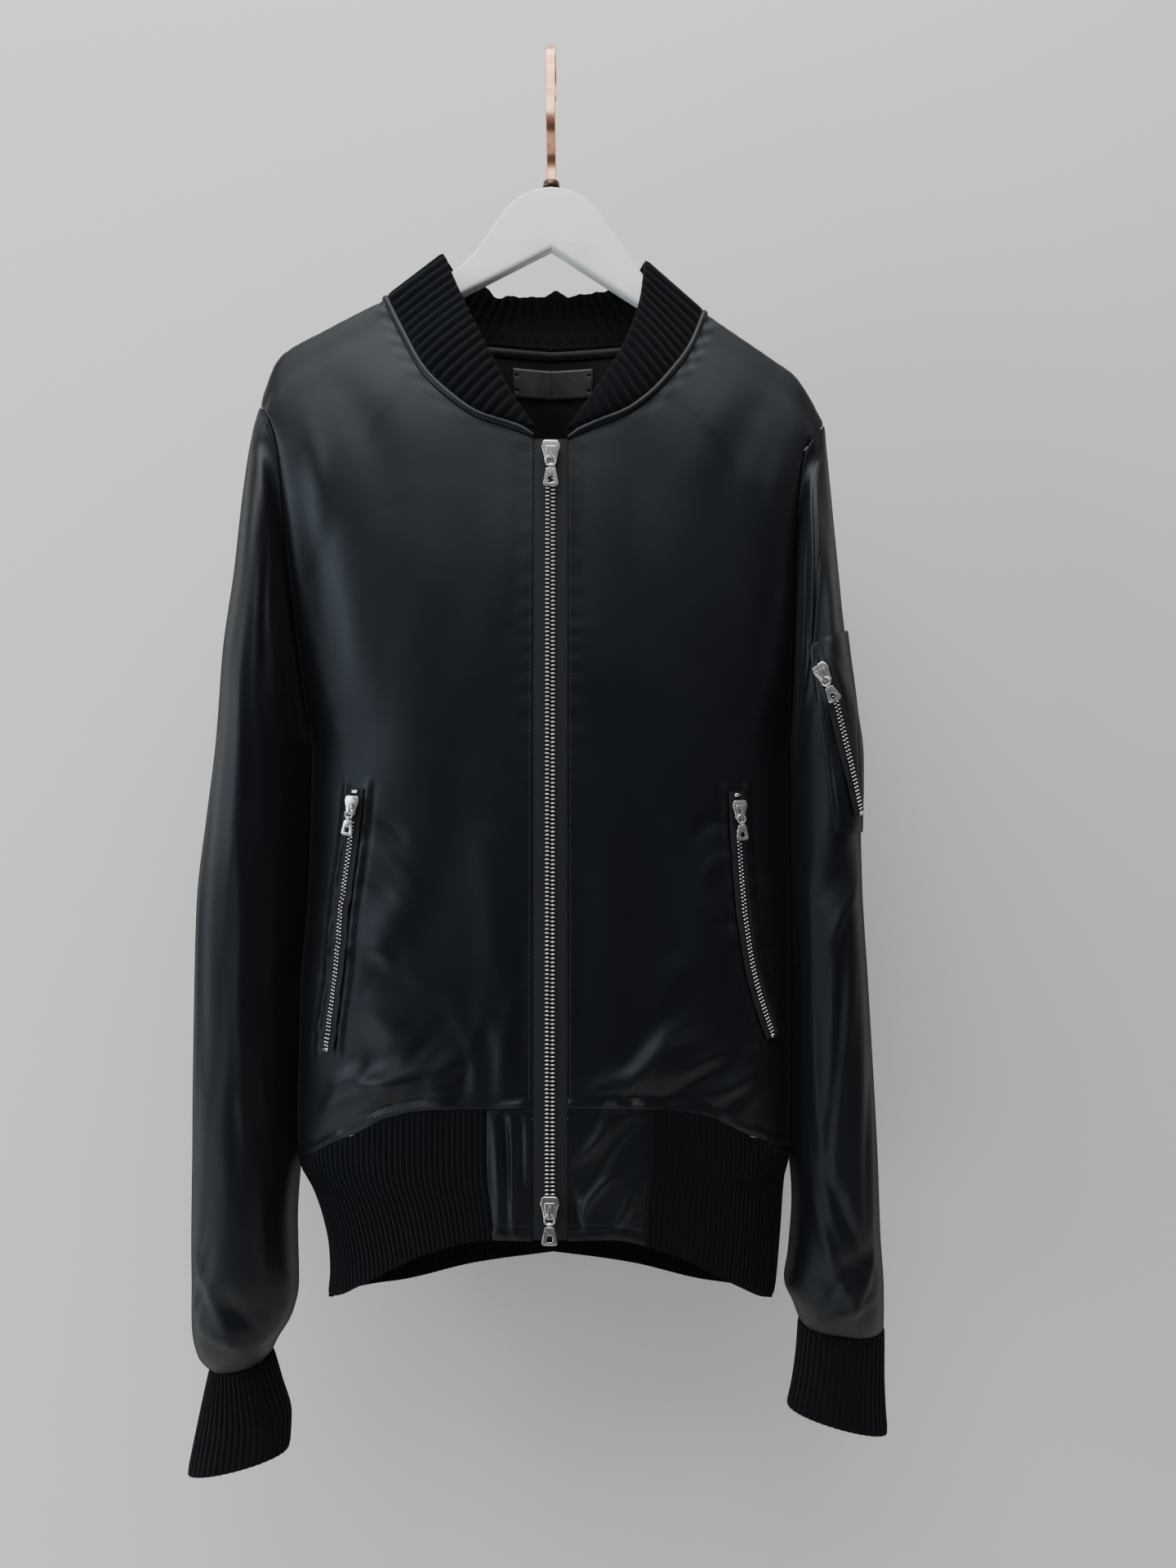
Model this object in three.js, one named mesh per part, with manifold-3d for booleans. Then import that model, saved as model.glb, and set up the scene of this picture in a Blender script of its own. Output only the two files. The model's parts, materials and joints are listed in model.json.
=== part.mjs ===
// A satin bomber jacket with rib-knit trims, hanging on a flat wooden hanger with a strip hook.
// Millimetres, +Z up. The front faces -Y and +X is the wearer's left.
// The origin is the inner top of the hook, where it bears on a rail.
import * as THREE from "three";
import { mergeVertices } from "three/addons/utils/BufferGeometryUtils.js";
import Module from "manifold-3d";

const wasm = await Module();
wasm.setup();

const SATIN = 1.4; // shell and lining together
const KNIT = 2.4; // double rib knit
const TAPE = 0.9; // zip tape, and the strips sewn flat
const SEAM_GAP = 0.4; // between two pieces that are sewn edge to edge
const SEAM_HALF = SEAM_GAP / 2;
const HEM_HALF = 0.5; // the hem seam is curved, so its two sides keep a little more
const ARMHOLE_HALF = 0.3;
const LIE_GAP = 0.3; // under a piece that lies on another
const LINING_GAP = 0.7; // under one that lies inside a hollow face, whose flat faces bulge towards it
const ZIP_X = 1; // the front zip hangs 1 mm off the hanger's middle
const FRONT_EDGE = 12; // from the zip's middle to the folded edge of each front
const ROUNDNESS = 2.4; // exponent of the body's section, 2 would be an ellipse
const RIDGE_DEPTH = 17; // how far the armhole seam stands off the middle plane
const RIB = { collar: 6, hem: 3.8, cuff: 4, height: 0.8 }; // pitch of the ribs, and their height

// A smooth function through the rows of a table, with no overshoot, level past both ends.
function curve(rows, key, column) {
  const sorted = [...rows].sort((a, b) => a[key] - b[key]);
  const at = sorted.map((row) => row[key]);
  const value = sorted.map((row) => row[column]);
  const slope = [];
  for (let i = 0; i + 1 < at.length; i++) slope.push((value[i + 1] - value[i]) / (at[i + 1] - at[i]));
  const tangent = at.map((_, i) => {
    if (i === 0 || i === at.length - 1) return i === 0 ? slope[0] : slope[i - 1];
    const [before, after] = [slope[i - 1], slope[i]];
    return before * after <= 0 ? 0 : (2 * before * after) / (before + after);
  });
  return (x) => {
    if (x <= at[0]) return value[0];
    if (x >= at[at.length - 1]) return value[value.length - 1];
    let i = 0;
    while (x > at[i + 1]) i++;
    const width = at[i + 1] - at[i];
    const t = (x - at[i]) / width;
    const [t2, t3] = [t * t, t * t * t];
    return (
      (2 * t3 - 3 * t2 + 1) * value[i] + (t3 - 2 * t2 + t) * width * tangent[i] +
      (3 * t2 - 2 * t3) * value[i + 1] + (t3 - t2) * width * tangent[i + 1]
    );
  };
}

const mix = (a, b, t) => a + (b - a) * t;
const smooth = (t) => THREE.MathUtils.smoothstep(t, 0, 1);
const steps = (count) => Array.from({ length: count + 1 }, (_, i) => i / count);

// Outlines of each side. x is the distance from the middle plane, so it is positive on both sides.
const shoulderRows = {
  left: [
    { x: 0, z: -114.5 }, { x: 111.7, z: -188.4 }, { x: 131.6, z: -202 }, { x: 160.9, z: -222 },
    { x: 172.6, z: -230.5 }, { x: 183, z: -245 }, { x: 192, z: -262 }, { x: 194.8, z: -267 },
  ],
  right: [
    { x: 0, z: -114.5 }, { x: 120.5, z: -178 }, { x: 160.9, z: -199 }, { x: 190, z: -215.5 },
    { x: 196, z: -223 }, { x: 202, z: -238 }, { x: 207, z: -254 },
  ],
};
// From the top of the armhole down to the underarm, then the side seam, then the hem band.
const bodyRows = {
  left: [
    { z: -267, x: 194.8 }, { z: -273, x: 190 }, { z: -283, x: 182 }, { z: -291, x: 178.4 },
    { z: -306, x: 175.5 }, { z: -336, x: 172.6 }, { z: -371, x: 170.6 }, { z: -429, x: 170.4 },
    { z: -480, x: 170.4 }, { z: -500, x: 168.5 }, { z: -550, x: 169 }, { z: -660, x: 170.5 },
    { z: -720, x: 170 }, { z: -770, x: 169.6 }, { z: -784, x: 169 }, { z: -801, x: 165 },
    { z: -833, x: 162.6 }, { z: -865, x: 160 }, { z: -885, x: 158 }, { z: -905, x: 157 },
  ],
  right: [
    { z: -254, x: 207 }, { z: -266, x: 199 }, { z: -283, x: 193 }, { z: -301, x: 190 },
    { z: -324, x: 188 }, { z: -371, x: 183.7 }, { z: -429, x: 177.8 }, { z: -480, x: 173 },
    { z: -500, x: 170 }, { z: -550, x: 171 }, { z: -600, x: 173 }, { z: -660, x: 177.5 },
    { z: -720, x: 179.5 }, { z: -775, x: 180 }, { z: -788, x: 178 }, { z: -807, x: 168 },
    { z: -827, x: 161 }, { z: -851, x: 156.5 }, { z: -868, x: 156 }, { z: -890, x: 159 },
    { z: -905, x: 160 },
  ],
};
// How far the cloth stands off the middle plane, by the drop below the shoulder line.
const frontDepthRows = [
  { drop: 0, y: 0 }, { drop: 1, y: 4.9 }, { drop: 3.2, y: 8 }, { drop: 9, y: 10.4 },
  { drop: 22, y: 13.5 }, { drop: 41, y: 20 }, { drop: 80, y: 33 }, { drop: 121, y: 41 },
  { drop: 160, y: 45 }, { drop: 250, y: 53 }, { drop: 350, y: 58 }, { drop: 470, y: 61 },
  { drop: 620, y: 63 }, { drop: 680, y: 60 }, { drop: 760, y: 58 },
];
const backDepthRows = [
  { drop: 0, y: 0 }, { drop: 1, y: 4.9 }, { drop: 3.2, y: 8 }, { drop: 9, y: 10.4 },
  { drop: 30, y: 14.5 }, { drop: 60, y: 18.5 }, { drop: 90, y: 22.5 }, { drop: 150, y: 35 },
  { drop: 250, y: 48 }, { drop: 400, y: 55 }, { drop: 600, y: 53 }, { drop: 680, y: 47 },
  { drop: 790, y: 42 },
];
// The seam where the hem band is sewn on, and the band's lower edge, by distance from the middle.
const hemRows = {
  front: [
    { x: 0, seam: -738, edge: -828 }, { x: 40, seam: -739, edge: -827 },
    { x: 80, seam: -741, edge: -837 }, { x: 108, seam: -747, edge: -852 },
    { x: 130, seam: -759, edge: -866 }, { x: 150, seam: -769, edge: -879 },
    { x: 170, seam: -783, edge: -886 },
  ],
  back: [
    { x: 0, seam: -776, edge: -874 }, { x: 60, seam: -779, edge: -882 },
    { x: 120, seam: -784, edge: -892 }, { x: 150, seam: -785, edge: -892 },
    { x: 170, seam: -783, edge: -886 },
  ],
};
// The largest folds: a crest line from one point to another, its half width and its height.
const foldRows = {
  front: [
    { x1: -40, z1: -560, x2: -28, z2: -733, width: 11, height: 3 },
    { x1: -150, z1: -735, x2: -70, z2: -712, width: 14, height: 5 },
    { x1: -95, z1: -600, x2: -122, z2: -640, width: 14, height: 3 },
    { x1: -128, z1: -668, x2: -95, z2: -690, width: 14, height: 3 },
    { x1: 40, z1: -726, x2: 105, z2: -700, width: 14, height: 5 },
    { x1: 45, z1: -480, x2: 95, z2: -690, width: 22, height: -4 },
    { x1: 118, z1: -728, x2: 142, z2: -722, width: 12, height: 3 },
    { x1: 95, z1: -590, x2: 110, z2: -640, width: 13, height: 3 },
    { x1: -166, z1: -330, x2: -150, z2: -470, width: 14, height: -5 },
    { x1: 160, z1: -330, x2: 148, z2: -460, width: 13, height: -5 },
  ],
  back: [
    { x1: -150, z1: -300, x2: -60, z2: -420, width: 18, height: -4 },
    { x1: 150, z1: -310, x2: 70, z2: -440, width: 18, height: -4 },
    { x1: -120, z1: -745, x2: -20, z2: -728, width: 14, height: 5 },
    { x1: 20, z1: -740, x2: 130, z2: -722, width: 13, height: 5 },
    { x1: -90, z1: -560, x2: -40, z2: -690, width: 16, height: 3 },
    { x1: 60, z1: -540, x2: 95, z2: -680, width: 16, height: 3 },
  ],
};

const SIDES = ["left", "right"];
const signOf = (side) => (side === "left" ? 1 : -1);
const sideOf = (x) => (x >= 0 ? "left" : "right");
const shoulderLine = {};
const bodyWidth = {};
for (const side of SIDES) {
  shoulderLine[side] = curve(shoulderRows[side], "x", "z");
  bodyWidth[side] = curve(bodyRows[side], "z", "x");
}
const bodyDepth = { front: curve(frontDepthRows, "drop", "y"), back: curve(backDepthRows, "drop", "y") };
const hemSeam = {};
const hemEdge = {};
for (const face of ["front", "back"]) {
  hemSeam[face] = curve(hemRows[face], "x", "seam");
  hemEdge[face] = curve(hemRows[face], "x", "edge");
}
const faceSign = (face) => (face === "front" ? -1 : 1);
const armholeTop = (side) => bodyRows[side][0].z;
const UNDERARM_Z = -480;

// 0 at the top of the armhole, 1 at the underarm.
const armholeFraction = (side, z) =>
  THREE.MathUtils.clamp((armholeTop(side) - z) / (armholeTop(side) - UNDERARM_Z), 0, 1);

function armholeDepth(side, z) {
  return RIDGE_DEPTH * Math.sin(Math.PI * Math.max(armholeFraction(side, z), 0.5)) ** 0.8;
}

// The height that a list of folds adds at a point.
function foldHeight(rows, x, z) {
  let height = 0;
  for (const fold of rows) {
    const [dx, dz] = [fold.x2 - fold.x1, fold.z2 - fold.z1];
    const along = ((x - fold.x1) * dx + (z - fold.z1) * dz) / (dx * dx + dz * dz);
    const held = THREE.MathUtils.clamp(along, 0, 1);
    const away = Math.hypot(x - fold.x1 - held * dx, z - fold.z1 - held * dz);
    const taper = 0.35 + 0.65 * Math.sin(Math.PI * held);
    height += fold.height * taper * Math.exp(-((away / fold.width) ** 2));
  }
  return height;
}

// How far the body's outer face stands off the middle plane, at a place seen from the front.
function standOff(face, x, z) {
  const side = sideOf(x);
  const drop = shoulderLine[side](Math.abs(x)) - z;
  const deepest = bodyDepth[face](drop);
  const edge = Math.min(armholeDepth(side, z), deepest);
  const share = Math.min(Math.abs(x) / bodyWidth[side](z), 1);
  const across = (1 - share ** ROUNDNESS) ** (1 / ROUNDNESS);
  const fold = foldHeight(foldRows[face], x, z) * Math.min(1, 1.4 * across) * smooth(drop / 60);
  return edge + (deepest - edge) * across + fold;
}

const PROBE = 0.5; // step used to work out how a face slopes

function bodyPoint(face, x, z) {
  const y = Math.max(standOff(face, x, z), SEAM_HALF);
  return new THREE.Vector3(x, faceSign(face) * y, z);
}

function bodyNormal(face, x, z) {
  const limit = bodyWidth[sideOf(x)](z) - PROBE;
  const held = THREE.MathUtils.clamp(x, -limit, limit);
  const slopeX = (standOff(face, held + PROBE, z) - standOff(face, held - PROBE, z)) / (2 * PROBE);
  const slopeZ = (standOff(face, held, z + PROBE) - standOff(face, held, z - PROBE)) / (2 * PROBE);
  return new THREE.Vector3(-slopeX, faceSign(face), -slopeZ).normalize();
}

// The direction that both pieces share at the armhole seam, so that their edges lie side by side.
function armholeNormal(side, face, z) {
  const angle = Math.PI * armholeFraction(side, z);
  const top = Math.max(Math.cos(angle), 0);
  const bottom = Math.max(-Math.cos(angle), 0);
  const out = signOf(side) * 0.94 * top;
  return new THREE.Vector3(out, faceSign(face) * Math.sin(angle), 0.34 * top - bottom).normalize();
}

// Closed meshes from grids of points

// Triangles between two edges, each taken point by point; the first runs backwards in its faces.
function strip(first, second, faces) {
  let [i, j] = [0, 0];
  while (i < first.length - 1 || j < second.length - 1) {
    const takeFirst =
      j === second.length - 1 ||
      (i < first.length - 1 && (i + 1) / (first.length - 1) <= (j + 1) / (second.length - 1));
    if (takeFirst) {
      faces.push([first[i + 1], first[i], second[j]]);
      i++;
    } else {
      faces.push([first[i], second[j], second[j + 1]]);
      j++;
    }
  }
}

// One closed body between an outer and an inner grid, which may differ in how fine they are.
function wall(outer, inner, round = false) {
  const points = [];
  const faces = [];
  const number = (grid) => grid.map((row) => {
    const ids = row.map((point) => points.push(point) - 1);
    return round ? [...ids, ids[0]] : ids;
  });
  const [out, back] = [number(outer), number(inner)];
  const cover = (grid, turned) => {
    for (let r = 0; r + 1 < grid.length; r++) {
      for (let c = 0; c + 1 < grid[0].length; c++) {
        const [a, b, d, e] = [grid[r][c], grid[r][c + 1], grid[r + 1][c + 1], grid[r + 1][c]];
        faces.push(turned ? [a, d, b] : [a, b, d], turned ? [a, e, d] : [a, d, e]);
      }
    }
  };
  cover(out, false);
  cover(back, true);
  const last = (grid) => grid[grid.length - 1];
  const column = (grid, c) => grid.map((row) => row[c]);
  strip(out[0], back[0], faces);
  strip([...last(out)].reverse(), [...last(back)].reverse(), faces);
  if (!round) {
    const ends = [out, back].map((grid) => column(grid, grid[0].length - 1));
    const starts = [out, back].map((grid) => column(grid, 0).reverse());
    strip(ends[0], ends[1], faces);
    strip(starts[0], starts[1], faces);
  }
  return closedGeometry(points, faces);
}

// A geometry whose faces point out, whichever way its grid ran.
function closedGeometry(points, faces) {
  let volume = 0;
  const cross = new THREE.Vector3();
  for (const [a, b, c] of faces) {
    volume += points[a].dot(cross.crossVectors(points[b], points[c]));
  }
  const index = faces.flatMap(([a, b, c]) => (volume < 0 ? [a, c, b] : [a, b, c]));
  const geometry = new THREE.BufferGeometry();
  geometry.setAttribute(
    "position",
    new THREE.Float32BufferAttribute(points.flatMap((p) => [p.x, p.y, p.z]), 3),
  );
  geometry.setIndex(index);
  return geometry;
}

const moved = (point, normal, distance) => point.clone().addScaledVector(normal, distance);

// A wall of one thickness under a grid of { point, normal } places; held keeps its points inside a seam.
function clothWall(grid, thickness, { round = false, held = (point) => point } = {}) {
  const outer = grid.map((row) => row.map((place) => held(place.point, place)));
  const inner = grid.map((row) => row.map((place) => held(moved(place.point, place.normal, -thickness), place)));
  return wall(outer, inner, round);
}

// Front and back meet on the middle plane, and both stop short of the armhole seam.
function insidePanel(point, { face }) {
  const side = sideOf(point.x);
  const y = Math.max(faceSign(face) * point.y, SEAM_HALF);
  const reach = bodyWidth[side](point.z) - ARMHOLE_HALF;
  return new THREE.Vector3(signOf(side) * Math.min(Math.abs(point.x), reach), faceSign(face) * y, point.z);
}

// A sleeve stays outside the body's outline.
function outsideBody(point) {
  const side = sideOf(point.x);
  const reach = bodyWidth[side](point.z) + ARMHOLE_HALF;
  return new THREE.Vector3(signOf(side) * Math.max(Math.abs(point.x), reach), point.y, point.z);
}

// A piece that lies on cloth: its places moved out by a lift, and its own height added by column.
function lyingPiece(grid, lift, heights) {
  const outer = grid.map((row) => row.map((place, c) => moved(place.point, place.normal, lift + heights[c])));
  const inner = grid.map((row) => row.map((place) => moved(place.point, place.normal, lift)));
  return wall(outer, inner);
}

// Solids joined or cut

function solidOf(geometry) {
  const bare = geometry.clone();
  bare.deleteAttribute("normal");
  bare.deleteAttribute("uv");
  const merged = mergeVertices(bare, 1e-3);
  return new wasm.Manifold(new wasm.Mesh({
    numProp: 3,
    vertProperties: new Float32Array(merged.attributes.position.array),
    triVerts: new Uint32Array(merged.index.array),
  }));
}

function joined(geometries) {
  const [first, ...others] = geometries.map(solidOf);
  const mesh = others.reduce((sum, next) => sum.add(next), first).getMesh();
  const geometry = new THREE.BufferGeometry();
  geometry.setAttribute("position", new THREE.Float32BufferAttribute(mesh.vertProperties, 3));
  geometry.setIndex([...mesh.triVerts]);
  return geometry;
}

// The neck: the seam on the body by its place seen from the front, and the collar's free edge.

const neckRows = {
  left: [
    { at: 0, seamX: 13, seamZ: -290, edgeX: 11.2, edgeY: -46, edgeZ: -283 },
    { at: 0.15, seamX: 32, seamZ: -281, edgeX: 25.5, edgeY: -42, edgeZ: -262 },
    { at: 0.31, seamX: 54, seamZ: -271, edgeX: 38, edgeY: -38, edgeZ: -242.5 },
    { at: 0.45, seamX: 70, seamZ: -258.5, edgeX: 47.5, edgeY: -33, edgeZ: -226 },
    { at: 0.6, seamX: 85, seamZ: -241, edgeX: 56, edgeY: -27, edgeZ: -205.5 },
    { at: 0.8, seamX: 100, seamZ: -218, edgeX: 63.5, edgeY: -15, edgeZ: -178 },
    { at: 1, seamX: 111.7, seamZ: -188.4, edgeX: 67, edgeY: 0, edgeZ: -149 },
    { at: 1.2, seamX: 96, seamZ: -197, edgeX: 61, edgeY: 16, edgeZ: -152 },
    { at: 1.45, seamX: 60, seamZ: -203.5, edgeX: 38, edgeY: 30, edgeZ: -157 },
    { at: 1.75, seamX: 0, seamZ: -206, edgeX: -1, edgeY: 37, edgeZ: -161 },
  ],
  right: [
    { at: 0, seamX: 11, seamZ: -288, edgeX: 9.2, edgeY: -46, edgeZ: -281 },
    { at: 0.125, seamX: 29, seamZ: -281, edgeX: 19, edgeY: -43, edgeZ: -267 },
    { at: 0.27, seamX: 51, seamZ: -273, edgeX: 30, edgeY: -40, edgeZ: -249 },
    { at: 0.42, seamX: 71, seamZ: -258, edgeX: 40.5, edgeY: -35, edgeZ: -227 },
    { at: 0.58, seamX: 89, seamZ: -239, edgeX: 51, edgeY: -29, edgeZ: -205 },
    { at: 0.78, seamX: 105, seamZ: -210, edgeX: 64, edgeY: -17, edgeZ: -176 },
    { at: 1, seamX: 120.5, seamZ: -178, edgeX: 77, edgeY: 0, edgeZ: -144 },
    { at: 1.2, seamX: 103, seamZ: -192, edgeX: 69, edgeY: 16, edgeZ: -152 },
    { at: 1.45, seamX: 62, seamZ: -201.5, edgeX: 45, edgeY: 30, edgeZ: -160 },
    { at: 1.75, seamX: 0, seamZ: -206, edgeX: 1, edgeY: 37, edgeZ: -161 },
  ],
};
const NECK_SIDE = 1; // where the neck table meets the shoulder seam
const NECK_BACK = 1.75; // where it meets the middle of the back
const neckLine = {};
for (const side of SIDES) {
  const column = (name) => curve(neckRows[side], "at", name);
  neckLine[side] = {
    seamX: column("seamX"), seamZ: column("seamZ"),
    edgeX: column("edgeX"), edgeY: column("edgeY"), edgeZ: column("edgeZ"),
  };
}
const BINDING_WIDTH = 5;
const BINDING_LIFT = 0.6; // it laps onto the panels' edges
const COLLAR_BULGE = 3;

// A place on the neck: at runs from one end of the collar (0) round the back to the other.
function neckPoint(at, up) {
  const left = at <= NECK_BACK;
  const [side, own] = left ? ["left", at] : ["right", 2 * NECK_BACK - at];
  const line = neckLine[side];
  const face = own < NECK_SIDE ? "front" : "back";
  const seam = bodyPoint(face, signOf(side) * line.seamX(own), line.seamZ(own));
  const edge = new THREE.Vector3(signOf(side) * line.edgeX(own), line.edgeY(own), line.edgeZ(own));
  const point = seam.lerp(edge, up);
  const stance = Math.min(1, Math.abs(own - NECK_SIDE) * 3) * Math.min(1, own * 5);
  point.y += faceSign(face) * COLLAR_BULGE * Math.sin(Math.PI * up) * stance;
  return point;
}

function neckNormal(at, up) {
  const step = 0.004;
  const end = 2 * NECK_BACK;
  const along = neckPoint(Math.min(at + step, end), up).sub(neckPoint(Math.max(at - step, 0), up));
  const rise = neckPoint(at, Math.min(up + 0.05, 1)).sub(neckPoint(at, Math.max(up - 0.05, 0)));
  return along.cross(rise).normalize();
}

// Evenly spaced values of a parameter along a path, ends included.
function evenly(path, start, end, count, fine = 400) {
  const at = steps(fine).map((t) => mix(start, end, t));
  const length = [0];
  for (let i = 1; i < at.length; i++) length.push(length[i - 1] + path(at[i]).distanceTo(path(at[i - 1])));
  const total = length[fine];
  let i = 0;
  return steps(count).map((t) => {
    while (i < fine - 1 && length[i + 1] < t * total) i++;
    const share = (t * total - length[i]) / (length[i + 1] - length[i] || 1);
    return mix(at[i], at[i + 1], THREE.MathUtils.clamp(share, 0, 1));
  });
}

const pathLength = (path, start, end, count = 200) => {
  const at = steps(count).map((t) => path(mix(start, end, t)));
  return at.slice(1).reduce((sum, point, i) => sum + point.distanceTo(at[i]), 0);
};

// A knitted wall: ribs raised in its outer points over a plain inner face.
function ribbedWall(place, from, to, pitch, rows, round = false) {
  const middle = (at) => place(at, 0.5).point;
  const count = Math.round(pathLength(middle, from, to) / pitch);
  const fine = evenly(middle, from, to, 2 * count);
  const plain = evenly(middle, from, to, Math.ceil(count / 2));
  if (round) {
    fine.pop();
    plain.pop();
  }
  const raised = (i) => (i % 2 ? RIB.height : 0);
  const outer = rows.map((up) => fine.map((at, i) => {
    const { point, normal } = place(at, up);
    return moved(point, normal, raised(i));
  }));
  const inner = rows.map((up) => plain.map((at) => {
    const { point, normal } = place(at, up);
    return moved(point, normal, -KNIT);
  }));
  return wall(outer, inner, round);
}

// Body panels

const UNDERARM_ROW = 0.58; // share of a panel's height where the side seam ends and the armhole starts
const NECK_ROW = 0.72; // and where the front edge ends and the neckline starts
const FRONT_ROWS = [
  0, 0.06, 0.14, 0.23, 0.33, 0.43, 0.51, UNDERARM_ROW, 0.65, NECK_ROW, 0.755, 0.79, 0.822, 0.852, 0.88,
  0.906, 0.93, 0.953, 0.972, 0.986, 0.9945, 0.9985, 1,
];
const BACK_ROWS = [
  0, 0.06, 0.14, 0.24, 0.34, 0.44, 0.52, UNDERARM_ROW, 0.66, 0.74, 0.81, 0.87, 0.92, 0.95,
  0.972, 0.986, 0.9945, 0.9985, 1,
];
const FRONT_COLUMNS = steps(12);
const NECK_SHARE = 0.45; // share of the back's top edge, from its middle, that is the neckline

// The outer edge of a panel, seen from the front: the side seam, then the armhole seam.
function outerEdge(side, share) {
  const bottom = hemSeam.front(bodyWidth[side](-783)) + HEM_HALF;
  const z = share < UNDERARM_ROW
    ? mix(bottom, UNDERARM_Z, share / UNDERARM_ROW)
    : mix(UNDERARM_Z, armholeTop(side), (share - UNDERARM_ROW) / (1 - UNDERARM_ROW));
  return new THREE.Vector2(signOf(side) * (bodyWidth[side](z) - ARMHOLE_HALF), z);
}

function frontNeck(side, share) {
  const own = share * NECK_SIDE;
  return new THREE.Vector2(signOf(side) * neckLine[side].seamX(own), neckLine[side].seamZ(own));
}

function frontInnerEdge(side, share) {
  if (share >= NECK_ROW) return frontNeck(side, (share - NECK_ROW) / (1 - NECK_ROW));
  const top = frontNeck(side, 0);
  const x = ZIP_X + signOf(side) * FRONT_EDGE;
  return new THREE.Vector2(x, mix(hemSeam.front(Math.abs(x)) + HEM_HALF, top.y, share / NECK_ROW));
}

// A point of the shoulder seam, from the neck (0) to the top of the armhole (1).
function shoulderEdge(side, share) {
  const start = neckLine[side].seamX(NECK_SIDE);
  const end = bodyRows[side][0].x - ARMHOLE_HALF;
  const x = mix(start, end, share);
  return new THREE.Vector2(signOf(side) * x, shoulderLine[side](x));
}

// A point inside four edges, each a function of its share: below, above, and the two sides.
function between(below, above, first, last, across, up, weight) {
  const corner = (point, share) => point.clone().multiplyScalar(share);
  return corner(below(across), 1 - up)
    .add(corner(above(across), up))
    .add(corner(first(up), 1 - weight))
    .add(corner(last(up), weight))
    .sub(corner(below(0), (1 - weight) * (1 - up)))
    .sub(corner(below(1), weight * (1 - up)))
    .sub(corner(above(0), (1 - weight) * up))
    .sub(corner(above(1), weight * up));
}

// The place on the body's outer face, with the seams' own directions at the edges of a panel.
function panelPlace(face, flat, onSide, onShoulder) {
  const side = sideOf(flat.x);
  const point = bodyPoint(face, flat.x, flat.y);
  let normal = bodyNormal(face, flat.x, flat.y);
  if (onSide) point.y = bodyPoint(face, signOf(side) * bodyWidth[side](flat.y), flat.y).y;
  if (onSide && flat.y > UNDERARM_Z) normal = armholeNormal(side, face, flat.y);
  else if (onSide) normal = new THREE.Vector3(signOf(side), 0, 0);
  if (onShoulder) {
    const slope = shoulderLine[side](Math.abs(flat.x) + PROBE) - shoulderLine[side](Math.abs(flat.x) - PROBE);
    normal = new THREE.Vector3(-signOf(side) * slope, 0, 2 * PROBE).normalize();
  }
  return { point, normal, face };
}

function frontPanel(side) {
  const crowd = (share) => Math.sin((share * Math.PI) / 2) ** 0.9;
  const below = (share) => {
    const start = ZIP_X + signOf(side) * FRONT_EDGE;
    const x = mix(start, outerEdge(side, 0).x, share);
    return new THREE.Vector2(x, hemSeam.front(Math.abs(x)) + HEM_HALF);
  };
  const grid = FRONT_ROWS.map((up) => FRONT_COLUMNS.map((column) => {
    const across = crowd(column);
    const flat = between(
      below,
      (share) => shoulderEdge(side, share),
      (share) => frontInnerEdge(side, share),
      (share) => outerEdge(side, share),
      across, up, across,
    );
    return panelPlace("front", flat, column === 1, up === 1);
  }));
  return clothWall(grid, SATIN, { held: insidePanel });
}

function backPanel() {
  const columns = [];
  const [neckColumns, shoulderColumns] = [5, 6];
  for (let i = 0; i < neckColumns; i++) columns.push((i / neckColumns) * NECK_SHARE);
  for (let i = 0; i <= shoulderColumns; i++) columns.push(mix(NECK_SHARE, 1, i / shoulderColumns));
  const both = [...columns.slice(1).map((c) => -c).reverse(), ...columns];
  const half = (across) => [across >= 0 ? "left" : "right", Math.abs(across)];
  const below = (across) => {
    const [side, share] = half(across);
    const x = signOf(side) * Math.abs(outerEdge(side, 0).x) * Math.sin((share * Math.PI) / 2) ** 0.9;
    return new THREE.Vector2(x, hemSeam.back(Math.abs(x)) + HEM_HALF);
  };
  const above = (across) => {
    const [side, share] = half(across);
    if (share >= NECK_SHARE) return shoulderEdge(side, (share - NECK_SHARE) / (1 - NECK_SHARE));
    const own = mix(NECK_BACK, NECK_SIDE, share / NECK_SHARE);
    return new THREE.Vector2(signOf(side) * neckLine[side].seamX(own), neckLine[side].seamZ(own));
  };
  const grid = BACK_ROWS.map((up) => both.map((across) => {
    const flat = between(
      (share) => below(2 * share - 1),
      (share) => above(2 * share - 1),
      (share) => outerEdge("right", share),
      (share) => outerEdge("left", share),
      (across + 1) / 2, up, (across + 1) / 2,
    );
    const onShoulder = up === 1 && Math.abs(across) >= NECK_SHARE - 1e-6;
    return panelPlace("back", flat, Math.abs(across) === 1, onShoulder);
  }));
  return clothWall(grid, SATIN, { held: insidePanel });
}

// Sleeves: loops that fan out from the underarm and then run down to the cuff.

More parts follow.
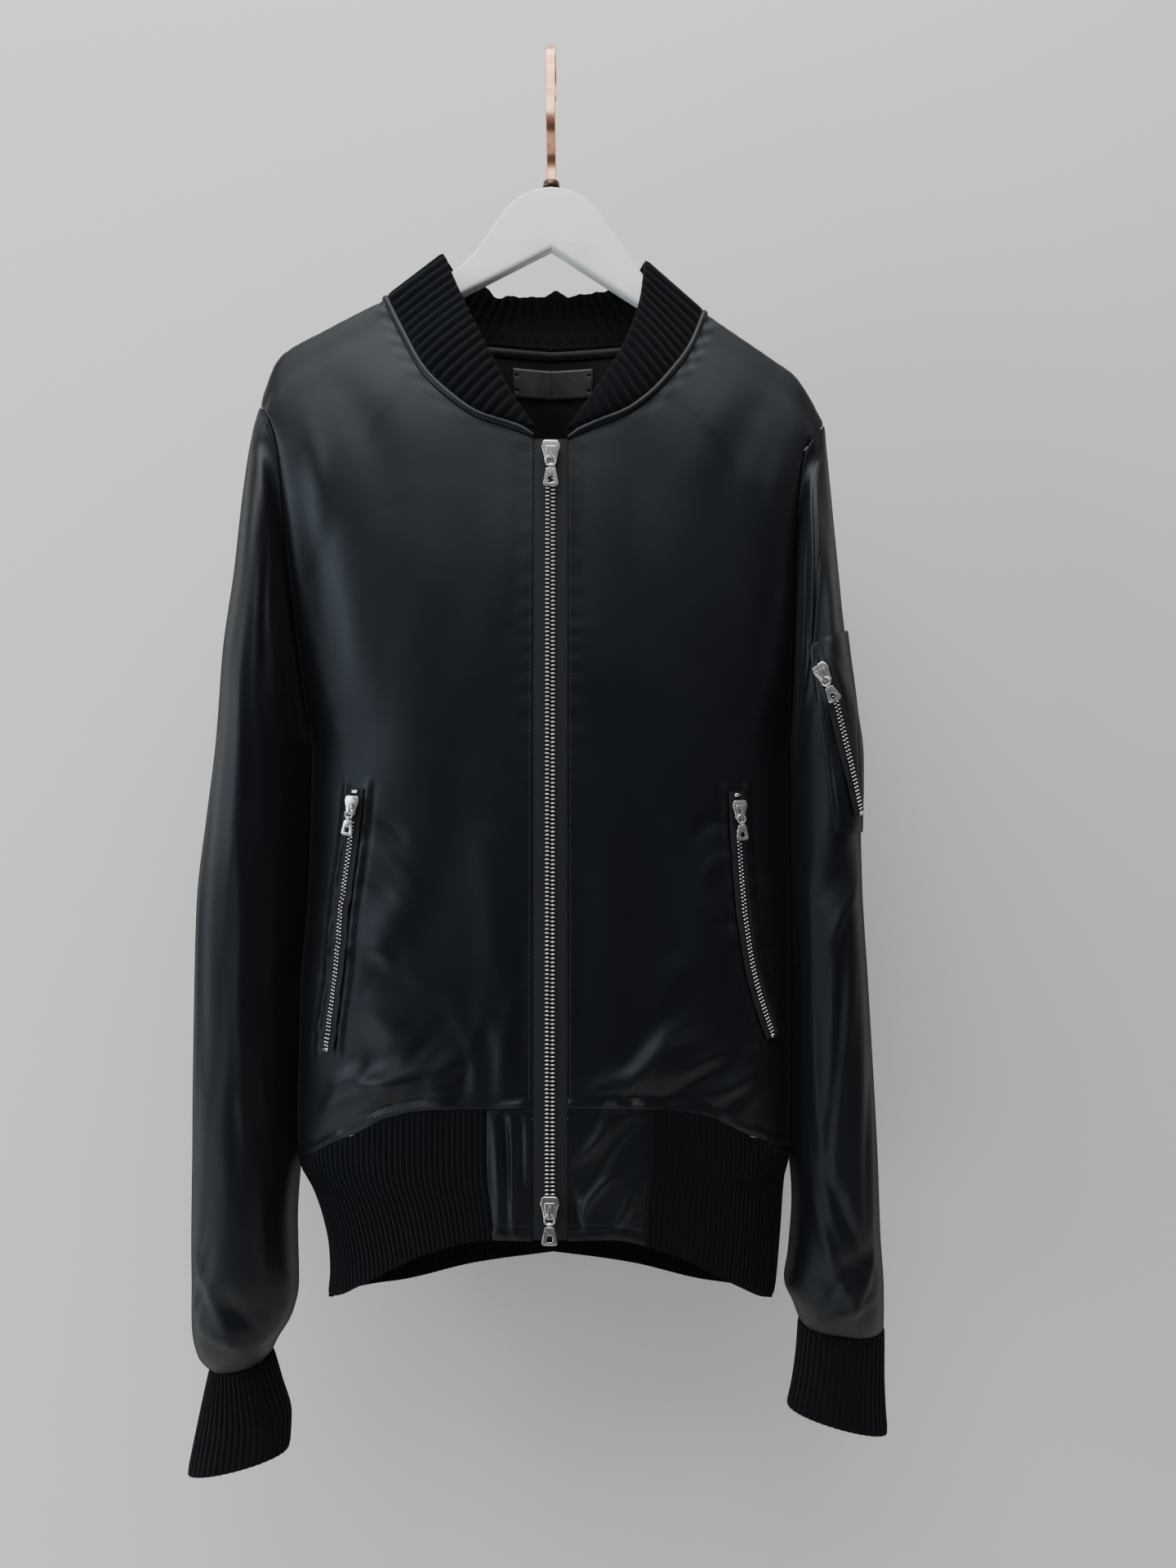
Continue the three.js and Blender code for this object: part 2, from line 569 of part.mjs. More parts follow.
const sleeveOutline = {
  left: {
    outer: [
      { z: -267, x: 194.8 }, { z: -281, x: 196.4 }, { z: -318, x: 199.3 }, { z: -371, x: 203.6 },
      { z: -400, x: 206 }, { z: -429, x: 209.4 }, { z: -459, x: 214.5 }, { z: -505, x: 220.5 },
      { z: -529, x: 220.5 }, { z: -555, x: 218.5 }, { z: -593, x: 219.4 }, { z: -663, x: 224 },
      { z: -780, x: 231 }, { z: -839, x: 233.4 }, { z: -879, x: 236.3 }, { z: -910, x: 237 },
    ],
    inner: [
      { z: -480, x: 171.4 }, { z: -488, x: 172.6 }, { z: -546, x: 173.7 }, { z: -605, x: 174.3 },
      { z: -663, x: 175.5 }, { z: -722, x: 174.9 }, { z: -780, x: 173.7 }, { z: -821, x: 173.2 },
      { z: -862, x: 170.2 }, { z: -880, x: 167.3 }, { z: -891, x: 172 }, { z: -907, x: 178 },
    ],
  },
  right: {
    outer: [
      { z: -254, x: 207.8 }, { z: -271, x: 213.5 }, { z: -295, x: 217 }, { z: -324, x: 220 },
      { z: -371, x: 224 }, { z: -429, x: 231 }, { z: -488, x: 234.6 }, { z: -546, x: 242 },
      { z: -605, x: 249 }, { z: -663, x: 251 }, { z: -780, x: 253 }, { z: -870, x: 254 },
      { z: -905, x: 254.5 }, { z: -927, x: 250.4 }, { z: -937, x: 242.5 },
    ],
    inner: [
      { z: -480, x: 174 }, { z: -488, x: 175.2 }, { z: -546, x: 176.4 }, { z: -605, x: 178.4 },
      { z: -663, x: 183.7 }, { z: -722, x: 184.5 }, { z: -780, x: 184.5 }, { z: -839, x: 183.7 },
      { z: -886, x: 182.5 }, { z: -903, x: 186 }, { z: -919, x: 195.4 }, { z: -930, x: 200.7 },
    ],
  },
};
// Where each loop meets the outer and the inner line, and how far it stands off the middle plane.
const sleeveRows = {
  left: [
    { at: 0, outerZ: -267, innerZ: -480, depth: 17 }, { at: 0.03, outerZ: -277, innerZ: -480.6, depth: 24 },
    { at: 0.07, outerZ: -292, innerZ: -481.5, depth: 34 }, { at: 0.13, outerZ: -320, innerZ: -483, depth: 44 },
    { at: 0.2, outerZ: -362, innerZ: -485.5, depth: 50 }, { at: 0.27, outerZ: -405, innerZ: -490, depth: 53 },
    { at: 0.34, outerZ: -448, innerZ: -500, depth: 54 }, { at: 0.41, outerZ: -492, innerZ: -520, depth: 53 },
    { at: 0.48, outerZ: -540, innerZ: -552, depth: 52 }, { at: 0.57, outerZ: -605, innerZ: -608, depth: 50 },
    { at: 0.67, outerZ: -680, innerZ: -679, depth: 47 }, { at: 0.77, outerZ: -757, innerZ: -755, depth: 45 },
    { at: 0.86, outerZ: -826, innerZ: -823, depth: 43 }, { at: 0.92, outerZ: -868, innerZ: -864, depth: 40 },
    { at: 0.96, outerZ: -891, innerZ: -888, depth: 35 }, { at: 1, outerZ: -910, innerZ: -907, depth: 26 },
  ],
  right: [
    { at: 0, outerZ: -254, innerZ: -480, depth: 17 }, { at: 0.03, outerZ: -265, innerZ: -480.6, depth: 24 },
    { at: 0.07, outerZ: -282, innerZ: -481.5, depth: 34 }, { at: 0.13, outerZ: -312, innerZ: -483, depth: 44 },
    { at: 0.2, outerZ: -356, innerZ: -485.5, depth: 50 }, { at: 0.27, outerZ: -402, innerZ: -490, depth: 54 },
    { at: 0.34, outerZ: -448, innerZ: -500, depth: 56 }, { at: 0.41, outerZ: -494, innerZ: -522, depth: 56 },
    { at: 0.48, outerZ: -542, innerZ: -555, depth: 55 }, { at: 0.57, outerZ: -608, innerZ: -612, depth: 53 },
    { at: 0.67, outerZ: -686, innerZ: -686, depth: 50 }, { at: 0.77, outerZ: -766, innerZ: -764, depth: 48 },
    { at: 0.86, outerZ: -840, innerZ: -836, depth: 46 }, { at: 0.92, outerZ: -889, innerZ: -881, depth: 42 },
    { at: 0.96, outerZ: -915, innerZ: -906, depth: 36 }, { at: 1, outerZ: -937, innerZ: -930, depth: 24 },
  ],
};
const SLEEVE_ROWS = [
  0, 0.015, 0.035, 0.07, 0.12, 0.18, 0.25, 0.32, 0.4, 0.48, 0.57, 0.66, 0.75, 0.83, 0.9, 0.945, 0.975, 1,
];
const SLEEVE_COLUMNS = 22;
const SLEEVE_FULLNESS = 0.85; // exponent of the sleeve's section, 1 would be an ellipse
const SEAM_REACH = 0.06; // share of the sleeve over which it swells from the armhole seam
const FAN_REACH = 0.5; // and over which its loops lose the armhole's curve

const sleeveLine = {};
for (const side of SIDES) {
  const column = (name) => curve(sleeveRows[side], "at", name);
  sleeveLine[side] = {
    outerX: curve(sleeveOutline[side].outer, "z", "x"),
    innerX: curve(sleeveOutline[side].inner, "z", "x"),
    outerZ: column("outerZ"), innerZ: column("innerZ"), depth: column("depth"),
  };
}
// Folds round the sleeve, by share of its length and by angle from its outer line.
const sleeveFoldRows = {
  left: [
    { at1: 0.1, turn1: 0.5, at2: 0.3, turn2: 2.4, width: 0.035, height: -4 },
    { at1: 0.5, turn1: 0.4, at2: 0.56, turn2: 2.2, width: 0.02, height: -3 },
    { at1: 0.6, turn1: 0.9, at2: 0.9, turn2: 1.2, width: 0.03, height: 3 },
    { at1: 0.88, turn1: 0.5, at2: 0.92, turn2: 2.4, width: 0.014, height: -3 },
    { at1: 0.45, turn1: 3.9, at2: 0.6, turn2: 5.2, width: 0.025, height: -4 },
    { at1: 0.2, turn1: 4, at2: 0.3, turn2: 5.6, width: 0.03, height: -3 },
  ],
  right: [
    { at1: 0.08, turn1: 0.7, at2: 0.5, turn2: 1.6, width: 0.04, height: 4 },
    { at1: 0.5, turn1: 1.9, at2: 0.85, turn2: 1.2, width: 0.035, height: 3 },
    { at1: 0.9, turn1: 0.4, at2: 0.93, turn2: 2.4, width: 0.014, height: -3 },
    { at1: 0.3, turn1: 2.1, at2: 0.45, turn2: 2.7, width: 0.03, height: -3 },
    { at1: 0.4, turn1: 4.2, at2: 0.55, turn2: 5.4, width: 0.025, height: -4 },
    { at1: 0.75, turn1: 4, at2: 0.8, turn2: 5.4, width: 0.02, height: -3 },
  ],
};
const TURN_SCALE = 0.08; // one radian round the sleeve counts as this share of its length

function sleeveFold(side, at, turn) {
  const rows = sleeveFoldRows[side].map((fold) => ({
    x1: fold.at1, z1: fold.turn1 * TURN_SCALE, x2: fold.at2, z2: fold.turn2 * TURN_SCALE,
    width: fold.width, height: fold.height,
  }));
  return foldHeight(rows, at, turn * TURN_SCALE);
}

// at runs from the armhole (0) to the cuff (1), turn from the outer line round the front.
function sleevePoint(side, at, turn) {
  const sign = signOf(side);
  const line = sleeveLine[side];
  const chord = (share, own) => {
    const [outerZ, innerZ] = [line.outerZ(own), line.innerZ(own)];
    const [outerX, innerX] = [line.outerX(outerZ), line.innerX(innerZ)];
    return [mix(innerX, outerX, share), mix(innerZ, outerZ, share)];
  };
  const share = (1 + Math.cos(turn)) / 2;
  const [x, z] = chord(share, at);
  const [startX, startZ] = chord(share, 0);
  const seamX = bodyWidth[side](startZ) + ARMHOLE_HALF;
  const fade = Math.max(1 - at / FAN_REACH, 0) ** 2;
  const face = Math.sin(turn) >= 0 ? "front" : "back";
  const full = line.depth(at) * Math.abs(Math.sin(turn)) ** SLEEVE_FULLNESS;
  const seamY = Math.min(armholeDepth(side, startZ), standOff(face, sign * bodyWidth[side](startZ), startZ));
  const swell = smooth(at / SEAM_REACH);
  const away = mix(seamY, full, swell) + sleeveFold(side, at, turn) * swell * Math.abs(Math.sin(turn));
  return new THREE.Vector3(sign * (x + fade * (seamX - startX)), faceSign(face) * away, z);
}

function sleeveNormal(side, at, turn) {
  if (at === 0) {
    const { z } = sleevePoint(side, 0, turn);
    return armholeNormal(side, Math.sin(turn) >= 0 ? "front" : "back", z);
  }
  const [alongStep, turnStep] = [0.004, 0.02];
  const along = sleevePoint(side, Math.min(at + alongStep, 1), turn)
    .sub(sleevePoint(side, at - alongStep, turn));
  const round = sleevePoint(side, at, turn + turnStep).sub(sleevePoint(side, at, turn - turnStep));
  return along.cross(round).multiplyScalar(-signOf(side)).normalize();
}

const sleevePlace = (side, at, turn) => ({
  point: sleevePoint(side, at, turn),
  normal: sleeveNormal(side, at, turn),
});

// The value in a range at which a falling function reaches a level.
function solve(low, high, level, value) {
  for (let i = 0; i < 24; i++) {
    const middle = (low + high) / 2;
    if (value(middle) > level) low = middle;
    else high = middle;
  }
  return low;
}

// The place on a sleeve's front at a point seen from the front.
function sleeveFront(side, x, z) {
  const turnAt = (at) => solve(0, Math.PI, x, (turn) => signOf(side) * sleevePoint(side, at, turn).x);
  const at = solve(0, 1, z, (share) => sleevePoint(side, share, turnAt(share)).z);
  return sleevePlace(side, at, turnAt(at));
}

function sleeve(side) {
  const turns = steps(SLEEVE_COLUMNS).slice(0, -1).map((t) => t * 2 * Math.PI);
  const grid = SLEEVE_ROWS.map((at) => turns.map((turn) => sleevePlace(side, at, turn)));
  return clothWall(grid, SATIN, { round: true, held: outsideBody });
}

// Cuffs: the outer and inner edge and the depth, from the seam (0) to the free edge (1).

const cuffRows = {
  left: [
    { at: 0, outerX: 237, outerZ: -910.6, innerX: 178, innerZ: -907.6, depth: 25 },
    { at: 0.35, outerX: 237, outerZ: -937, innerX: 176.5, innerZ: -928, depth: 22 },
    { at: 0.75, outerX: 238, outerZ: -967, innerX: 172.9, innerZ: -953, depth: 19 },
    { at: 1, outerX: 239.5, outerZ: -986, innerX: 169.5, innerZ: -967, depth: 17 },
  ],
  right: [
    { at: 0, outerX: 242.5, outerZ: -937.6, innerX: 200.7, innerZ: -930.6, depth: 23 },
    { at: 0.3, outerX: 247, outerZ: -957, innerX: 194.5, innerZ: -950, depth: 21 },
    { at: 0.7, outerX: 253.5, outerZ: -988, innerX: 187.5, innerZ: -975, depth: 19 },
    { at: 1, outerX: 259, outerZ: -1015, innerX: 188.5, innerZ: -997.5, depth: 17 },
  ],
};
const cuffLine = {};
for (const side of SIDES) {
  cuffLine[side] = {};
  for (const name of ["outerX", "outerZ", "innerX", "innerZ", "depth"]) {
    cuffLine[side][name] = curve(cuffRows[side], "at", name);
  }
}

function cuffPoint(side, at, turn) {
  const line = cuffLine[side];
  const share = (1 + Math.cos(turn)) / 2;
  const x = mix(line.innerX(at), line.outerX(at), share);
  const z = mix(line.innerZ(at), line.outerZ(at), share);
  const y = -Math.sign(Math.sin(turn)) * line.depth(at) * Math.abs(Math.sin(turn)) ** SLEEVE_FULLNESS;
  return new THREE.Vector3(signOf(side) * x, y, z);
}

function cuffPlace(side, at, turn) {
  const along = cuffPoint(side, Math.min(at + 0.02, 1), turn).sub(cuffPoint(side, Math.max(at - 0.02, 0), turn));
  const round = cuffPoint(side, at, turn + 0.02).sub(cuffPoint(side, at, turn - 0.02));
  return {
    point: cuffPoint(side, at, turn),
    normal: along.cross(round).multiplyScalar(-signOf(side)).normalize(),
  };
}

const cuff = (side) =>
  ribbedWall((turn, at) => cuffPlace(side, at, turn), 0, 2 * Math.PI, RIB.cuff, [0, 1], true);

// The hem band: an angle goes round the body from the middle of the front towards the wearer's left.

const hemPanelReach = { left: 67, right: 41.6 }; // where the satin hem panels end and the rib starts

function hemPlace(angle, down) {
  const side = Math.sin(angle) >= 0 ? "left" : "right";
  const face = Math.cos(angle) >= 0 ? "front" : "back";
  const share = Math.abs(Math.sin(angle)) ** (2 / ROUNDNESS);
  const level = (line, start) => {
    let z = start;
    for (let i = 0; i < 4; i++) z = line[face](share * bodyWidth[side](z));
    return z;
  };
  const z = mix(level(hemSeam, -780) - HEM_HALF, level(hemEdge, -880), down);
  const x = signOf(side) * share * bodyWidth[side](z);
  const onSide = Math.abs(Math.cos(angle)) < 0.03;
  const y = faceSign(face) * standOff(face, x, z);
  const normal = onSide ? new THREE.Vector3(signOf(side), 0, 0) : bodyNormal(face, x, z);
  return { point: new THREE.Vector3(x, y, z), normal };
}

// The angle at which the band reaches a distance from the middle plane, on the front.
function hemAngle(side, x) {
  const share = x / bodyWidth[side](hemSeam.front(x));
  return Math.asin(share ** (ROUNDNESS / 2));
}

function hemRib() {
  const start = hemAngle("left", hemPanelReach.left + SEAM_GAP);
  const end = 2 * Math.PI - hemAngle("right", hemPanelReach.right + SEAM_GAP);
  return ribbedWall(hemPlace, start, end, RIB.hem, [0, 0.5, 1]);
}

function hemPanel(side) {
  const start = ZIP_X + signOf(side) * FRONT_EDGE;
  const border = signOf(side) * hemAngle(side, hemPanelReach[side]);
  const grid = steps(4).map((down) => steps(6).map((across) => {
    const x = mix(start, hemPlace(border, down).point.x, across);
    const z = mix(hemSeam.front(Math.abs(x)) - HEM_HALF, hemEdge.front(Math.abs(x)), down);
    return { point: bodyPoint("front", x, z), normal: bodyNormal("front", x, z) };
  }));
  return clothWall(grid, SATIN);
}

// Neck trims

function collar() {
  const place = (at, up) => {
    const width = neckPoint(at, 0).distanceTo(neckPoint(at, 1));
    const start = bindingShare(width) + (2.5 * SEAM_GAP) / width;
    const held = mix(start, 1, up);
    return { point: neckPoint(at, held), normal: neckNormal(at, held) };
  };
  return ribbedWall(place, 0, 2 * NECK_BACK, RIB.collar, [0, 0.5, 1]);
}

const bindingShare = (width) => Math.min(BINDING_WIDTH / width, 0.4);

function neckBinding() {
  const at = evenly((t) => neckPoint(t, 0), 0, 2 * NECK_BACK, 52);
  const grid = [0, 0.5, 1].map((step) => at.map((t) => {
    const width = neckPoint(t, 0).distanceTo(neckPoint(t, 1));
    const up = mix((2 * SEAM_GAP) / width, bindingShare(width), step);
    return { point: neckPoint(t, up), normal: neckNormal(t, up) };
  }));
  const roll = [0, 0.7, 0]; // the binding is a soft roll, highest along its middle
  const outer = grid.map((row, r) => row.map((place) => moved(place.point, place.normal, BINDING_LIFT + TAPE + roll[r])));
  const inner = grid.map((row) => row.map((place) => moved(place.point, place.normal, BINDING_LIFT)));
  return wall(outer, inner);
}

const inward = ({ point, normal }) => ({ point, normal: normal.clone().negate() });

// A strip or label sewn to the inside of the back: rows of height, columns of distance.
function insideBack(xs, drops) {
  const grid = drops.map((drop) => xs.map((x) => {
    const line = neckLine[sideOf(x)];
    const own = neckBackAt(sideOf(x), Math.abs(x));
    const z = line.seamZ(own) - drop;
    return inward({ point: bodyPoint("back", x, z), normal: bodyNormal("back", x, z) });
  }));
  return lyingPiece(grid, SATIN + LINING_GAP, xs.map(() => TAPE));
}

// Where the neck table reaches a distance from the middle of the back.
const neckBackAt = (side, x) => solve(NECK_SIDE, NECK_BACK, x, neckLine[side].seamX);

const FACING = { reach: 78, top: 0.6, height: 6 };
const LABEL = { width: 59, height: 20, middleX: 0.5, drop: 13.5 };

const neckFacing = () =>
  insideBack(steps(12).map((t) => mix(-FACING.reach, FACING.reach, t)), [FACING.top, FACING.top + FACING.height]);

function neckLabel() {
  const { width, height, middleX, drop } = LABEL;
  const xs = steps(6).map((t) => middleX + mix(-width / 2, width / 2, t));
  return insideBack(xs, steps(3).map((t) => drop + t * height));
}

// Zips. A chain is a raised bead on its tape, whose teeth are a later, finer matter.

const frontZip = { chain: 3.8, bead: 2.6, reach: FRONT_EDGE - 0.6, sunk: SATIN };

function frontZipHalf(side) {
  const sign = signOf(side);
  const across = [0.2, frontZip.chain, frontZip.chain + 0.2, frontZip.reach];
  const heights = [frontZip.bead, frontZip.bead, TAPE, TAPE];
  const top = Math.max(neckLine.left.seamZ(0), neckLine.right.seamZ(0)) - 1;
  const bottom = hemEdge.front(0) + 1;
  const grid = steps(14).map((t) => across.map((distance) => {
    const x = ZIP_X + sign * distance;
    const z = mix(top, bottom, t);
    return { point: bodyPoint("front", x, z), normal: bodyNormal("front", x, z) };
  }));
  return lyingPiece(grid, -frontZip.sunk, heights);
}

// Short zips: a middle line on a face, from the slider's end to the other.
const smallZip = { chain: 2.4, bead: 2.3, reach: 5.5, lift: LIE_GAP };
const pocketZipRows = {
  left: [
    { x: 126.6, z: -528 }, { x: 128.5, z: -570 }, { x: 131.5, z: -608 }, { x: 137.5, z: -648 },
    { x: 146, z: -678 }, { x: 152, z: -696 },
  ],
  right: [
    { x: -130.7, z: -526 }, { x: -134.5, z: -565 }, { x: -140.5, z: -608 }, { x: -144.5, z: -655 },
    { x: -149.5, z: -690 }, { x: -151, z: -704 },
  ],
};
const sleeveZipRows = [{ x: 185, z: -442 }, { x: 196, z: -490 }, { x: 207, z: -543 }];
const cuffZipTurn = { left: 5.0, right: 5.0 }; // on the back of each cuff, nearer its outer edge
// The pocket patch on the sleeve, by its corners seen from the front.
const patch = {
  top: [{ x: 177, z: -429 }, { x: 206, z: -416 }],
  bottom: [{ x: 192, z: -556 }, { x: 213.5, z: -556 }],
  lift: 1.5, thickness: 1,
};

// Places on both sides of a middle line; place gives a point and a normal for a line position.
function zipGrid(middle, count) {
  const at = evenly((t) => middle(t).point, 0, 1, count);
  const across = [-smallZip.reach, -smallZip.chain - 0.2, -smallZip.chain];
  const distances = [...across, ...across.map((d) => -d).reverse()];
  return at.map((t) => {
    const { point, normal } = middle(t);
    const ahead = middle(Math.min(t + 0.02, 1)).point.sub(middle(Math.max(t - 0.02, 0)).point).normalize();
    const sideways = ahead.cross(normal).normalize();
    return distances.map((distance) => ({ point: moved(point, sideways, distance), normal }));
  });
}

const smallZipHeights = [TAPE, TAPE, smallZip.bead, smallZip.bead, TAPE, TAPE];

// The middle line of each short zip, as a function of its share.
const pocketMiddle = (side) => {
  const rows = pocketZipRows[side].map((row, i, all) => ({ ...row, at: i / (all.length - 1) }));
  const [x, z] = [curve(rows, "at", "x"), curve(rows, "at", "z")];
  return (t) => ({ point: bodyPoint("front", x(t), z(t)), normal: bodyNormal("front", x(t), z(t)) });
};
const sleeveMiddle = (t) => {
  const rows = sleeveZipRows.map((row, i, all) => ({ ...row, at: i / (all.length - 1) }));
  const { point, normal } = sleeveFront("left", curve(rows, "at", "x")(t), curve(rows, "at", "z")(t));
  return { point: moved(point, normal, patch.lift + patch.thickness), normal };
};
const cuffMiddle = (side) => (t) => {
  const { point, normal } = cuffPlace(side, mix(0.96, 0.1, t), cuffZipTurn[side]);
  return { point: moved(point, normal, RIB.height), normal };
};

// Where a tape lies across a curved face its edges would dip into it, so it is lifted to clear.
const zipLift = { pocket: 1, sleeve: 0.8, cuff: 0.9 };
const SLEEVE_SLIDER_LIFT = 0.8; // the zip bends most here, and the slider is straight

const shortZip = (middle, count, lift) => lyingPiece(zipGrid(middle, count), lift, smallZipHeights);

function sleevePocket() {
  const columns = steps(7);
  const grid = steps(8).map((down) => columns.map((across) => {
    const [start, end] = [0, 1].map((i) => ({
      x: mix(patch.top[i].x, patch.bottom[i].x, down),
      z: mix(patch.top[i].z, patch.bottom[i].z, down),
    }));
    return sleeveFront("left", mix(start.x, end.x, across), mix(start.z, end.z, across));
  }));
  return lyingPiece(grid, patch.lift, columns.map(() => patch.thickness));
}

// Sliders with their pulls, in a frame of their own: X across the zip, -Y off the cloth, Z up it.

const sliderSizes = { width: 13, height: 15.5, thickness: 3.4, gap: 0.3 };
const bridge = { width: 2.2, height: 7, rise: 3, bar: 0.9, foot: 0.8, middle: -2 };
const ring = { radius: 3.3, wire: 0.75 };
const tab = { top: 6.4, bottom: 10.6, length: 12, thickness: 1.3, window: 4.4 };

// A plate standing in the local XZ plane, from y to y - thickness.
function plate(shape, y, thickness) {
  const geometry = new THREE.ExtrudeGeometry(shape, { depth: thickness, bevelEnabled: false });
  geometry.rotateX(Math.PI / 2);
  geometry.translate(0, y, 0);
  return geometry;
}

// A band standing in the local YZ plane, centred on X.
function band(shape, width) {
  const geometry = new THREE.ExtrudeGeometry(shape, { depth: width, bevelEnabled: false, curveSegments: 5 });
  geometry.applyMatrix4(new THREE.Matrix4().makeBasis(
    new THREE.Vector3(0, 1, 0), new THREE.Vector3(0, 0, 1), new THREE.Vector3(1, 0, 0),
  ));
  geometry.translate(-width / 2, 0, 0);
  return geometry;
}

const shapeOf = (points) => new THREE.Shape(points.map(([x, y]) => new THREE.Vector2(x, y)));

// The hinge line of a pull: under the bridge's bar, halfway to the slider's face.
const hingeDepth = (bead) => bead + sliderSizes.gap + sliderSizes.thickness + (bridge.rise - bridge.bar) / 2;
const hingeHeight = bridge.middle - bridge.height / 2 + bridge.foot + 0.75 + 0.3;

function slider(bead) {
  const [w, h] = [sliderSizes.width / 2, sliderSizes.height / 2];
  const outline = shapeOf([
    [-w * 0.62, -h], [w * 0.62, -h], [w * 0.74, -h * 0.2], [w, h * 0.45],
    [w * 0.8, h], [-w * 0.8, h], [-w, h * 0.45], [-w * 0.74, -h * 0.2],
  ]);
  const face = -(bead + sliderSizes.gap);
  const front = face - sliderSizes.thickness;
  const [low, high] = [bridge.middle - bridge.height / 2, bridge.middle + bridge.height / 2];
  const [root, outerBar, innerBar] = [front + 0.4, front - bridge.rise, front - bridge.rise + bridge.bar];
  const staple = shapeOf([
    [root, low], [outerBar, low], [outerBar, high], [root, high],
    [root, high - bridge.foot], [innerBar, high - bridge.foot], [innerBar, low + bridge.foot], [root, low + bridge.foot],
  ]);
  const body = plate(outline, face, sliderSizes.thickness);
  return joined([body, band(staple, bridge.width)]);
}

function pullRing() {
  const geometry = new THREE.TorusGeometry(ring.radius, ring.wire, 5, 10);
  geometry.rotateX(Math.PI / 2);
  geometry.translate(0, 0, -ring.radius);
  return geometry;
}

function pullTab() {
  const eyeZ = -2 * ring.radius;
  const hole = new THREE.Path().absarc(0, eyeZ, ring.wire + 0.5, 0, 2 * Math.PI, true);
  const eye = new THREE.Shape().absarc(0, eyeZ, ring.wire + 1.3, 0, 2 * Math.PI, false);
  eye.holes.push(hole);
  const top = eyeZ - ring.wire - 0.7;
  const bottom = top - tab.length;
  const outline = shapeOf([
    [-tab.top / 2, top], [-tab.bottom / 2, bottom + 1.4], [-tab.bottom / 2 + 1.2, bottom],
    [tab.bottom / 2 - 1.2, bottom], [tab.bottom / 2, bottom + 1.4], [tab.top / 2, top],
  ]);
  const [side, low] = [tab.window / 2, bottom + 2.2];
  outline.holes.push(new THREE.Path([
    [-side, low], [side, low], [side * 0.75, low + tab.window], [-side * 0.75, low + tab.window],
  ].map(([x, y]) => new THREE.Vector2(x, y))));
  return joined([band(eye, 2.6), plate(outline, tab.thickness / 2, tab.thickness)]);
}

// The frame of a slider that sits on a zip's middle line, pointing up the zip.
function zipFrame(middle, t, upwards) {
  const { point, normal } = middle(t);
  const ahead = middle(Math.min(t + 0.02, 1)).point.sub(middle(Math.max(t - 0.02, 0)).point);
  const up = ahead.multiplyScalar(upwards ? 1 : -1).projectOnPlane(normal).normalize();
  const inwards = normal.clone().negate();
  const across = new THREE.Vector3().crossVectors(inwards, up);
  return new THREE.Matrix4().makeBasis(across, inwards, up).setPosition(point);
}

const frontMiddle = (t) => {
  const z = mix(-285, hemEdge.front(0), t);
  const place = { point: bodyPoint("front", ZIP_X, z), normal: bodyNormal("front", ZIP_X, z) };
  return { point: moved(place.point, place.normal, -frontZip.sunk), normal: place.normal };
};
const frontShare = (z) => (z + 285) / (hemEdge.front(0) + 285);
const lifted = (middle, lift) => (t) => {
  const { point, normal } = middle(t);
  return { point: moved(point, normal, lift), normal };
};
// Each slider: its frame, the bead it runs on and its scale.
const sliders = {
  top: { frame: zipFrame(frontMiddle, frontShare(-300), false), bead: frontZip.bead, size: 1 },
  bottom: { frame: zipFrame(frontMiddle, frontShare(-804), false), bead: frontZip.bead, size: 1 },
  pocket_left: { frame: zipFrame(lifted(pocketMiddle("left"), zipLift.pocket), 0.06, false), size: 0.86 },
  pocket_right: { frame: zipFrame(lifted(pocketMiddle("right"), zipLift.pocket), 0.06, false), size: 0.86 },
  sleeve: { frame: zipFrame(lifted(sleeveMiddle, zipLift.sleeve + SLEEVE_SLIDER_LIFT), 0.09, false), size: 0.86 },
  cuff_left: { frame: zipFrame(lifted(cuffMiddle("left"), zipLift.cuff), 0.12, true), size: 0.8 },
  cuff_right: { frame: zipFrame(lifted(cuffMiddle("right"), zipLift.cuff), 0.12, true), size: 0.8 },
};

// The hanger: a flat board whose arms lie just under the shoulder seams, and a strip hook.

const hangerBoard = { thickness: 12, round: 4.4, seat: 2.2, endX: { left: 167, right: 183 } };
// The board's top edge up to where it starts to bear the shoulders, by distance from its middle.
const hangerTopRows = {
  left: [
    { x: 0, z: -97 }, { x: 14, z: -99.5 }, { x: 25, z: -105.6 }, { x: 35, z: -115.7 }, { x: 45, z: -130 },
    { x: 56, z: -147 }, { x: 67, z: -161.5 }, { x: 90, z: -182 }, { x: 106, z: -193 },
  ],
  right: [
    { x: 0, z: -97 }, { x: 14, z: -99.5 }, { x: 25, z: -105.6 }, { x: 35, z: -115.7 }, { x: 45, z: -130 },
    { x: 56, z: -145 }, { x: 67, z: -155 }, { x: 90, z: -170 }, { x: 110, z: -182.5 },
  ],
};
const hangerNotch = { apexZ: -141.6, slope: { left: 0.66, right: 0.52 } };
const HANGER_SEATED = 127; // from here outwards the board follows the shoulder seam

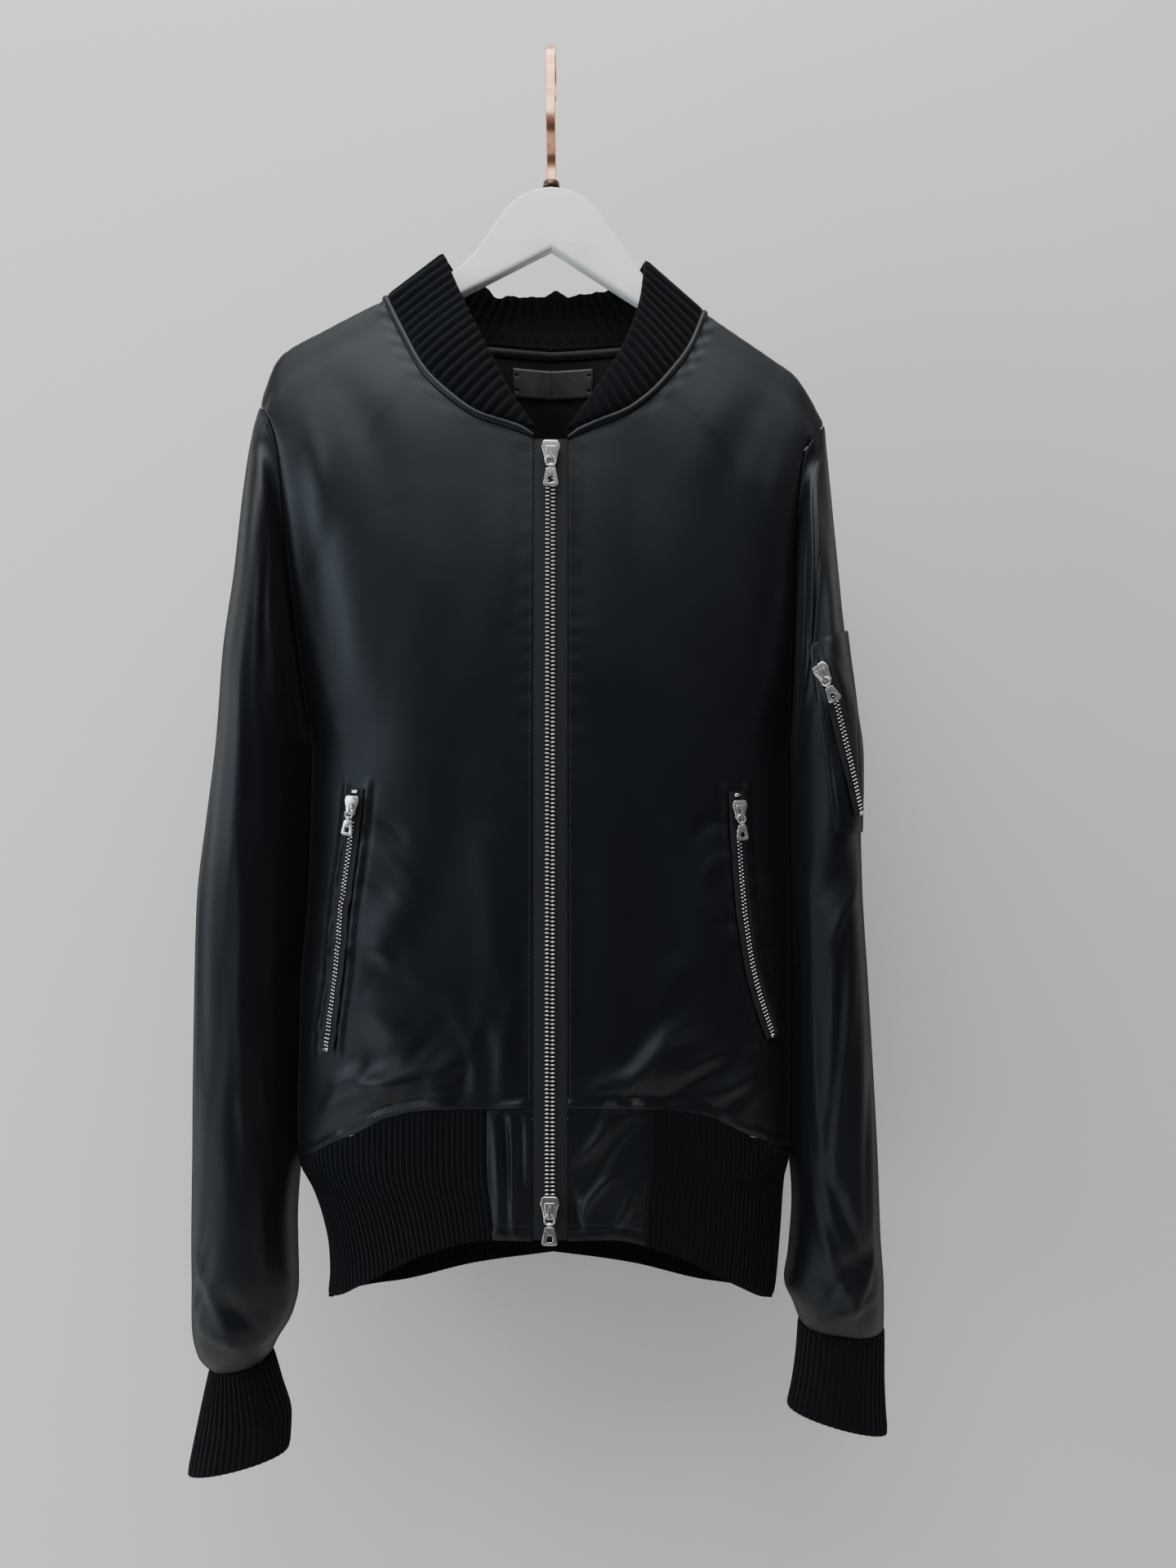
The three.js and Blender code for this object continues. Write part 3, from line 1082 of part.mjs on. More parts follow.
function hanger() {
  const half = (side) => {
    const end = hangerBoard.endX[side];
    const seated = steps(6).map((t) => mix(HANGER_SEATED, end, t))
      .map((x) => [x, shoulderLine[side](x) - hangerBoard.seat]);
    const tipZ = seated[seated.length - 1][1] - 7;
    const lower = (x) => hangerNotch.apexZ - hangerNotch.slope[side] * x;
    const crown = hangerTopRows[side].slice(1).map(({ x, z }) => [x, z]);
    return [...crown, ...seated, [end + 1.5, tipZ], [end - 4, lower(end) + 6], [end - 14, lower(end - 14)]];
  };
  const right = half("right").map(([x, z]) => [-x, z]).reverse();
  const shape = shapeOf([[0, hangerTopRows.left[0].z], ...half("left"), [0, hangerNotch.apexZ], ...right]);
  const inset = hangerBoard.round;
  const geometry = new THREE.ExtrudeGeometry(shape, {
    depth: hangerBoard.thickness - 2 * inset, bevelEnabled: true, bevelSegments: 2,
    bevelThickness: inset, bevelSize: inset * 0.7, bevelOffset: -inset * 0.7,
  });
  geometry.translate(0, 0, -(hangerBoard.thickness - 2 * inset) / 2);
  geometry.rotateX(Math.PI / 2);
  return geometry;
}

const hookStrip = { width: 6.6, thickness: 3, inner: 15 };
const ferrule = { radius: 6.2, height: 5, bottom: -96.7 };

// The strip's middle line, seen from the side as y and z: up from the ferrule, out and over the rail.
function hookLine() {
  const radius = hookStrip.inner + hookStrip.thickness / 2;
  const points = [[0, ferrule.bottom + ferrule.height + 0.3], [0, -80], [-1.5, -75], [-9, -67], [-15, -60.5],
    [-radius, -54], [-radius, -hookStrip.inner]];
  for (let degrees = 165; degrees >= -35; degrees -= 20) {
    const angle = (degrees * Math.PI) / 180;
    points.push([radius * Math.cos(angle), -hookStrip.inner + radius * Math.sin(angle)]);
  }
  return points;
}

function hook() {
  const line = hookLine();
  const half = hookStrip.thickness / 2;
  const edge = (sign) => line.map(([y, z], i) => {
    const [before, after] = [line[Math.max(i - 1, 0)], line[Math.min(i + 1, line.length - 1)]];
    const [dy, dz] = [after[0] - before[0], after[1] - before[1]];
    const length = Math.hypot(dy, dz);
    return [y - (sign * half * dz) / length, z + (sign * half * dy) / length];
  });
  return band(shapeOf([...edge(1), ...edge(-1).reverse()]), hookStrip.width);
}

function ferruleCap() {
  const geometry = new THREE.CylinderGeometry(ferrule.radius * 0.86, ferrule.radius, ferrule.height, 16);
  geometry.rotateX(Math.PI / 2);
  geometry.translate(0, 0, ferrule.bottom + ferrule.height / 2);
  return geometry;
}

// Materials and the finished group

const finish = (color, roughness, metalness = 0) =>
  new THREE.MeshStandardMaterial({ color, roughness, metalness });
const satin = finish(0x17191d, 0.42);
const knit = finish(0x0f141a, 0.9);
const tape = finish(0x101215, 0.85);
const leather = finish(0x0c0c0d, 0.55);
const steel = finish(0xc9c9c6, 0.28, 1);
const paint = finish(0xd9dad6, 0.45);
const copper = finish(0xc08a72, 0.3, 1);
const bronze = finish(0x4a3428, 0.5, 0.6);

const jacket = new THREE.Group();
function add(name, geometry, material, parent = jacket) {
  const mesh = new THREE.Mesh(geometry, material);
  mesh.name = name;
  parent.add(mesh);
}

for (const side of SIDES) {
  add(`front_${side}`, frontPanel(side), satin);
  add(`sleeve_${side}`, sleeve(side), satin);
  add(`cuff_${side}`, cuff(side), knit);
  add(`hem_panel_${side}`, hemPanel(side), satin);
  add(`front_zip_${side}`, frontZipHalf(side), tape);
  add(`pocket_zip_${side}`, shortZip(pocketMiddle(side), 9, zipLift.pocket), tape);
  add(`cuff_zip_${side}`, shortZip(cuffMiddle(side), 3, zipLift.cuff), tape);
}
add("back", backPanel(), satin);
add("collar", collar(), knit);
add("hem_rib", hemRib(), knit);
add("neck_binding", neckBinding(), satin);
add("neck_facing", neckFacing(), satin);
add("neck_label", neckLabel(), leather);
add("sleeve_pocket", sleevePocket(), satin);
add("sleeve_zip", shortZip(sleeveMiddle, 8, zipLift.sleeve), tape);

for (const [name, { frame, bead = smallZip.bead, size }] of Object.entries(sliders)) {
  const seat = new THREE.Group();
  seat.applyMatrix4(frame);
  seat.scale.setScalar(size);
  add(`slider_${name}`, slider(bead / size), steel, seat);
  const pull = new THREE.Group();
  pull.name = `pull_${name}`;
  pull.position.set(0, -hingeDepth(bead / size), hingeHeight);
  add(`ring_${name}`, pullRing(), steel, pull);
  add(`tab_${name}`, pullTab(), steel, pull);
  seat.add(pull);
  jacket.add(seat);
}

add("hanger", hanger(), paint);
add("ferrule", ferruleCap(), bronze);
add("hook", hook(), copper);

export default jacket;
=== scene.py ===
"""Dresses a satin bomber jacket on its hanger: cloth, rib knit, zips and studio.

Sizes are in millimetres, +Z up, the jacket's front towards -Y and +X the wearer's left.
The origin is the inner top of the hook. Meshes are turned into metres when they are made.
"""

import json
import logging
import math
from dataclasses import dataclass, field
from enum import Enum
from typing import Callable, Sequence

import bmesh
import bpy
import numpy as np
from mathutils import Matrix, Vector

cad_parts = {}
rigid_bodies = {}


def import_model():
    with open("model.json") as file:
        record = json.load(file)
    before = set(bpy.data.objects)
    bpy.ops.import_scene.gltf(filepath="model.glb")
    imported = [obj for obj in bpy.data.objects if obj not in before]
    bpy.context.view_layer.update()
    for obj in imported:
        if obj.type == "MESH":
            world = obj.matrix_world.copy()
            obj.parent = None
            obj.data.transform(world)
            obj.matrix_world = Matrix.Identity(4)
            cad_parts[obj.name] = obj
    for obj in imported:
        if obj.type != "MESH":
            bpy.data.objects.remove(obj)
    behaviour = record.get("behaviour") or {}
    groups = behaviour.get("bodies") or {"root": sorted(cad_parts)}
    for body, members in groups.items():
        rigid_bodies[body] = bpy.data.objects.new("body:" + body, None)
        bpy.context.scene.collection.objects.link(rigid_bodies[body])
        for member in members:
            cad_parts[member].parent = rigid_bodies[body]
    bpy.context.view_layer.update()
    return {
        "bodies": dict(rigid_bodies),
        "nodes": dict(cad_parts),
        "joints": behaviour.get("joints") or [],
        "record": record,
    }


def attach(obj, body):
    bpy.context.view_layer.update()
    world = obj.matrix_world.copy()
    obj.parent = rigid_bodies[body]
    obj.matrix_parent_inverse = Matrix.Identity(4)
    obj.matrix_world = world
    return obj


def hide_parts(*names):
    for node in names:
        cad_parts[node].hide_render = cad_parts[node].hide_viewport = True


log = logging.getLogger("jacket")

Array = np.ndarray
Rows = tuple[tuple[float, ...], ...]
PlaceFinder = Callable[[Array, Array], tuple[Array, Array]]

MM = 0.001
SATIN = 1.4  # shell and lining together
KNIT = 2.4  # double rib knit
TAPE = 0.9  # zip tape, and strips sewn flat
SEAM_HALF = 0.1  # the dressed pieces close the seams further than the solids do
ZIP_X = 1.0  # the front zip hangs 1 mm off the hanger's middle
FRONT_EDGE = 12.0  # from the zip's middle to each front's folded edge
ROUNDNESS = 2.4  # exponent of the body's section, 2 would be an ellipse
RIDGE_DEPTH = 17.0  # how far the armhole seam stands off the middle plane
UNDERARM_Z = -480.0
ROOT = "root"


class Side(Enum):
    """The wearer's left or right."""

    LEFT = "left"
    RIGHT = "right"

    @property
    def sign(self) -> int:
        """Return +1 on the wearer's left, which is +X."""
        return 1 if self is Side.LEFT else -1


class Face(Enum):
    """The front or the back of the jacket."""

    FRONT = -1
    BACK = 1


# The middle of each front pocket's zip, x and z, downwards
POCKET_ROWS: dict[Side, Rows] = {
    Side.LEFT: ((126.6, -528), (128.5, -570), (131.5, -608), (137.5, -648), (146, -678), (152, -696)),
    Side.RIGHT: ((-130.7, -526), (-134.5, -565), (-140.5, -608), (-144.5, -655), (-149.5, -690),
                 (-151, -704)),
}


# Curves and creases


def mix(a: Array | float, b: Array | float, t: Array | float) -> Array | float:
    """Return the value a share t of the way from a to b."""
    return a + (b - a) * t


def spread(x: Array, reach: float = 26.0) -> Array:
    """Return the distance from the middle, rounded off near it so that both halves meet softly."""
    far = np.abs(x)
    return np.where(far < reach, x * x / (2 * reach) + reach / 2, far)


def smooth(t: Array) -> Array:
    """Return a soft step from 0 to 1."""
    held = np.clip(t, 0, 1)
    return held * held * (3 - 2 * held)


class Curve:
    """A smooth function through the rows of a table, with no overshoot, level past both ends."""

    def __init__(self, rows: Rows) -> None:
        """Fit the curve.

        Args:
            rows: pairs of key and value, in any order.
        """
        ordered = np.array(sorted(rows), float)
        self.at, self.value = ordered[:, 0], ordered[:, 1]
        slope = np.diff(self.value) / np.diff(self.at)
        before, after = slope[:-1], slope[1:]
        total = np.where(before * after > 0, before + after, 1)
        inner = np.where(before * after > 0, 2 * before * after / total, 0)
        self.tangent = np.concatenate([slope[:1], inner, slope[-1:]])

    def __call__(self, x: Array | float) -> Array:
        """Return the curve's value at each x."""
        held = np.clip(x, self.at[0], self.at[-1])
        i = np.clip(np.searchsorted(self.at, held) - 1, 0, len(self.at) - 2)
        width = self.at[i + 1] - self.at[i]
        t = (held - self.at[i]) / width
        t2, t3 = t * t, t * t * t
        return ((2 * t3 - 3 * t2 + 1) * self.value[i] + (t3 - 2 * t2 + t) * width * self.tangent[i]
                + (3 * t2 - 2 * t3) * self.value[i + 1] + (t3 - t2) * width * self.tangent[i + 1])


@dataclass(frozen=True)
class Crease:
    """One fold of the cloth: a crest from one point to another, and how it swells across it."""

    x1: float
    z1: float
    x2: float
    z2: float
    width: float
    height: float
    bow: float = 0.0  # how far the crest bends sideways at its middle
    ends: float = 0.35  # share of the height that is left at its ends

    def lift(self, x: Array, z: Array) -> Array:
        """Return the height that this fold adds at each point.

        Args:
            x: first coordinate of the points.
            z: second coordinate of the points.

        Returns:
            The heights, in millimetres.
        """
        dx, dz = self.x2 - self.x1, self.z2 - self.z1
        length = math.hypot(dx, dz)
        along = np.clip(((x - self.x1) * dx + (z - self.z1) * dz) / length**2, 0, 1)
        bend = 4 * along * (1 - along) * self.bow / length
        away = np.hypot(x - self.x1 - along * dx + bend * dz, z - self.z1 - along * dz - bend * dx)
        taper = self.ends + (1 - self.ends) * np.sin(np.pi * along)
        return self.height * taper * np.exp(-((away / self.width) ** 2))


def creased(creases: Sequence[Crease], x: Array, z: Array) -> Array:
    """Return the height that a list of folds adds at each point."""
    total = np.zeros(np.broadcast(x, z).shape)
    for crease in creases:
        total += crease.lift(x, z)
    return total


def ripple(x: Array, z: Array, size: float, seed: int) -> Array:
    """Return a soft uneven swell between about -1 and 1, the same on each run.

    Args:
        x: first coordinate of the points.
        z: second coordinate of the points.
        size: distance between the swells, in the points' own unit.
        seed: picks another pattern.

    Returns:
        The swell at each point.
    """
    rng = np.random.default_rng(seed)
    total = np.zeros(np.broadcast(x, z).shape)
    for _ in range(7):
        angle, phase, stretch = rng.uniform(0, math.tau), rng.uniform(0, math.tau), rng.uniform(0.6, 1.6)
        wave = math.tau / (size * stretch)
        total += np.sin(wave * (x * math.cos(angle) + z * math.sin(angle)) + phase)
    return total / 3.5


# The forms that the cloth follows


@dataclass
class BodyForm:
    """The outer face of the body, as a stand-off from the middle plane seen from the front."""

    shoulder: dict[Side, Rows] = field(default_factory=lambda: {
        Side.LEFT: ((0, -114.5), (111.7, -188.4), (131.6, -202), (160.9, -222), (172.6, -230.5), (183, -245),
                    (192, -262), (194.8, -267)),
        Side.RIGHT: ((0, -114.5), (120.5, -178), (160.9, -199), (190, -215.5), (196, -223), (202, -238),
                     (207, -254)),
    })
    outline: dict[Side, Rows] = field(default_factory=lambda: {
        Side.LEFT: ((-267, 194.8), (-273, 190), (-283, 182), (-291, 178.4), (-306, 175.5), (-336, 172.6),
                    (-371, 170.6), (-429, 170.4), (-480, 170.4), (-500, 168.5), (-550, 169), (-660, 170.5),
                    (-720, 170), (-770, 169.6), (-784, 169), (-801, 165), (-833, 162.6), (-865, 160),
                    (-885, 158), (-905, 157)),
        Side.RIGHT: ((-254, 207), (-266, 199), (-283, 193), (-301, 190), (-324, 188), (-371, 183.7),
                     (-429, 177.8), (-480, 173), (-500, 170), (-550, 171), (-600, 173), (-660, 177.5),
                     (-720, 179.5), (-775, 180), (-788, 178), (-807, 168), (-827, 161), (-851, 156.5),
                     (-868, 156), (-890, 159), (-905, 160)),
    })
    depth: dict[Face, Rows] = field(default_factory=lambda: {
        Face.FRONT: ((0, 0), (1, 4.9), (3.2, 8), (9, 10.4), (22, 13.5), (41, 20), (80, 33), (121, 41),
                     (160, 45), (250, 53), (350, 58), (470, 61), (620, 63), (680, 60), (760, 58)),
        Face.BACK: ((0, 0), (1, 4.9), (3.2, 8), (9, 10.4), (30, 14.5), (60, 18.5), (90, 22.5), (150, 35),
                    (250, 48), (400, 55), (600, 53), (680, 47), (790, 42)),
    })
    armhole_top: dict[Side, float] = field(default_factory=lambda: {Side.LEFT: -267.0, Side.RIGHT: -254.0})
    creases: dict[Face, tuple[Crease, ...]] = field(default_factory=lambda: {
        Face.FRONT: (
            # The main folds, which the solids have too.
            Crease(-40, -560, -28, -733, 11, 3), Crease(-150, -735, -70, -712, 14, 5),
            Crease(-95, -600, -122, -640, 14, 3), Crease(-128, -668, -95, -690, 14, 3),
            Crease(40, -726, 105, -700, 14, 5), Crease(45, -480, 95, -690, 22, -4),
            Crease(118, -728, 142, -722, 12, 3), Crease(95, -590, 110, -640, 13, 3),
            Crease(-166, -330, -150, -470, 14, -5), Crease(160, -330, 148, -460, 13, -5),
            # Cloth pushed up above the hem seam.
            Crease(-158, -752, -96, -722, 6, 2.4, 8), Crease(-120, -728, -62, -705, 7, 2.2, -5),
            Crease(-60, -735, -44, -690, 5, -2.2, 3), Crease(-48, -733, -66, -668, 5.5, 1.8, -6),
            Crease(-30, -735, -22, -660, 4.5, 1.7, 3), Crease(-90, -738, -70, -700, 6, -1.8, 4),
            Crease(20, -735, 58, -716, 5, 2.3, 4), Crease(52, -728, 100, -694, 6, 2.4, 9),
            Crease(74, -738, 118, -716, 5.5, -2.2, 4), Crease(30, -722, 66, -690, 6, -1.6, -6),
            Crease(104, -733, 150, -708, 5.5, 2.2, -6), Crease(128, -748, 160, -726, 5, 1.8, 3),
            Crease(-140, -740, -116, -704, 6, -1.9, -4), Crease(-18, -728, -16, -610, 4, -1.2, 1.5),
            # Beside the pockets, where the zips pull the cloth.
            Crease(-118, -548, -96, -566, 5, -1.8, 3), Crease(-116, -566, -88, -592, 6, 1.7, 4),
            Crease(-124, -590, -104, -602, 4.5, -1.5, 2), Crease(-152, -592, -136, -610, 5, 1.9, 2),
            Crease(-158, -624, -142, -634, 4.5, 1.7, 2), Crease(-160, -652, -146, -668, 5, -1.8, 2),
            Crease(-164, -686, -148, -700, 5, 1.8, 2), Crease(-124, -632, -104, -648, 6, 1.5, 4),
            Crease(118, -546, 98, -560, 5, -1.7, -3), Crease(122, -570, 104, -590, 5, 1.5, -3),
            Crease(128, -610, 112, -618, 4.5, -1.3, 2), Crease(148, -640, 162, -652, 5, 1.6, 2),
            Crease(140, -590, 158, -604, 5, 1.4, 2), Crease(150, -668, 164, -684, 5, 1.5, 2),
            # The drop of the chest and the pull from the shoulders and the neck.
            Crease(-150, -240, -112, -330, 15, -1.6, 8), Crease(-170, -268, -160, -360, 9, 2, 4),
            Crease(150, -252, 118, -344, 14, -1.5, -8), Crease(166, -286, 154, -372, 9, 1.9, -4),
            Crease(-30, -318, -56, -470, 18, 1.3, 7), Crease(34, -322, 66, -470, 18, 1.2, -7),
            Crease(-88, -330, -104, -520, 20, 1.2, 6), Crease(98, -360, 112, -520, 20, 1.1, -6),
            Crease(-20, -300, -24, -420, 5, -1.1, 1), Crease(22, -300, 25, -410, 5, -1.1, -1),
            Crease(-60, -480, -78, -640, 16, -1.6, 6), Crease(30, -520, 44, -690, 9, 1.6, 4),
            Crease(-158, -420, -140, -500, 9, 1.8, -4), Crease(156, -410, 140, -500, 9, 1.7, 4),
            Crease(20, -560, 22, -700, 5, -1.1, 1),
            Crease(-152, -742, -128, -716, 4, 2.2, 4), Crease(-134, -722, -96, -716, 4.5, 2.4, -3),
            Crease(-108, -738, -84, -722, 4, -2, 3), Crease(-92, -716, -72, -688, 5, -1.9, 4),
            Crease(-78, -736, -60, -728, 4, 1.9, 2), Crease(-56, -712, -46, -672, 4, 2, -3),
            Crease(48, -738, 70, -728, 4, -1.9, 3), Crease(64, -712, 92, -682, 5, 2.2, 5),
            Crease(88, -722, 124, -704, 4, 2.1, 4), Crease(110, -746, 132, -728, 4, -2, -3),
            Crease(132, -712, 158, -700, 4.5, 1.9, 3), Crease(76, -668, 104, -640, 9, 1.5, 6),
            Crease(-70, -660, -100, -628, 9, 1.5, 6), Crease(-24, -690, -38, -640, 6, -1.4, 2),
        ),
        Face.BACK: (
            Crease(-150, -300, -60, -420, 18, -4), Crease(150, -310, 70, -440, 18, -4),
            Crease(-120, -745, -20, -728, 14, 5), Crease(20, -740, 130, -722, 13, 5),
            Crease(-90, -560, -40, -690, 16, 3), Crease(60, -540, 95, -680, 16, 3),
            Crease(-158, -765, -104, -744, 6, 2.2, 7), Crease(-84, -768, -46, -738, 6, -2, 5),
            Crease(-30, -768, 20, -744, 6, 2.1, 7), Crease(36, -770, 70, -742, 5.5, -1.9, -5),
            Crease(96, -768, 150, -744, 6, 2.2, 6), Crease(-120, -770, -96, -720, 5.5, 1.8, 4),
            Crease(60, -768, 84, -716, 6, 1.7, -5), Crease(-14, -250, -8, -400, 16, 1.6, 6),
            Crease(-120, -260, -92, -360, 13, 1.7, -8), Crease(126, -270, 96, -372, 13, 1.6, 8),
            Crease(-40, -430, -66, -600, 18, -1.7, 6), Crease(24, -420, 44, -600, 17, 1.6, -6),
            Crease(-150, -420, -128, -560, 11, 1.7, -6), Crease(148, -430, 126, -560, 11, -1.6, 6),
            Crease(-140, -600, -120, -700, 10, 1.8, 5), Crease(130, -610, 112, -716, 10, 1.7, -5),
            Crease(-8, -640, 6, -742, 8, -1.7, 4), Crease(-60, -690, -30, -716, 7, 1.6, 4),
        ),
    })

    def __post_init__(self) -> None:
        """Turn the tables into curves."""
        self.shoulder_line = {side: Curve(rows) for side, rows in self.shoulder.items()}
        self.half_width = {side: Curve(rows) for side, rows in self.outline.items()}
        self.depth_line = {face: Curve(rows) for face, rows in self.depth.items()}

    def armhole_depth(self, side: Side, z: Array) -> Array:
        """Return how far the armhole seam stands off the middle plane at a height."""
        top = self.armhole_top[side]
        share = np.clip((top - z) / (top - UNDERARM_Z), 0.5, 1)
        return RIDGE_DEPTH * np.abs(np.sin(np.pi * share)) ** 0.8

    def _one_side(self, side: Side, face: Face, x: Array, z: Array) -> Array:
        """Return the stand-off of points that are all on one side, without folds."""
        deepest = self.depth_line[face](self.shoulder_line[side](spread(x)) - z)
        edge = np.minimum(self.armhole_depth(side, z), deepest)
        share = np.minimum(np.abs(x) / self.half_width[side](z), 1)
        across = (1 - share**ROUNDNESS) ** (1 / ROUNDNESS)
        return edge + (deepest - edge) * across

    def stand_off(self, face: Face, x: Array, z: Array) -> Array:
        """Return how far the outer face stands off the middle plane.

        Args:
            face: front or back.
            x: places across, seen from the front.
            z: heights.

        Returns:
            The distances, in millimetres.
        """
        x, z = np.broadcast_arrays(np.asarray(x, float), np.asarray(z, float))
        plain = np.where(x >= 0, self._one_side(Side.LEFT, face, x, z),
                         self._one_side(Side.RIGHT, face, x, z))
        share = np.minimum(np.abs(x) / np.where(x >= 0, self.half_width[Side.LEFT](z),
                                                self.half_width[Side.RIGHT](z)), 1)
        across = (1 - share**ROUNDNESS) ** (1 / ROUNDNESS)
        line = np.where(x >= 0, self.shoulder_line[Side.LEFT](np.abs(x)),
                        self.shoulder_line[Side.RIGHT](np.abs(x)))
        folds = creased(self.creases[face], x, z) + 0.5 * ripple(x, 0.6 * z, 70, 3 + face.value)
        return plain + folds * np.minimum(1, 1.4 * across) * smooth((line - z) / 60)

    def points(self, face: Face, x: Array, z: Array) -> Array:
        """Return points on the outer face at places seen from the front."""
        x, z = np.broadcast_arrays(np.asarray(x, float), np.asarray(z, float))
        away = np.maximum(self.stand_off(face, x, z), SEAM_HALF)
        return np.stack([x, face.value * away, z], -1)

    def place(self, face: Face, x: Array, z: Array) -> tuple[Array, Array]:
        """Return points on the outer face and the directions that look out of it."""
        step = 0.5
        x, z = np.broadcast_arrays(np.asarray(x, float), np.asarray(z, float))
        reach = np.where(x >= 0, self.half_width[Side.LEFT](z), self.half_width[Side.RIGHT](z)) - step
        held = np.clip(x, -reach, reach)
        slope_x = (self.stand_off(face, held + step, z) - self.stand_off(face, held - step, z)) / (2 * step)
        slope_z = (self.stand_off(face, held, z + step) - self.stand_off(face, held, z - step)) / (2 * step)
        return self.points(face, x, z), unit(np.stack([-slope_x, np.full(x.shape, float(face.value)),
                                                       -slope_z], -1))


def unit(vectors: Array) -> Array:
    """Return vectors made one long."""
    return vectors / np.maximum(np.linalg.norm(vectors, axis=-1, keepdims=True), 1e-9)


@dataclass
class SleeveForm:
    """The outer face of one sleeve: loops that fan out from the underarm and run down to the cuff."""

    side: Side
    body: BodyForm
    outer: Rows
    inner: Rows
    loops: Rows  # share, height on the outer line, height on the inner line, depth
    creases: tuple[Crease, ...]
    fullness: float = 0.85
    seam_reach: float = 0.06
    fan_reach: float = 0.5
    turn_scale: float = 0.08  # one radian round the sleeve counts as this share of its length

    def __post_init__(self) -> None:
        """Turn the tables into curves."""
        self.outer_x, self.inner_x = Curve(self.outer), Curve(self.inner)
        self.outer_z, self.inner_z, self.depth = (
            Curve(tuple((row[0], row[i]) for row in self.loops)) for i in (1, 2, 3))

    def _chord(self, share: Array, at: Array) -> tuple[Array, Array]:
        """Return the place across one loop, seen from the front."""
        outer_z, inner_z = self.outer_z(at), self.inner_z(at)
        return mix(self.inner_x(inner_z), self.outer_x(outer_z), share), mix(inner_z, outer_z, share)

    def points(self, at: Array, turn: Array) -> Array:
        """Return points of the outer face.

        Args:
            at: shares of the sleeve's length, from the armhole to the cuff.
            turn: angles from the outer line round the front.

        Returns:
            The points, one row of three numbers each.
        """
        at, turn = np.broadcast_arrays(np.asarray(at, float), np.asarray(turn, float))
        share = (1 + np.cos(turn)) / 2
        x, z = self._chord(share, at)
        start_x, start_z = self._chord(share, np.zeros_like(at))
        width = self.body.half_width[self.side](start_z)
        fade = np.maximum(1 - at / self.fan_reach, 0) ** 2
        sine = np.sin(turn)
        full = self.depth(at) * np.abs(sine) ** self.fullness
        front = sine >= 0
        rim = np.where(front, self.body.stand_off(Face.FRONT, self.side.sign * width, start_z),
                       self.body.stand_off(Face.BACK, self.side.sign * width, start_z))
        seam = np.minimum(self.body.armhole_depth(self.side, start_z), rim)
        swell = smooth(at / self.seam_reach)
        folds = creased(self.creases, at, turn * self.turn_scale)
        folds = folds + 0.55 * ripple(at * 700, 60 * np.cos(turn), 80, 11 + self.side.sign)
        away = mix(seam, full, swell) + folds * swell * np.abs(sine) ** 0.7
        across = self.side.sign * (x + fade * (width + SEAM_HALF - start_x))
        return np.stack([across, np.where(front, -1, 1) * away, z], -1)

    def place(self, at: Array, turn: Array) -> tuple[Array, Array]:
        """Return points of the outer face and the directions that look out of it."""
        at, turn = np.broadcast_arrays(np.asarray(at, float), np.asarray(turn, float))
        along = self.points(np.minimum(at + 0.004, 1), turn) - self.points(np.maximum(at - 0.004, 0), turn)
        round_ = self.points(at, turn + 0.02) - self.points(at, turn - 0.02)
        return self.points(at, turn), unit(np.cross(along, round_) * -self.side.sign)

    def at_front(self, x: Array, z: Array) -> tuple[Array, Array]:
        """Return the places of the sleeve's front at points seen from the front.

        Args:
            x: places across.
            z: heights.

        Returns:
            The points, and the directions that look out of the sleeve.
        """
        x, z = np.broadcast_arrays(np.asarray(x, float), np.asarray(z, float))

        def turn_at(at: Array) -> Array:
            return solve(0, math.pi, x, lambda turn: self.side.sign * self.points(at, turn)[..., 0])

        at = solve(0, 1, z, lambda share: self.points(share, turn_at(share))[..., 2])
        return self.place(at, turn_at(at))


def solve(low: float, high: float, level: Array, value: Callable[[Array], Array]) -> Array:
    """Return the numbers in a range at which a falling function reaches given levels."""
    lows, highs = np.full(level.shape, float(low)), np.full(level.shape, float(high))
    for _ in range(20):
        middle = (lows + highs) / 2
        above = value(middle) > level
        lows, highs = np.where(above, middle, lows), np.where(above, highs, middle)
    return lows


@dataclass
class CuffForm:
    """The outer face of one cuff, from the sleeve's seam to its free edge."""

    side: Side
    rows: Rows  # share, outer x, outer z, inner x, inner z, depth
    fullness: float = 0.85

    def __post_init__(self) -> None:
        """Turn the table into curves."""
        self.outer_x, self.outer_z, self.inner_x, self.inner_z, self.depth = (
            Curve(tuple((row[0], row[i]) for row in self.rows)) for i in range(1, 6))

    def points(self, at: Array, turn: Array) -> Array:
        """Return points of the outer face, by share down the cuff and angle round it."""
        at, turn = np.broadcast_arrays(np.asarray(at, float), np.asarray(turn, float))
        share = (1 + np.cos(turn)) / 2
        y = -np.sign(np.sin(turn)) * self.depth(at) * np.abs(np.sin(turn)) ** self.fullness
        x = mix(self.inner_x(at), self.outer_x(at), share)
        return np.stack([self.side.sign * x, y, mix(self.inner_z(at), self.outer_z(at), share)], -1)

    def place(self, at: Array, turn: Array) -> tuple[Array, Array]:
        """Return points of the outer face and the directions that look out of it."""
        along = self.points(np.minimum(at + 0.02, 1), turn) - self.points(np.maximum(at - 0.02, 0), turn)
        round_ = self.points(at, turn + 0.02) - self.points(at, turn - 0.02)
        return self.points(at, turn), unit(np.cross(along, round_) * -self.side.sign)


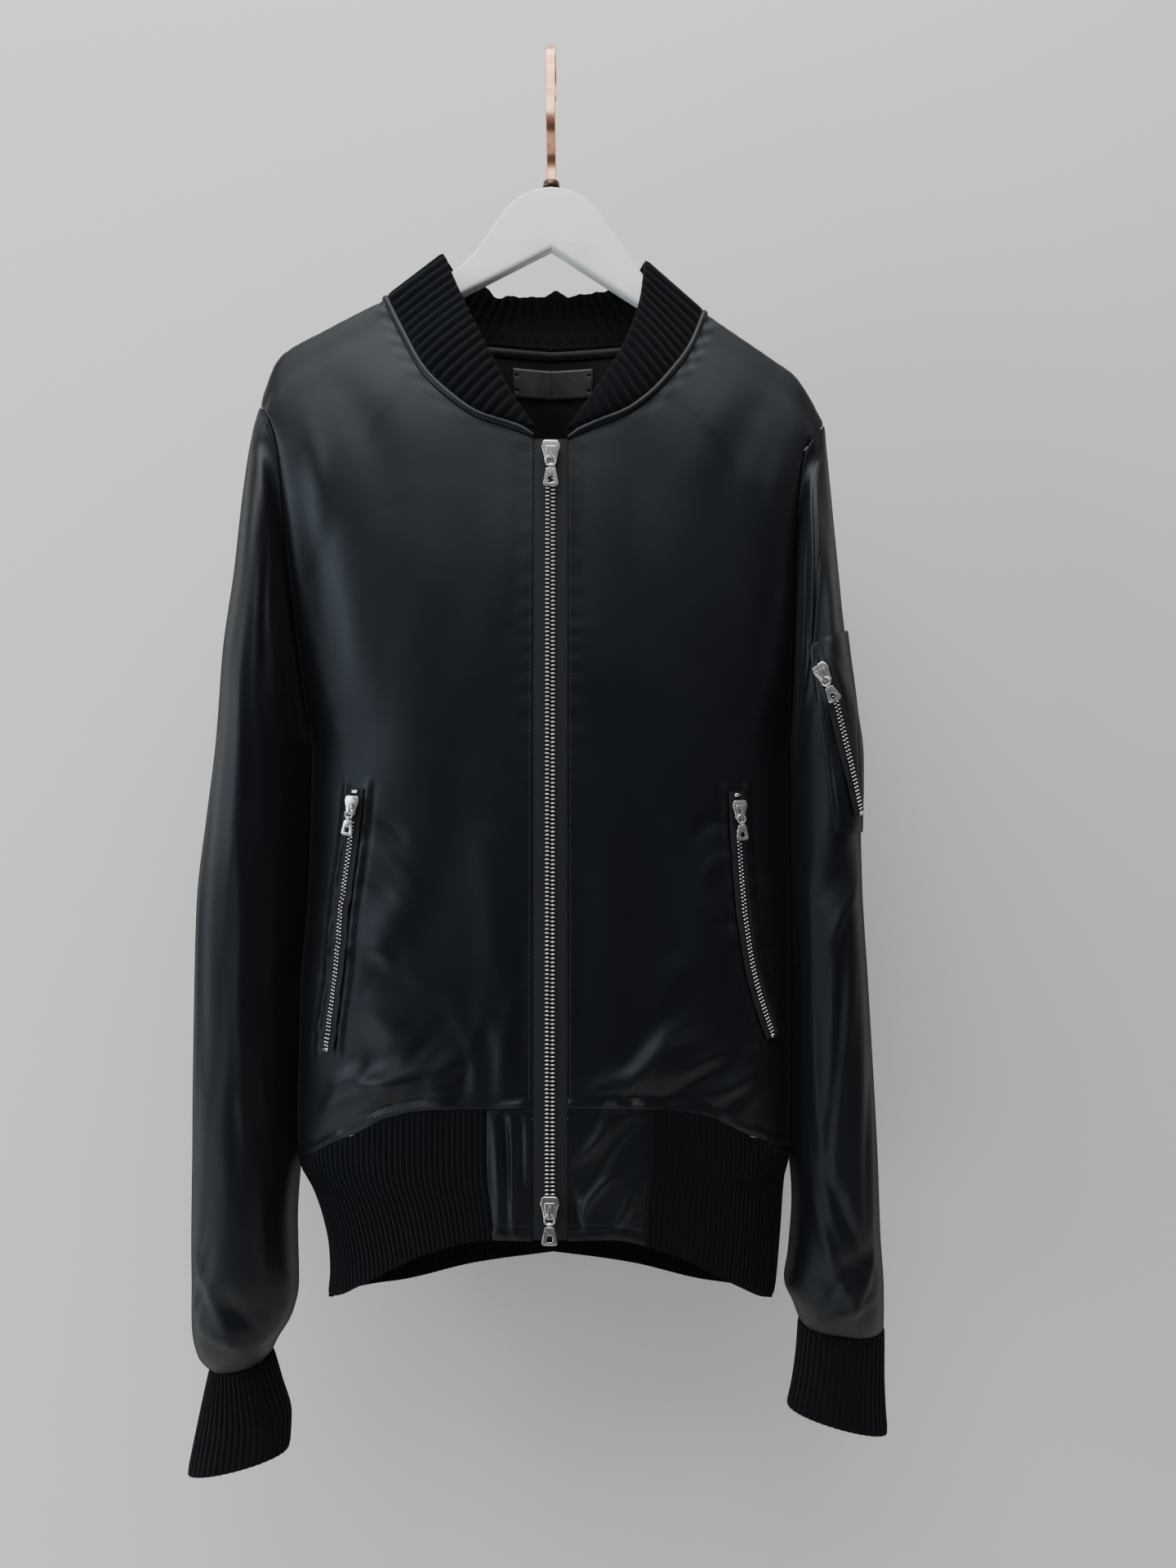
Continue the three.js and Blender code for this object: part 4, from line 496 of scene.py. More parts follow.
@dataclass
class HemForm:
    """The hem band's outer face, by the angle round the body from the middle of the front."""

    body: BodyForm
    seam: dict[Face, Rows] = field(default_factory=lambda: {
        Face.FRONT: ((0, -738), (40, -739), (80, -741), (108, -747), (130, -759), (150, -769), (170, -783)),
        Face.BACK: ((0, -776), (60, -779), (120, -784), (150, -785), (170, -783)),
    })
    edge: dict[Face, Rows] = field(default_factory=lambda: {
        Face.FRONT: ((0, -828), (40, -827), (80, -837), (108, -852), (130, -866), (150, -879), (170, -886)),
        Face.BACK: ((0, -874), (60, -882), (120, -892), (150, -892), (170, -886)),
    })
    seam_half: float = 0.3

    def __post_init__(self) -> None:
        """Turn the tables into curves."""
        self.seam_line = {face: Curve(rows) for face, rows in self.seam.items()}
        self.edge_line = {face: Curve(rows) for face, rows in self.edge.items()}

    def points(self, angle: Array, down: Array) -> Array:
        """Return points of the band's outer face.

        Args:
            angle: angles round the body.
            down: shares of the band's height, from its seam to its free edge.

        Returns:
            The points, one row of three numbers each.
        """
        angle, down = np.broadcast_arrays(np.asarray(angle, float), np.asarray(down, float))
        left, front = np.sin(angle) >= 0, np.cos(angle) >= 0
        share = np.abs(np.sin(angle)) ** (2 / ROUNDNESS)

        def width(z: Array) -> Array:
            return np.where(left, self.body.half_width[Side.LEFT](z), self.body.half_width[Side.RIGHT](z))

        def level(lines: dict[Face, Curve], start: float) -> Array:
            z = np.full(angle.shape, start)
            for _ in range(4):
                across = share * width(z)
                z = np.where(front, lines[Face.FRONT](across), lines[Face.BACK](across))
            return z

        z = mix(level(self.seam_line, -780.0) - self.seam_half, level(self.edge_line, -880.0), down)
        x = np.where(left, 1, -1) * share * width(z)
        away = np.where(front, self.body.stand_off(Face.FRONT, x, z), self.body.stand_off(Face.BACK, x, z))
        return np.stack([x, np.where(front, -1, 1) * away, z], -1)

    def place(self, angle: Array, down: Array) -> tuple[Array, Array]:
        """Return points of the band and the directions that look out of it."""
        along = self.points(angle + 0.01, down) - self.points(angle - 0.01, down)
        drop = self.points(angle, np.minimum(down + 0.03, 1)) - self.points(angle, np.maximum(down - 0.03, 0))
        return self.points(angle, down), unit(np.cross(drop, along))

    def angle_at(self, side: Side, x: float) -> float:
        """Return the angle at which the band's front reaches a distance from the middle plane."""
        z = self.seam_line[Face.FRONT](x)
        return math.asin(float(x / self.body.half_width[side](z)) ** (ROUNDNESS / 2))


@dataclass
class NeckForm:
    """The collar's face, from its seam on the body to its free edge, round the neck."""

    body: BodyForm
    rows: dict[Side, Rows] = field(default_factory=lambda: {
        # share, seam x, seam z, edge x, edge y, edge z
        Side.LEFT: (
            (0, 13, -290, 11.2, -46, -283), (0.15, 32, -281, 25.5, -42, -262),
            (0.31, 54, -271, 38, -38, -242.5), (0.45, 70, -258.5, 47.5, -33, -226),
            (0.6, 85, -241, 56, -27, -205.5), (0.8, 100, -218, 63.5, -15, -178),
            (1, 111.7, -188.4, 67, 0, -149), (1.2, 96, -197, 61, 16, -152), (1.45, 60, -203.5, 38, 30, -157),
            (1.75, 0, -206, -1, 37, -161)),
        Side.RIGHT: (
            (0, 11, -288, 9.2, -46, -281), (0.125, 29, -281, 19, -43, -267), (0.27, 51, -273, 30, -40, -249),
            (0.42, 71, -258, 40.5, -35, -227), (0.58, 89, -239, 51, -29, -205),
            (0.78, 105, -210, 64, -17, -176), (1, 120.5, -178, 77, 0, -144), (1.2, 103, -192, 69, 16, -152),
            (1.45, 62, -201.5, 45, 30, -160), (1.75, 0, -206, 1, 37, -161)),
    })
    back_at: float = 1.75
    side_at: float = 1.0
    bulge: float = 3.0

    def __post_init__(self) -> None:
        """Turn the tables into curves."""
        self.line = {side: [Curve(tuple((row[0], row[i]) for row in rows)) for i in range(1, 6)]
                     for side, rows in self.rows.items()}

    def points(self, at: Array, up: Array) -> Array:
        """Return points of the collar's outer face.

        Args:
            at: places round the neck, from one end of the collar to the other.
            up: shares of its height, from the seam to the free edge.

        Returns:
            The points, one row of three numbers each.
        """
        at, up = np.broadcast_arrays(np.asarray(at, float), np.asarray(up, float))
        left = at <= self.back_at
        own = np.where(left, at, 2 * self.back_at - at)
        sign = np.where(left, 1, -1)
        seam_x, seam_z, edge_x, edge_y, edge_z = (
            np.where(left, self.line[Side.LEFT][i](own), self.line[Side.RIGHT][i](own)) for i in range(5))
        front = own < self.side_at
        x = sign * seam_x
        away = np.where(front, -self.body.stand_off(Face.FRONT, x, seam_z),
                        self.body.stand_off(Face.BACK, x, seam_z))
        seam = np.stack([x, away, seam_z], -1)
        edge = np.stack([sign * edge_x, edge_y, edge_z], -1)
        points = seam + (edge - seam) * up[..., None]
        stance = np.minimum(1, np.abs(own - self.side_at) * 3) * np.minimum(1, own * 5)
        points[..., 1] += np.where(front, -1, 1) * self.bulge * np.sin(np.pi * up) * stance
        wave = 2.2 * np.sin(at * 15 + 0.6) + 1.5 * np.sin(at * 33 + 1) + 1.0 * np.sin(at * 52)
        points[..., 2] += wave * up**2 * smooth((own - 1.1) / 0.25)
        return points

    def place(self, at: Array, up: Array) -> tuple[Array, Array]:
        """Return points of the collar and the directions that look out of it."""
        end = 2 * self.back_at
        along = self.points(np.minimum(at + 0.004, end), up) - self.points(np.maximum(at - 0.004, 0), up)
        rise = self.points(at, np.minimum(up + 0.05, 1)) - self.points(at, np.maximum(up - 0.05, 0))
        return self.points(at, up), unit(np.cross(along, rise))

    def width(self, at: Array) -> Array:
        """Return the collar's height along the cloth at each place round the neck."""
        return np.linalg.norm(self.points(at, 1.0) - self.points(at, 0.0), axis=-1)


# Meshes


def run_lengths(points: Array, axis: int) -> Array:
    """Return the length walked along one axis of a grid of points, in the grid's own unit."""
    step = np.linalg.norm(np.diff(points, axis=axis), axis=-1)
    start = np.zeros_like(np.take(step, [0], axis=axis))
    return np.concatenate([start, np.cumsum(step, axis=axis)], axis=axis)


def grid_normals(points: Array, closed: bool, outwards: Array) -> Array:
    """Return the direction that looks out of a grid of points at each of them.

    Args:
        points: rows by columns by three.
        closed: whether the last column meets the first.
        outwards: a rough outward direction at each point, which only settles the sign.

    Returns:
        The directions, one long.
    """
    if closed:
        wide = np.concatenate([points[:, -1:], points, points[:, :1]], axis=1)
        across = (wide[:, 2:] - wide[:, :-2])
    else:
        across = np.gradient(points, axis=1)
    normals = unit(np.cross(across, np.gradient(points, axis=0)))
    return normals * (1 if np.sum(normals * outwards) > 0 else -1)


def evenly(path: Callable[[Array], Array], start: float, end: float, count: int) -> Array:
    """Return evenly spaced values of a parameter along a path, both ends included."""
    fine = np.linspace(start, end, 800)
    length = run_lengths(path(fine), 0)
    return np.interp(np.linspace(0, length[-1], count + 1), length, fine)


def path_length(path: Callable[[Array], Array], start: float, end: float) -> float:
    """Return how long a path is."""
    return float(run_lengths(path(np.linspace(start, end, 400)), 0)[-1])


def new_object(name: str, mesh: bpy.types.Mesh, angle: float = 50.0) -> bpy.types.Object:
    """Link a mesh to the scene as an object, smooth but for its sharp edges.

    Args:
        name: the object's name.
        mesh: its mesh, in metres.
        angle: edges sharper than this, in degrees, stay sharp.

    Returns:
        The new object.
    """
    mesh.name = name
    mesh.shade_smooth()
    mesh.set_sharp_from_angle(angle=math.radians(angle))
    made = bpy.data.objects.new(name, mesh)
    bpy.context.scene.collection.objects.link(made)
    return made


@dataclass
class Cloth:
    """A wall of cloth between an outer and an inner grid of points."""

    name: str
    outer: Array
    normals: Array
    thickness: float
    closed: bool = False
    inner: Array | None = None

    def sink(self, edges: str, depth: float = 0.9, reach: float = 1.7, pucker: float = 0.35) -> "Cloth":
        """Pull the outer face in along sewn edges, a little unevenly, as a seam does.

        Args:
            edges: which edges are sewn, any of the letters t, b, l and r.
            depth: how far the cloth goes in.
            reach: over what distance from the edge.
            pucker: share of the depth that changes along the seam.

        Returns:
            This cloth.
        """
        down, across = run_lengths(self.outer, 0), run_lengths(self.outer, 1)
        away = {"t": down, "b": down[-1:] - down, "l": across, "r": across[:, -1:] - across}
        along = {"t": across, "b": across, "l": down, "r": down}
        total = np.zeros(self.outer.shape[:2])
        for edge in edges:
            run = along[edge]
            wave = np.sin(run / 1.5 + 1.7 * np.sin(run / 11.0))
            wave = wave * np.exp(-((away[edge] / 7) ** 2)) * 0.32 * pucker
            total += depth * np.exp(-((away[edge] / reach) ** 2)) + wave * (away[edge] > 0)
        self.outer = self.outer - self.normals * total[..., None]
        return self

    def build(self, angle: float = 50.0) -> bpy.types.Object:
        """Return the wall as an object, with its own lengths in metres as its UV map."""
        rows, cols = self.outer.shape[:2]
        span = cols + 1 if self.closed else cols
        inner = self.inner if self.inner is not None else self.outer - self.normals * self.thickness
        wrapped = np.concatenate([self.outer, self.outer[:, :1]], 1) if self.closed else self.outer
        uv = np.stack([run_lengths(wrapped, 1), run_lengths(wrapped, 0)], -1) * MM

        r, c = np.mgrid[0:rows - 1, 0:span - 1]
        quad_r, quad_c = np.stack([r, r, r + 1, r + 1], -1), np.stack([c, c + 1, c + 1, c], -1)
        front = quad_r * cols + quad_c % cols
        faces = [front.reshape(-1, 4), (front + rows * cols)[..., ::-1].reshape(-1, 4)]
        maps = [uv[quad_r, quad_c].reshape(-1, 4, 2), uv[quad_r, quad_c][..., ::-1, :].reshape(-1, 4, 2)]

        def rim(edge_r: Array, edge_c: Array, turned: bool) -> None:
            a = edge_r[:-1] * cols + edge_c[:-1] % cols
            b = edge_r[1:] * cols + edge_c[1:] % cols
            near, far = uv[edge_r[:-1], edge_c[:-1]], uv[edge_r[1:], edge_c[1:]]
            quads, spots = np.stack([a, b, b + rows * cols, a + rows * cols],
                                    -1), np.stack([near, far, far, near], 1)
            faces.append(quads[:, ::-1] if turned else quads)
            maps.append(spots[:, ::-1] if turned else spots)

        down, along = np.arange(rows), np.arange(span)
        rim(np.zeros_like(along), along, True)
        rim(np.full_like(along, rows - 1), along, False)
        if not self.closed:
            rim(down, np.zeros_like(down), False)
            rim(down, np.full_like(down, cols - 1), True)

        points = np.concatenate([self.outer.reshape(-1, 3), inner.reshape(-1, 3)]) * MM
        quads, spots = np.concatenate(faces), np.concatenate(maps)
        a, b, c3, d = (points[quads[:, i]] for i in range(4))
        volume = np.sum(a * np.cross(b, c3)) + np.sum(a * np.cross(c3, d))
        if volume < 0:
            quads, spots = quads[:, ::-1], spots[:, ::-1]
        mesh = bpy.data.meshes.new(self.name)
        mesh.from_pydata(points.tolist(), [], quads.tolist())
        mesh.uv_layers.new(name="UVMap").data.foreach_set("uv", spots.reshape(-1).astype(np.float32))
        mesh.update()
        return new_object(self.name, mesh, angle)


def plate_mesh(loops: Sequence[Sequence[tuple[float, float]]], thickness: float, bevel: float,
               steps: int = 2) -> bpy.types.Mesh:
    """Return a flat plate with rounded edges, in its own XY plane, centred on Z.

    Args:
        loops: the outline and any holes, each a closed loop of points.
        thickness: how thick the plate is.
        bevel: radius of its rounded edges.
        steps: how finely they are rounded.

    Returns:
        The plate's mesh, in millimetres.
    """
    curve = bpy.data.curves.new("plate", "CURVE")
    curve.dimensions = "2D"
    curve.fill_mode = "BOTH"
    curve.extrude = thickness / 2 - bevel
    curve.bevel_depth = bevel
    curve.bevel_resolution = steps
    curve.offset = -bevel
    for loop in loops:
        spline = curve.splines.new("POLY")
        spline.points.add(len(loop) - 1)
        spline.points.foreach_set("co", [value for x, y in loop for value in (x, y, 0, 1)])
        spline.use_cyclic_u = True
    holder = bpy.data.objects.new("plate", curve)
    mesh = bpy.data.meshes.new_from_object(holder)
    bpy.data.objects.remove(holder)
    bpy.data.curves.remove(curve)
    return mesh


def joined_mesh(name: str, parts: Sequence[tuple[bpy.types.Mesh, Matrix]]) -> bpy.types.Mesh:
    """Return several meshes as one, each put in place by its matrix, with doubles merged."""
    whole = bmesh.new()
    for part, matrix in parts:
        piece = bmesh.new()
        piece.from_mesh(part)
        bmesh.ops.remove_doubles(piece, verts=piece.verts, dist=1e-5)
        bmesh.ops.transform(piece, matrix=matrix, verts=piece.verts)
        bmesh.ops.recalc_face_normals(piece, faces=piece.faces)
        moved = bpy.data.meshes.new("moved")
        piece.to_mesh(moved)
        piece.free()
        whole.from_mesh(moved)
        bpy.data.meshes.remove(moved)
    mesh = bpy.data.meshes.new(name)
    whole.to_mesh(mesh)
    whole.free()
    return mesh


def rounded_loop(points: Sequence[tuple[float, float]], radius: float,
                 steps: int = 4) -> list[tuple[float, float]]:
    """Return a closed outline with its corners rounded off.

    Args:
        points: the outline's corners in order.
        radius: how far back from each corner the rounding starts.
        steps: how many steps each corner gets.

    Returns:
        The outline's new points.
    """
    out = []
    for i, corner in enumerate(points):
        here = Vector(corner)
        before, after = Vector(points[i - 1]), Vector(points[(i + 1) % len(points)])
        start = here + (before - here).normalized() * min(radius, (before - here).length * 0.45)
        end = here + (after - here).normalized() * min(radius, (after - here).length * 0.45)
        for step in range(steps + 1):
            t = step / steps
            spot = start * (1 - t) ** 2 + here * 2 * t * (1 - t) + end * t**2
            out.append((spot.x, spot.y))
    return out


def circle(x: float, y: float, radius: float, count: int = 24) -> list[tuple[float, float]]:
    """Return a circle as a closed outline."""
    return [(x + radius * math.cos(math.tau * i / count), y + radius * math.sin(math.tau * i / count))
            for i in range(count)]


def torus_mesh(radius: float, wire: float, count: int = 36, around: int = 12) -> bpy.types.Mesh:
    """Return a ring of round wire about its own Z axis."""
    turn = np.linspace(0, math.tau, count, endpoint=False)[:, None]
    own = np.linspace(0, math.tau, around, endpoint=False)[None, :]
    reach = radius + wire * np.cos(own)
    points = np.stack([reach * np.cos(turn), reach * np.sin(turn), wire * np.sin(own) + 0 * turn], -1)
    faces = [(i * around + j, (i + 1) % count * around + j, (i + 1) % count * around + (j + 1) % around,
              i * around + (j + 1) % around) for i in range(count) for j in range(around)]
    mesh = bpy.data.meshes.new("ring")
    mesh.from_pydata(points.reshape(-1, 3).tolist(), [], faces)
    return mesh


# Shader groups and finishes


class Nodes:
    """A node tree under construction, with short ways to add nodes to it."""

    def __init__(self, tree: bpy.types.NodeTree) -> None:
        """Work on one tree."""
        self.tree = tree

    def add(self, kind: str, **settings: object) -> bpy.types.Node:
        """Add a node and set its properties."""
        node = self.tree.nodes.new(kind)
        for name, value in settings.items():
            setattr(node, name, value)
        return node

    def feed(self, socket: bpy.types.NodeSocket, value: object) -> None:
        """Link a socket to another one, or set its value."""
        if isinstance(value, bpy.types.NodeSocket):
            self.tree.links.new(value, socket)
        else:
            socket.default_value = value

    def math(self, operation: str, *values: object) -> bpy.types.NodeSocket:
        """Return the result of a Math node on sockets or numbers."""
        node = self.add("ShaderNodeMath", operation=operation)
        for socket, value in zip(node.inputs, values):
            self.feed(socket, value)
        return node.outputs[0]

    def vector(self, operation: str, *values: object) -> bpy.types.Node:
        """Return a Vector Math node on sockets or vectors."""
        node = self.add("ShaderNodeVectorMath", operation=operation)
        for socket, value in zip(node.inputs, values):
            self.feed(socket, value)
        return node

    def noise(self, where: bpy.types.NodeSocket, scale: object, detail: float = 3.0) -> bpy.types.NodeSocket:
        """Return a noise texture's value."""
        node = self.add("ShaderNodeTexNoise")
        self.feed(node.inputs["Vector"], where)
        self.feed(node.inputs["Scale"], scale)
        node.inputs["Detail"].default_value = detail
        return node.outputs[0]

    def group(self, tree: bpy.types.NodeTree, **values: object) -> bpy.types.Node:
        """Place a shader group with its own values."""
        node = self.add("ShaderNodeGroup", node_tree=tree)
        for name, value in values.items():
            self.feed(node.inputs[name.replace("_", " ")], value)
        return node


def new_group(name: str, kind: str, inputs: Sequence[tuple[str, str, object]],
              outputs: Sequence[tuple[str, str]]) -> tuple[Nodes, bpy.types.Node, bpy.types.Node]:
    """Start a node group.

    Args:
        name: the group's name.
        kind: ShaderNodeTree or GeometryNodeTree.
        inputs: name, socket type and first value of each input.
        outputs: name and socket type of each output.

    Returns:
        The tree's builder, its input node and its output node.
    """
    tree = bpy.data.node_groups.new(name, kind)
    for label, socket, value in inputs:
        made = tree.interface.new_socket(label, in_out="INPUT", socket_type=socket)
        if value is not None:
            made.default_value = value
    for label, socket in outputs:
        tree.interface.new_socket(label, in_out="OUTPUT", socket_type=socket)
    return Nodes(tree), tree.nodes.new("NodeGroupInput"), tree.nodes.new("NodeGroupOutput")


def weave_group() -> bpy.types.NodeTree:
    """Return the group that gives woven threads as a height."""
    nodes, start, end = new_group(
        "Weave", "ShaderNodeTree",
        [("Place", "NodeSocketVector", None), ("Thread", "NodeSocketFloat", 0.0005),
         ("Twill", "NodeSocketFloat", 1.0), ("Unevenness", "NodeSocketFloat", 0.25)],
        [("Height", "NodeSocketFloat"), ("Shade", "NodeSocketFloat")])
    split = nodes.add("ShaderNodeSeparateXYZ")
    nodes.feed(split.inputs[0], start.outputs["Place"])
    across = nodes.math("DIVIDE", split.outputs["X"], start.outputs["Thread"])
    along = nodes.math("DIVIDE", split.outputs["Y"], start.outputs["Thread"])
    slant = nodes.math("ADD", along, nodes.math("MULTIPLY", across, start.outputs["Twill"]))
    wave = nodes.math("SINE", nodes.math("MULTIPLY", slant, math.pi))
    cross = nodes.math("SINE", nodes.math("MULTIPLY", across, math.pi))
    threads = nodes.math("ADD", nodes.math("MULTIPLY", wave, 0.35), nodes.math("MULTIPLY", cross, 0.15))
    slub = nodes.noise(start.outputs["Place"], 900.0, 2.0)
    uneven = nodes.math("MULTIPLY", slub, start.outputs["Unevenness"])
    nodes.feed(end.inputs["Height"], nodes.math("ADD", threads, uneven))
    nodes.feed(end.inputs["Shade"], nodes.noise(start.outputs["Place"], 38.0, 4.0))
    return nodes.tree


def loops_group() -> bpy.types.NodeTree:
    """Return the group that gives a knit's V-shaped loops as a height."""
    nodes, start, end = new_group(
        "Knit loops", "ShaderNodeTree",
        [("Place", "NodeSocketVector", None), ("Wale", "NodeSocketFloat", 0.001),
         ("Course", "NodeSocketFloat", 0.0011), ("Fuzz", "NodeSocketFloat", 0.3)],
        [("Height", "NodeSocketFloat"), ("Shade", "NodeSocketFloat")])
    split = nodes.add("ShaderNodeSeparateXYZ")
    nodes.feed(split.inputs[0], start.outputs["Place"])
    wale = nodes.math("PINGPONG", nodes.math("DIVIDE", split.outputs["X"], start.outputs["Wale"]), 0.5)
    course = nodes.math("DIVIDE", split.outputs["Y"], start.outputs["Course"])
    slanted = nodes.math("ADD", course, nodes.math("MULTIPLY", wale, 1.3))
    loop = nodes.math("SINE", nodes.math("MULTIPLY", slanted, math.tau))
    ridge = nodes.math("SINE", nodes.math("MULTIPLY", wale, math.tau))
    fuzz = nodes.math("MULTIPLY", nodes.noise(start.outputs["Place"], 1800.0, 3.0), start.outputs["Fuzz"])
    body = nodes.math("ADD", nodes.math("MULTIPLY", loop, 0.3), nodes.math("MULTIPLY", ridge, 0.5))
    nodes.feed(end.inputs["Height"], nodes.math("ADD", body, fuzz))
    nodes.feed(end.inputs["Shade"], nodes.noise(start.outputs["Place"], 60.0, 4.0))
    return nodes.tree


def wear_group() -> bpy.types.NodeTree:
    """Return the group that gives handled, uneven patches as a mask, and fine grain as a height."""
    nodes, start, end = new_group(
        "Wear", "ShaderNodeTree",
        [("Place", "NodeSocketVector", None), ("Patch", "NodeSocketFloat", 60.0),
         ("Grain", "NodeSocketFloat", 900.0), ("Stretch", "NodeSocketVector", (1, 1, 1)),
         ("Low", "NodeSocketFloat", 0.45), ("High", "NodeSocketFloat", 0.65)],
        [("Mask", "NodeSocketFloat"), ("Height", "NodeSocketFloat")])
    patches = nodes.noise(start.outputs["Place"], start.outputs["Patch"], 5.0)
    ramp = nodes.add("ShaderNodeMapRange")
    nodes.feed(ramp.inputs["Value"], patches)
    nodes.feed(ramp.inputs["From Min"], start.outputs["Low"])
    nodes.feed(ramp.inputs["From Max"], start.outputs["High"])
    pulled = nodes.vector("MULTIPLY", start.outputs["Place"], start.outputs["Stretch"])
    nodes.feed(end.inputs["Mask"], ramp.outputs[0])
    nodes.feed(end.inputs["Height"], nodes.noise(pulled.outputs[0], start.outputs["Grain"], 2.0))
    return nodes.tree


@dataclass(frozen=True)
class Finish:
    """What every finish has: its two shades and how rough it is."""

    name: str
    color: tuple[float, float, float]
    second: tuple[float, float, float]
    roughness: float
    rougher: float

    def start(self) -> tuple[bpy.types.Material, Nodes, bpy.types.Node, bpy.types.Node]:
        """Return a new material, its builder, its Principled shader and its coordinates."""
        material = bpy.data.materials.new(self.name)
        material.use_nodes = True
        nodes = Nodes(material.node_tree)
        shader = next(node for node in material.node_tree.nodes if node.type == "BSDF_PRINCIPLED")
        return material, nodes, shader, nodes.add("ShaderNodeTexCoord")

    def shade(self, nodes: Nodes, shader: bpy.types.Node, mask: bpy.types.NodeSocket) -> None:
        """Let a mask choose between the finish's two shades and its two roughnesses."""
        blend = nodes.add("ShaderNodeMix", data_type="RGBA")
        nodes.feed(blend.inputs["Factor"], mask)
        blend.inputs[6].default_value = (*self.color, 1)
        blend.inputs[7].default_value = (*self.second, 1)
        nodes.feed(shader.inputs["Base Color"], blend.outputs[2])
        rough = nodes.add("ShaderNodeMapRange")
        nodes.feed(rough.inputs["Value"], mask)
        rough.inputs["To Min"].default_value = self.roughness
        rough.inputs["To Max"].default_value = self.rougher
        nodes.feed(shader.inputs["Roughness"], rough.outputs[0])

    def bump(self, nodes: Nodes, shader: bpy.types.Node, height: bpy.types.NodeSocket, strength: float,
             distance: float) -> None:
        """Turn a height into the shader's normal."""
        node = nodes.add("ShaderNodeBump")
        node.inputs["Strength"].default_value = strength
        node.inputs["Distance"].default_value = distance
        nodes.feed(node.inputs["Height"], height)
        nodes.feed(shader.inputs["Normal"], node.outputs[0])


@dataclass(frozen=True)
class ClothFinish(Finish):
    """Woven cloth, with a soft sheen and fine wrinkles."""

    thread: float = 0.0005
    twill: float = 1.0
    sheen: float = 0.1
    anisotropic: float = 0.0
    wrinkle: float = 0.0
    bump_strength: float = 0.25
    specular: float = 0.3
    tint: tuple[float, float, float] = (0.86, 0.94, 1.0)

    def build(self, weave: bpy.types.NodeTree) -> bpy.types.Material:
        """Return the finish as a material."""
        material, nodes, shader, where = self.start()
        cloth = nodes.group(weave, Place=where.outputs["UV"], Thread=self.thread, Twill=self.twill)
        self.shade(nodes, shader, cloth.outputs["Shade"])
        shader.inputs["Sheen Weight"].default_value = self.sheen
        shader.inputs["Sheen Roughness"].default_value = 0.45
        shader.inputs["Anisotropic"].default_value = self.anisotropic
        shader.inputs["Specular IOR Level"].default_value = self.specular
        shader.inputs["Specular Tint"].default_value = (*self.tint, 1)
        grazing = nodes.add("ShaderNodeLayerWeight")
        grazing.inputs["Blend"].default_value = 0.5
        matt = nodes.math("MULTIPLY", nodes.math("POWER", grazing.outputs["Facing"], 2.0), 0.95)
        plain = shader.inputs["Roughness"].links[0].from_socket
        nodes.feed(shader.inputs["Roughness"], nodes.math("MAXIMUM", plain, matt))
        folded = nodes.noise(where.outputs["Object"], 24.0, 2.0)
        fine = nodes.math("MULTIPLY", cloth.outputs["Height"], self.thread * 0.2)
        height = nodes.math("ADD", fine, nodes.math("MULTIPLY", folded, self.wrinkle))
        self.bump(nodes, shader, height, self.bump_strength, 1.0)
        return material


@dataclass(frozen=True)
class KnitFinish(Finish):
    """Rib knit, matt and slightly fuzzy."""

    wale: float = 0.0012
    course: float = 0.0013

    def build(self, loops: bpy.types.NodeTree) -> bpy.types.Material:
        """Return the finish as a material."""
        material, nodes, shader, where = self.start()
        knit = nodes.group(loops, Place=where.outputs["UV"], Wale=self.wale, Course=self.course)
        self.shade(nodes, shader, knit.outputs["Shade"])
        shader.inputs["Sheen Weight"].default_value = 0.035
        shader.inputs["Sheen Roughness"].default_value = 0.55
        shader.inputs["Specular IOR Level"].default_value = 0.06
        self.bump(nodes, shader, knit.outputs["Height"], 0.5, 0.00035)
        return material


@dataclass(frozen=True)
class HardFinish(Finish):
    """Metal, paint or leather, with handled patches and a fine grain."""

    metallic: float = 0.0
    coat: float = 0.0
    patch: float = 60.0
    grain: float = 900.0
    stretch: tuple[float, float, float] = (1, 1, 1)
    bump_strength: float = 0.1
    bump_depth: float = 0.0002

    def build(self, wear: bpy.types.NodeTree) -> bpy.types.Material:
        """Return the finish as a material."""
        material, nodes, shader, where = self.start()
        worn = nodes.group(wear, Place=where.outputs["Object"], Patch=self.patch, Grain=self.grain,
                           Stretch=self.stretch)
        self.shade(nodes, shader, worn.outputs["Mask"])
        shader.inputs["Metallic"].default_value = self.metallic
        shader.inputs["Coat Weight"].default_value = self.coat
        shader.inputs["Coat Roughness"].default_value = 0.2
        self.bump(nodes, shader, worn.outputs["Height"], self.bump_strength, self.bump_depth)
        return material


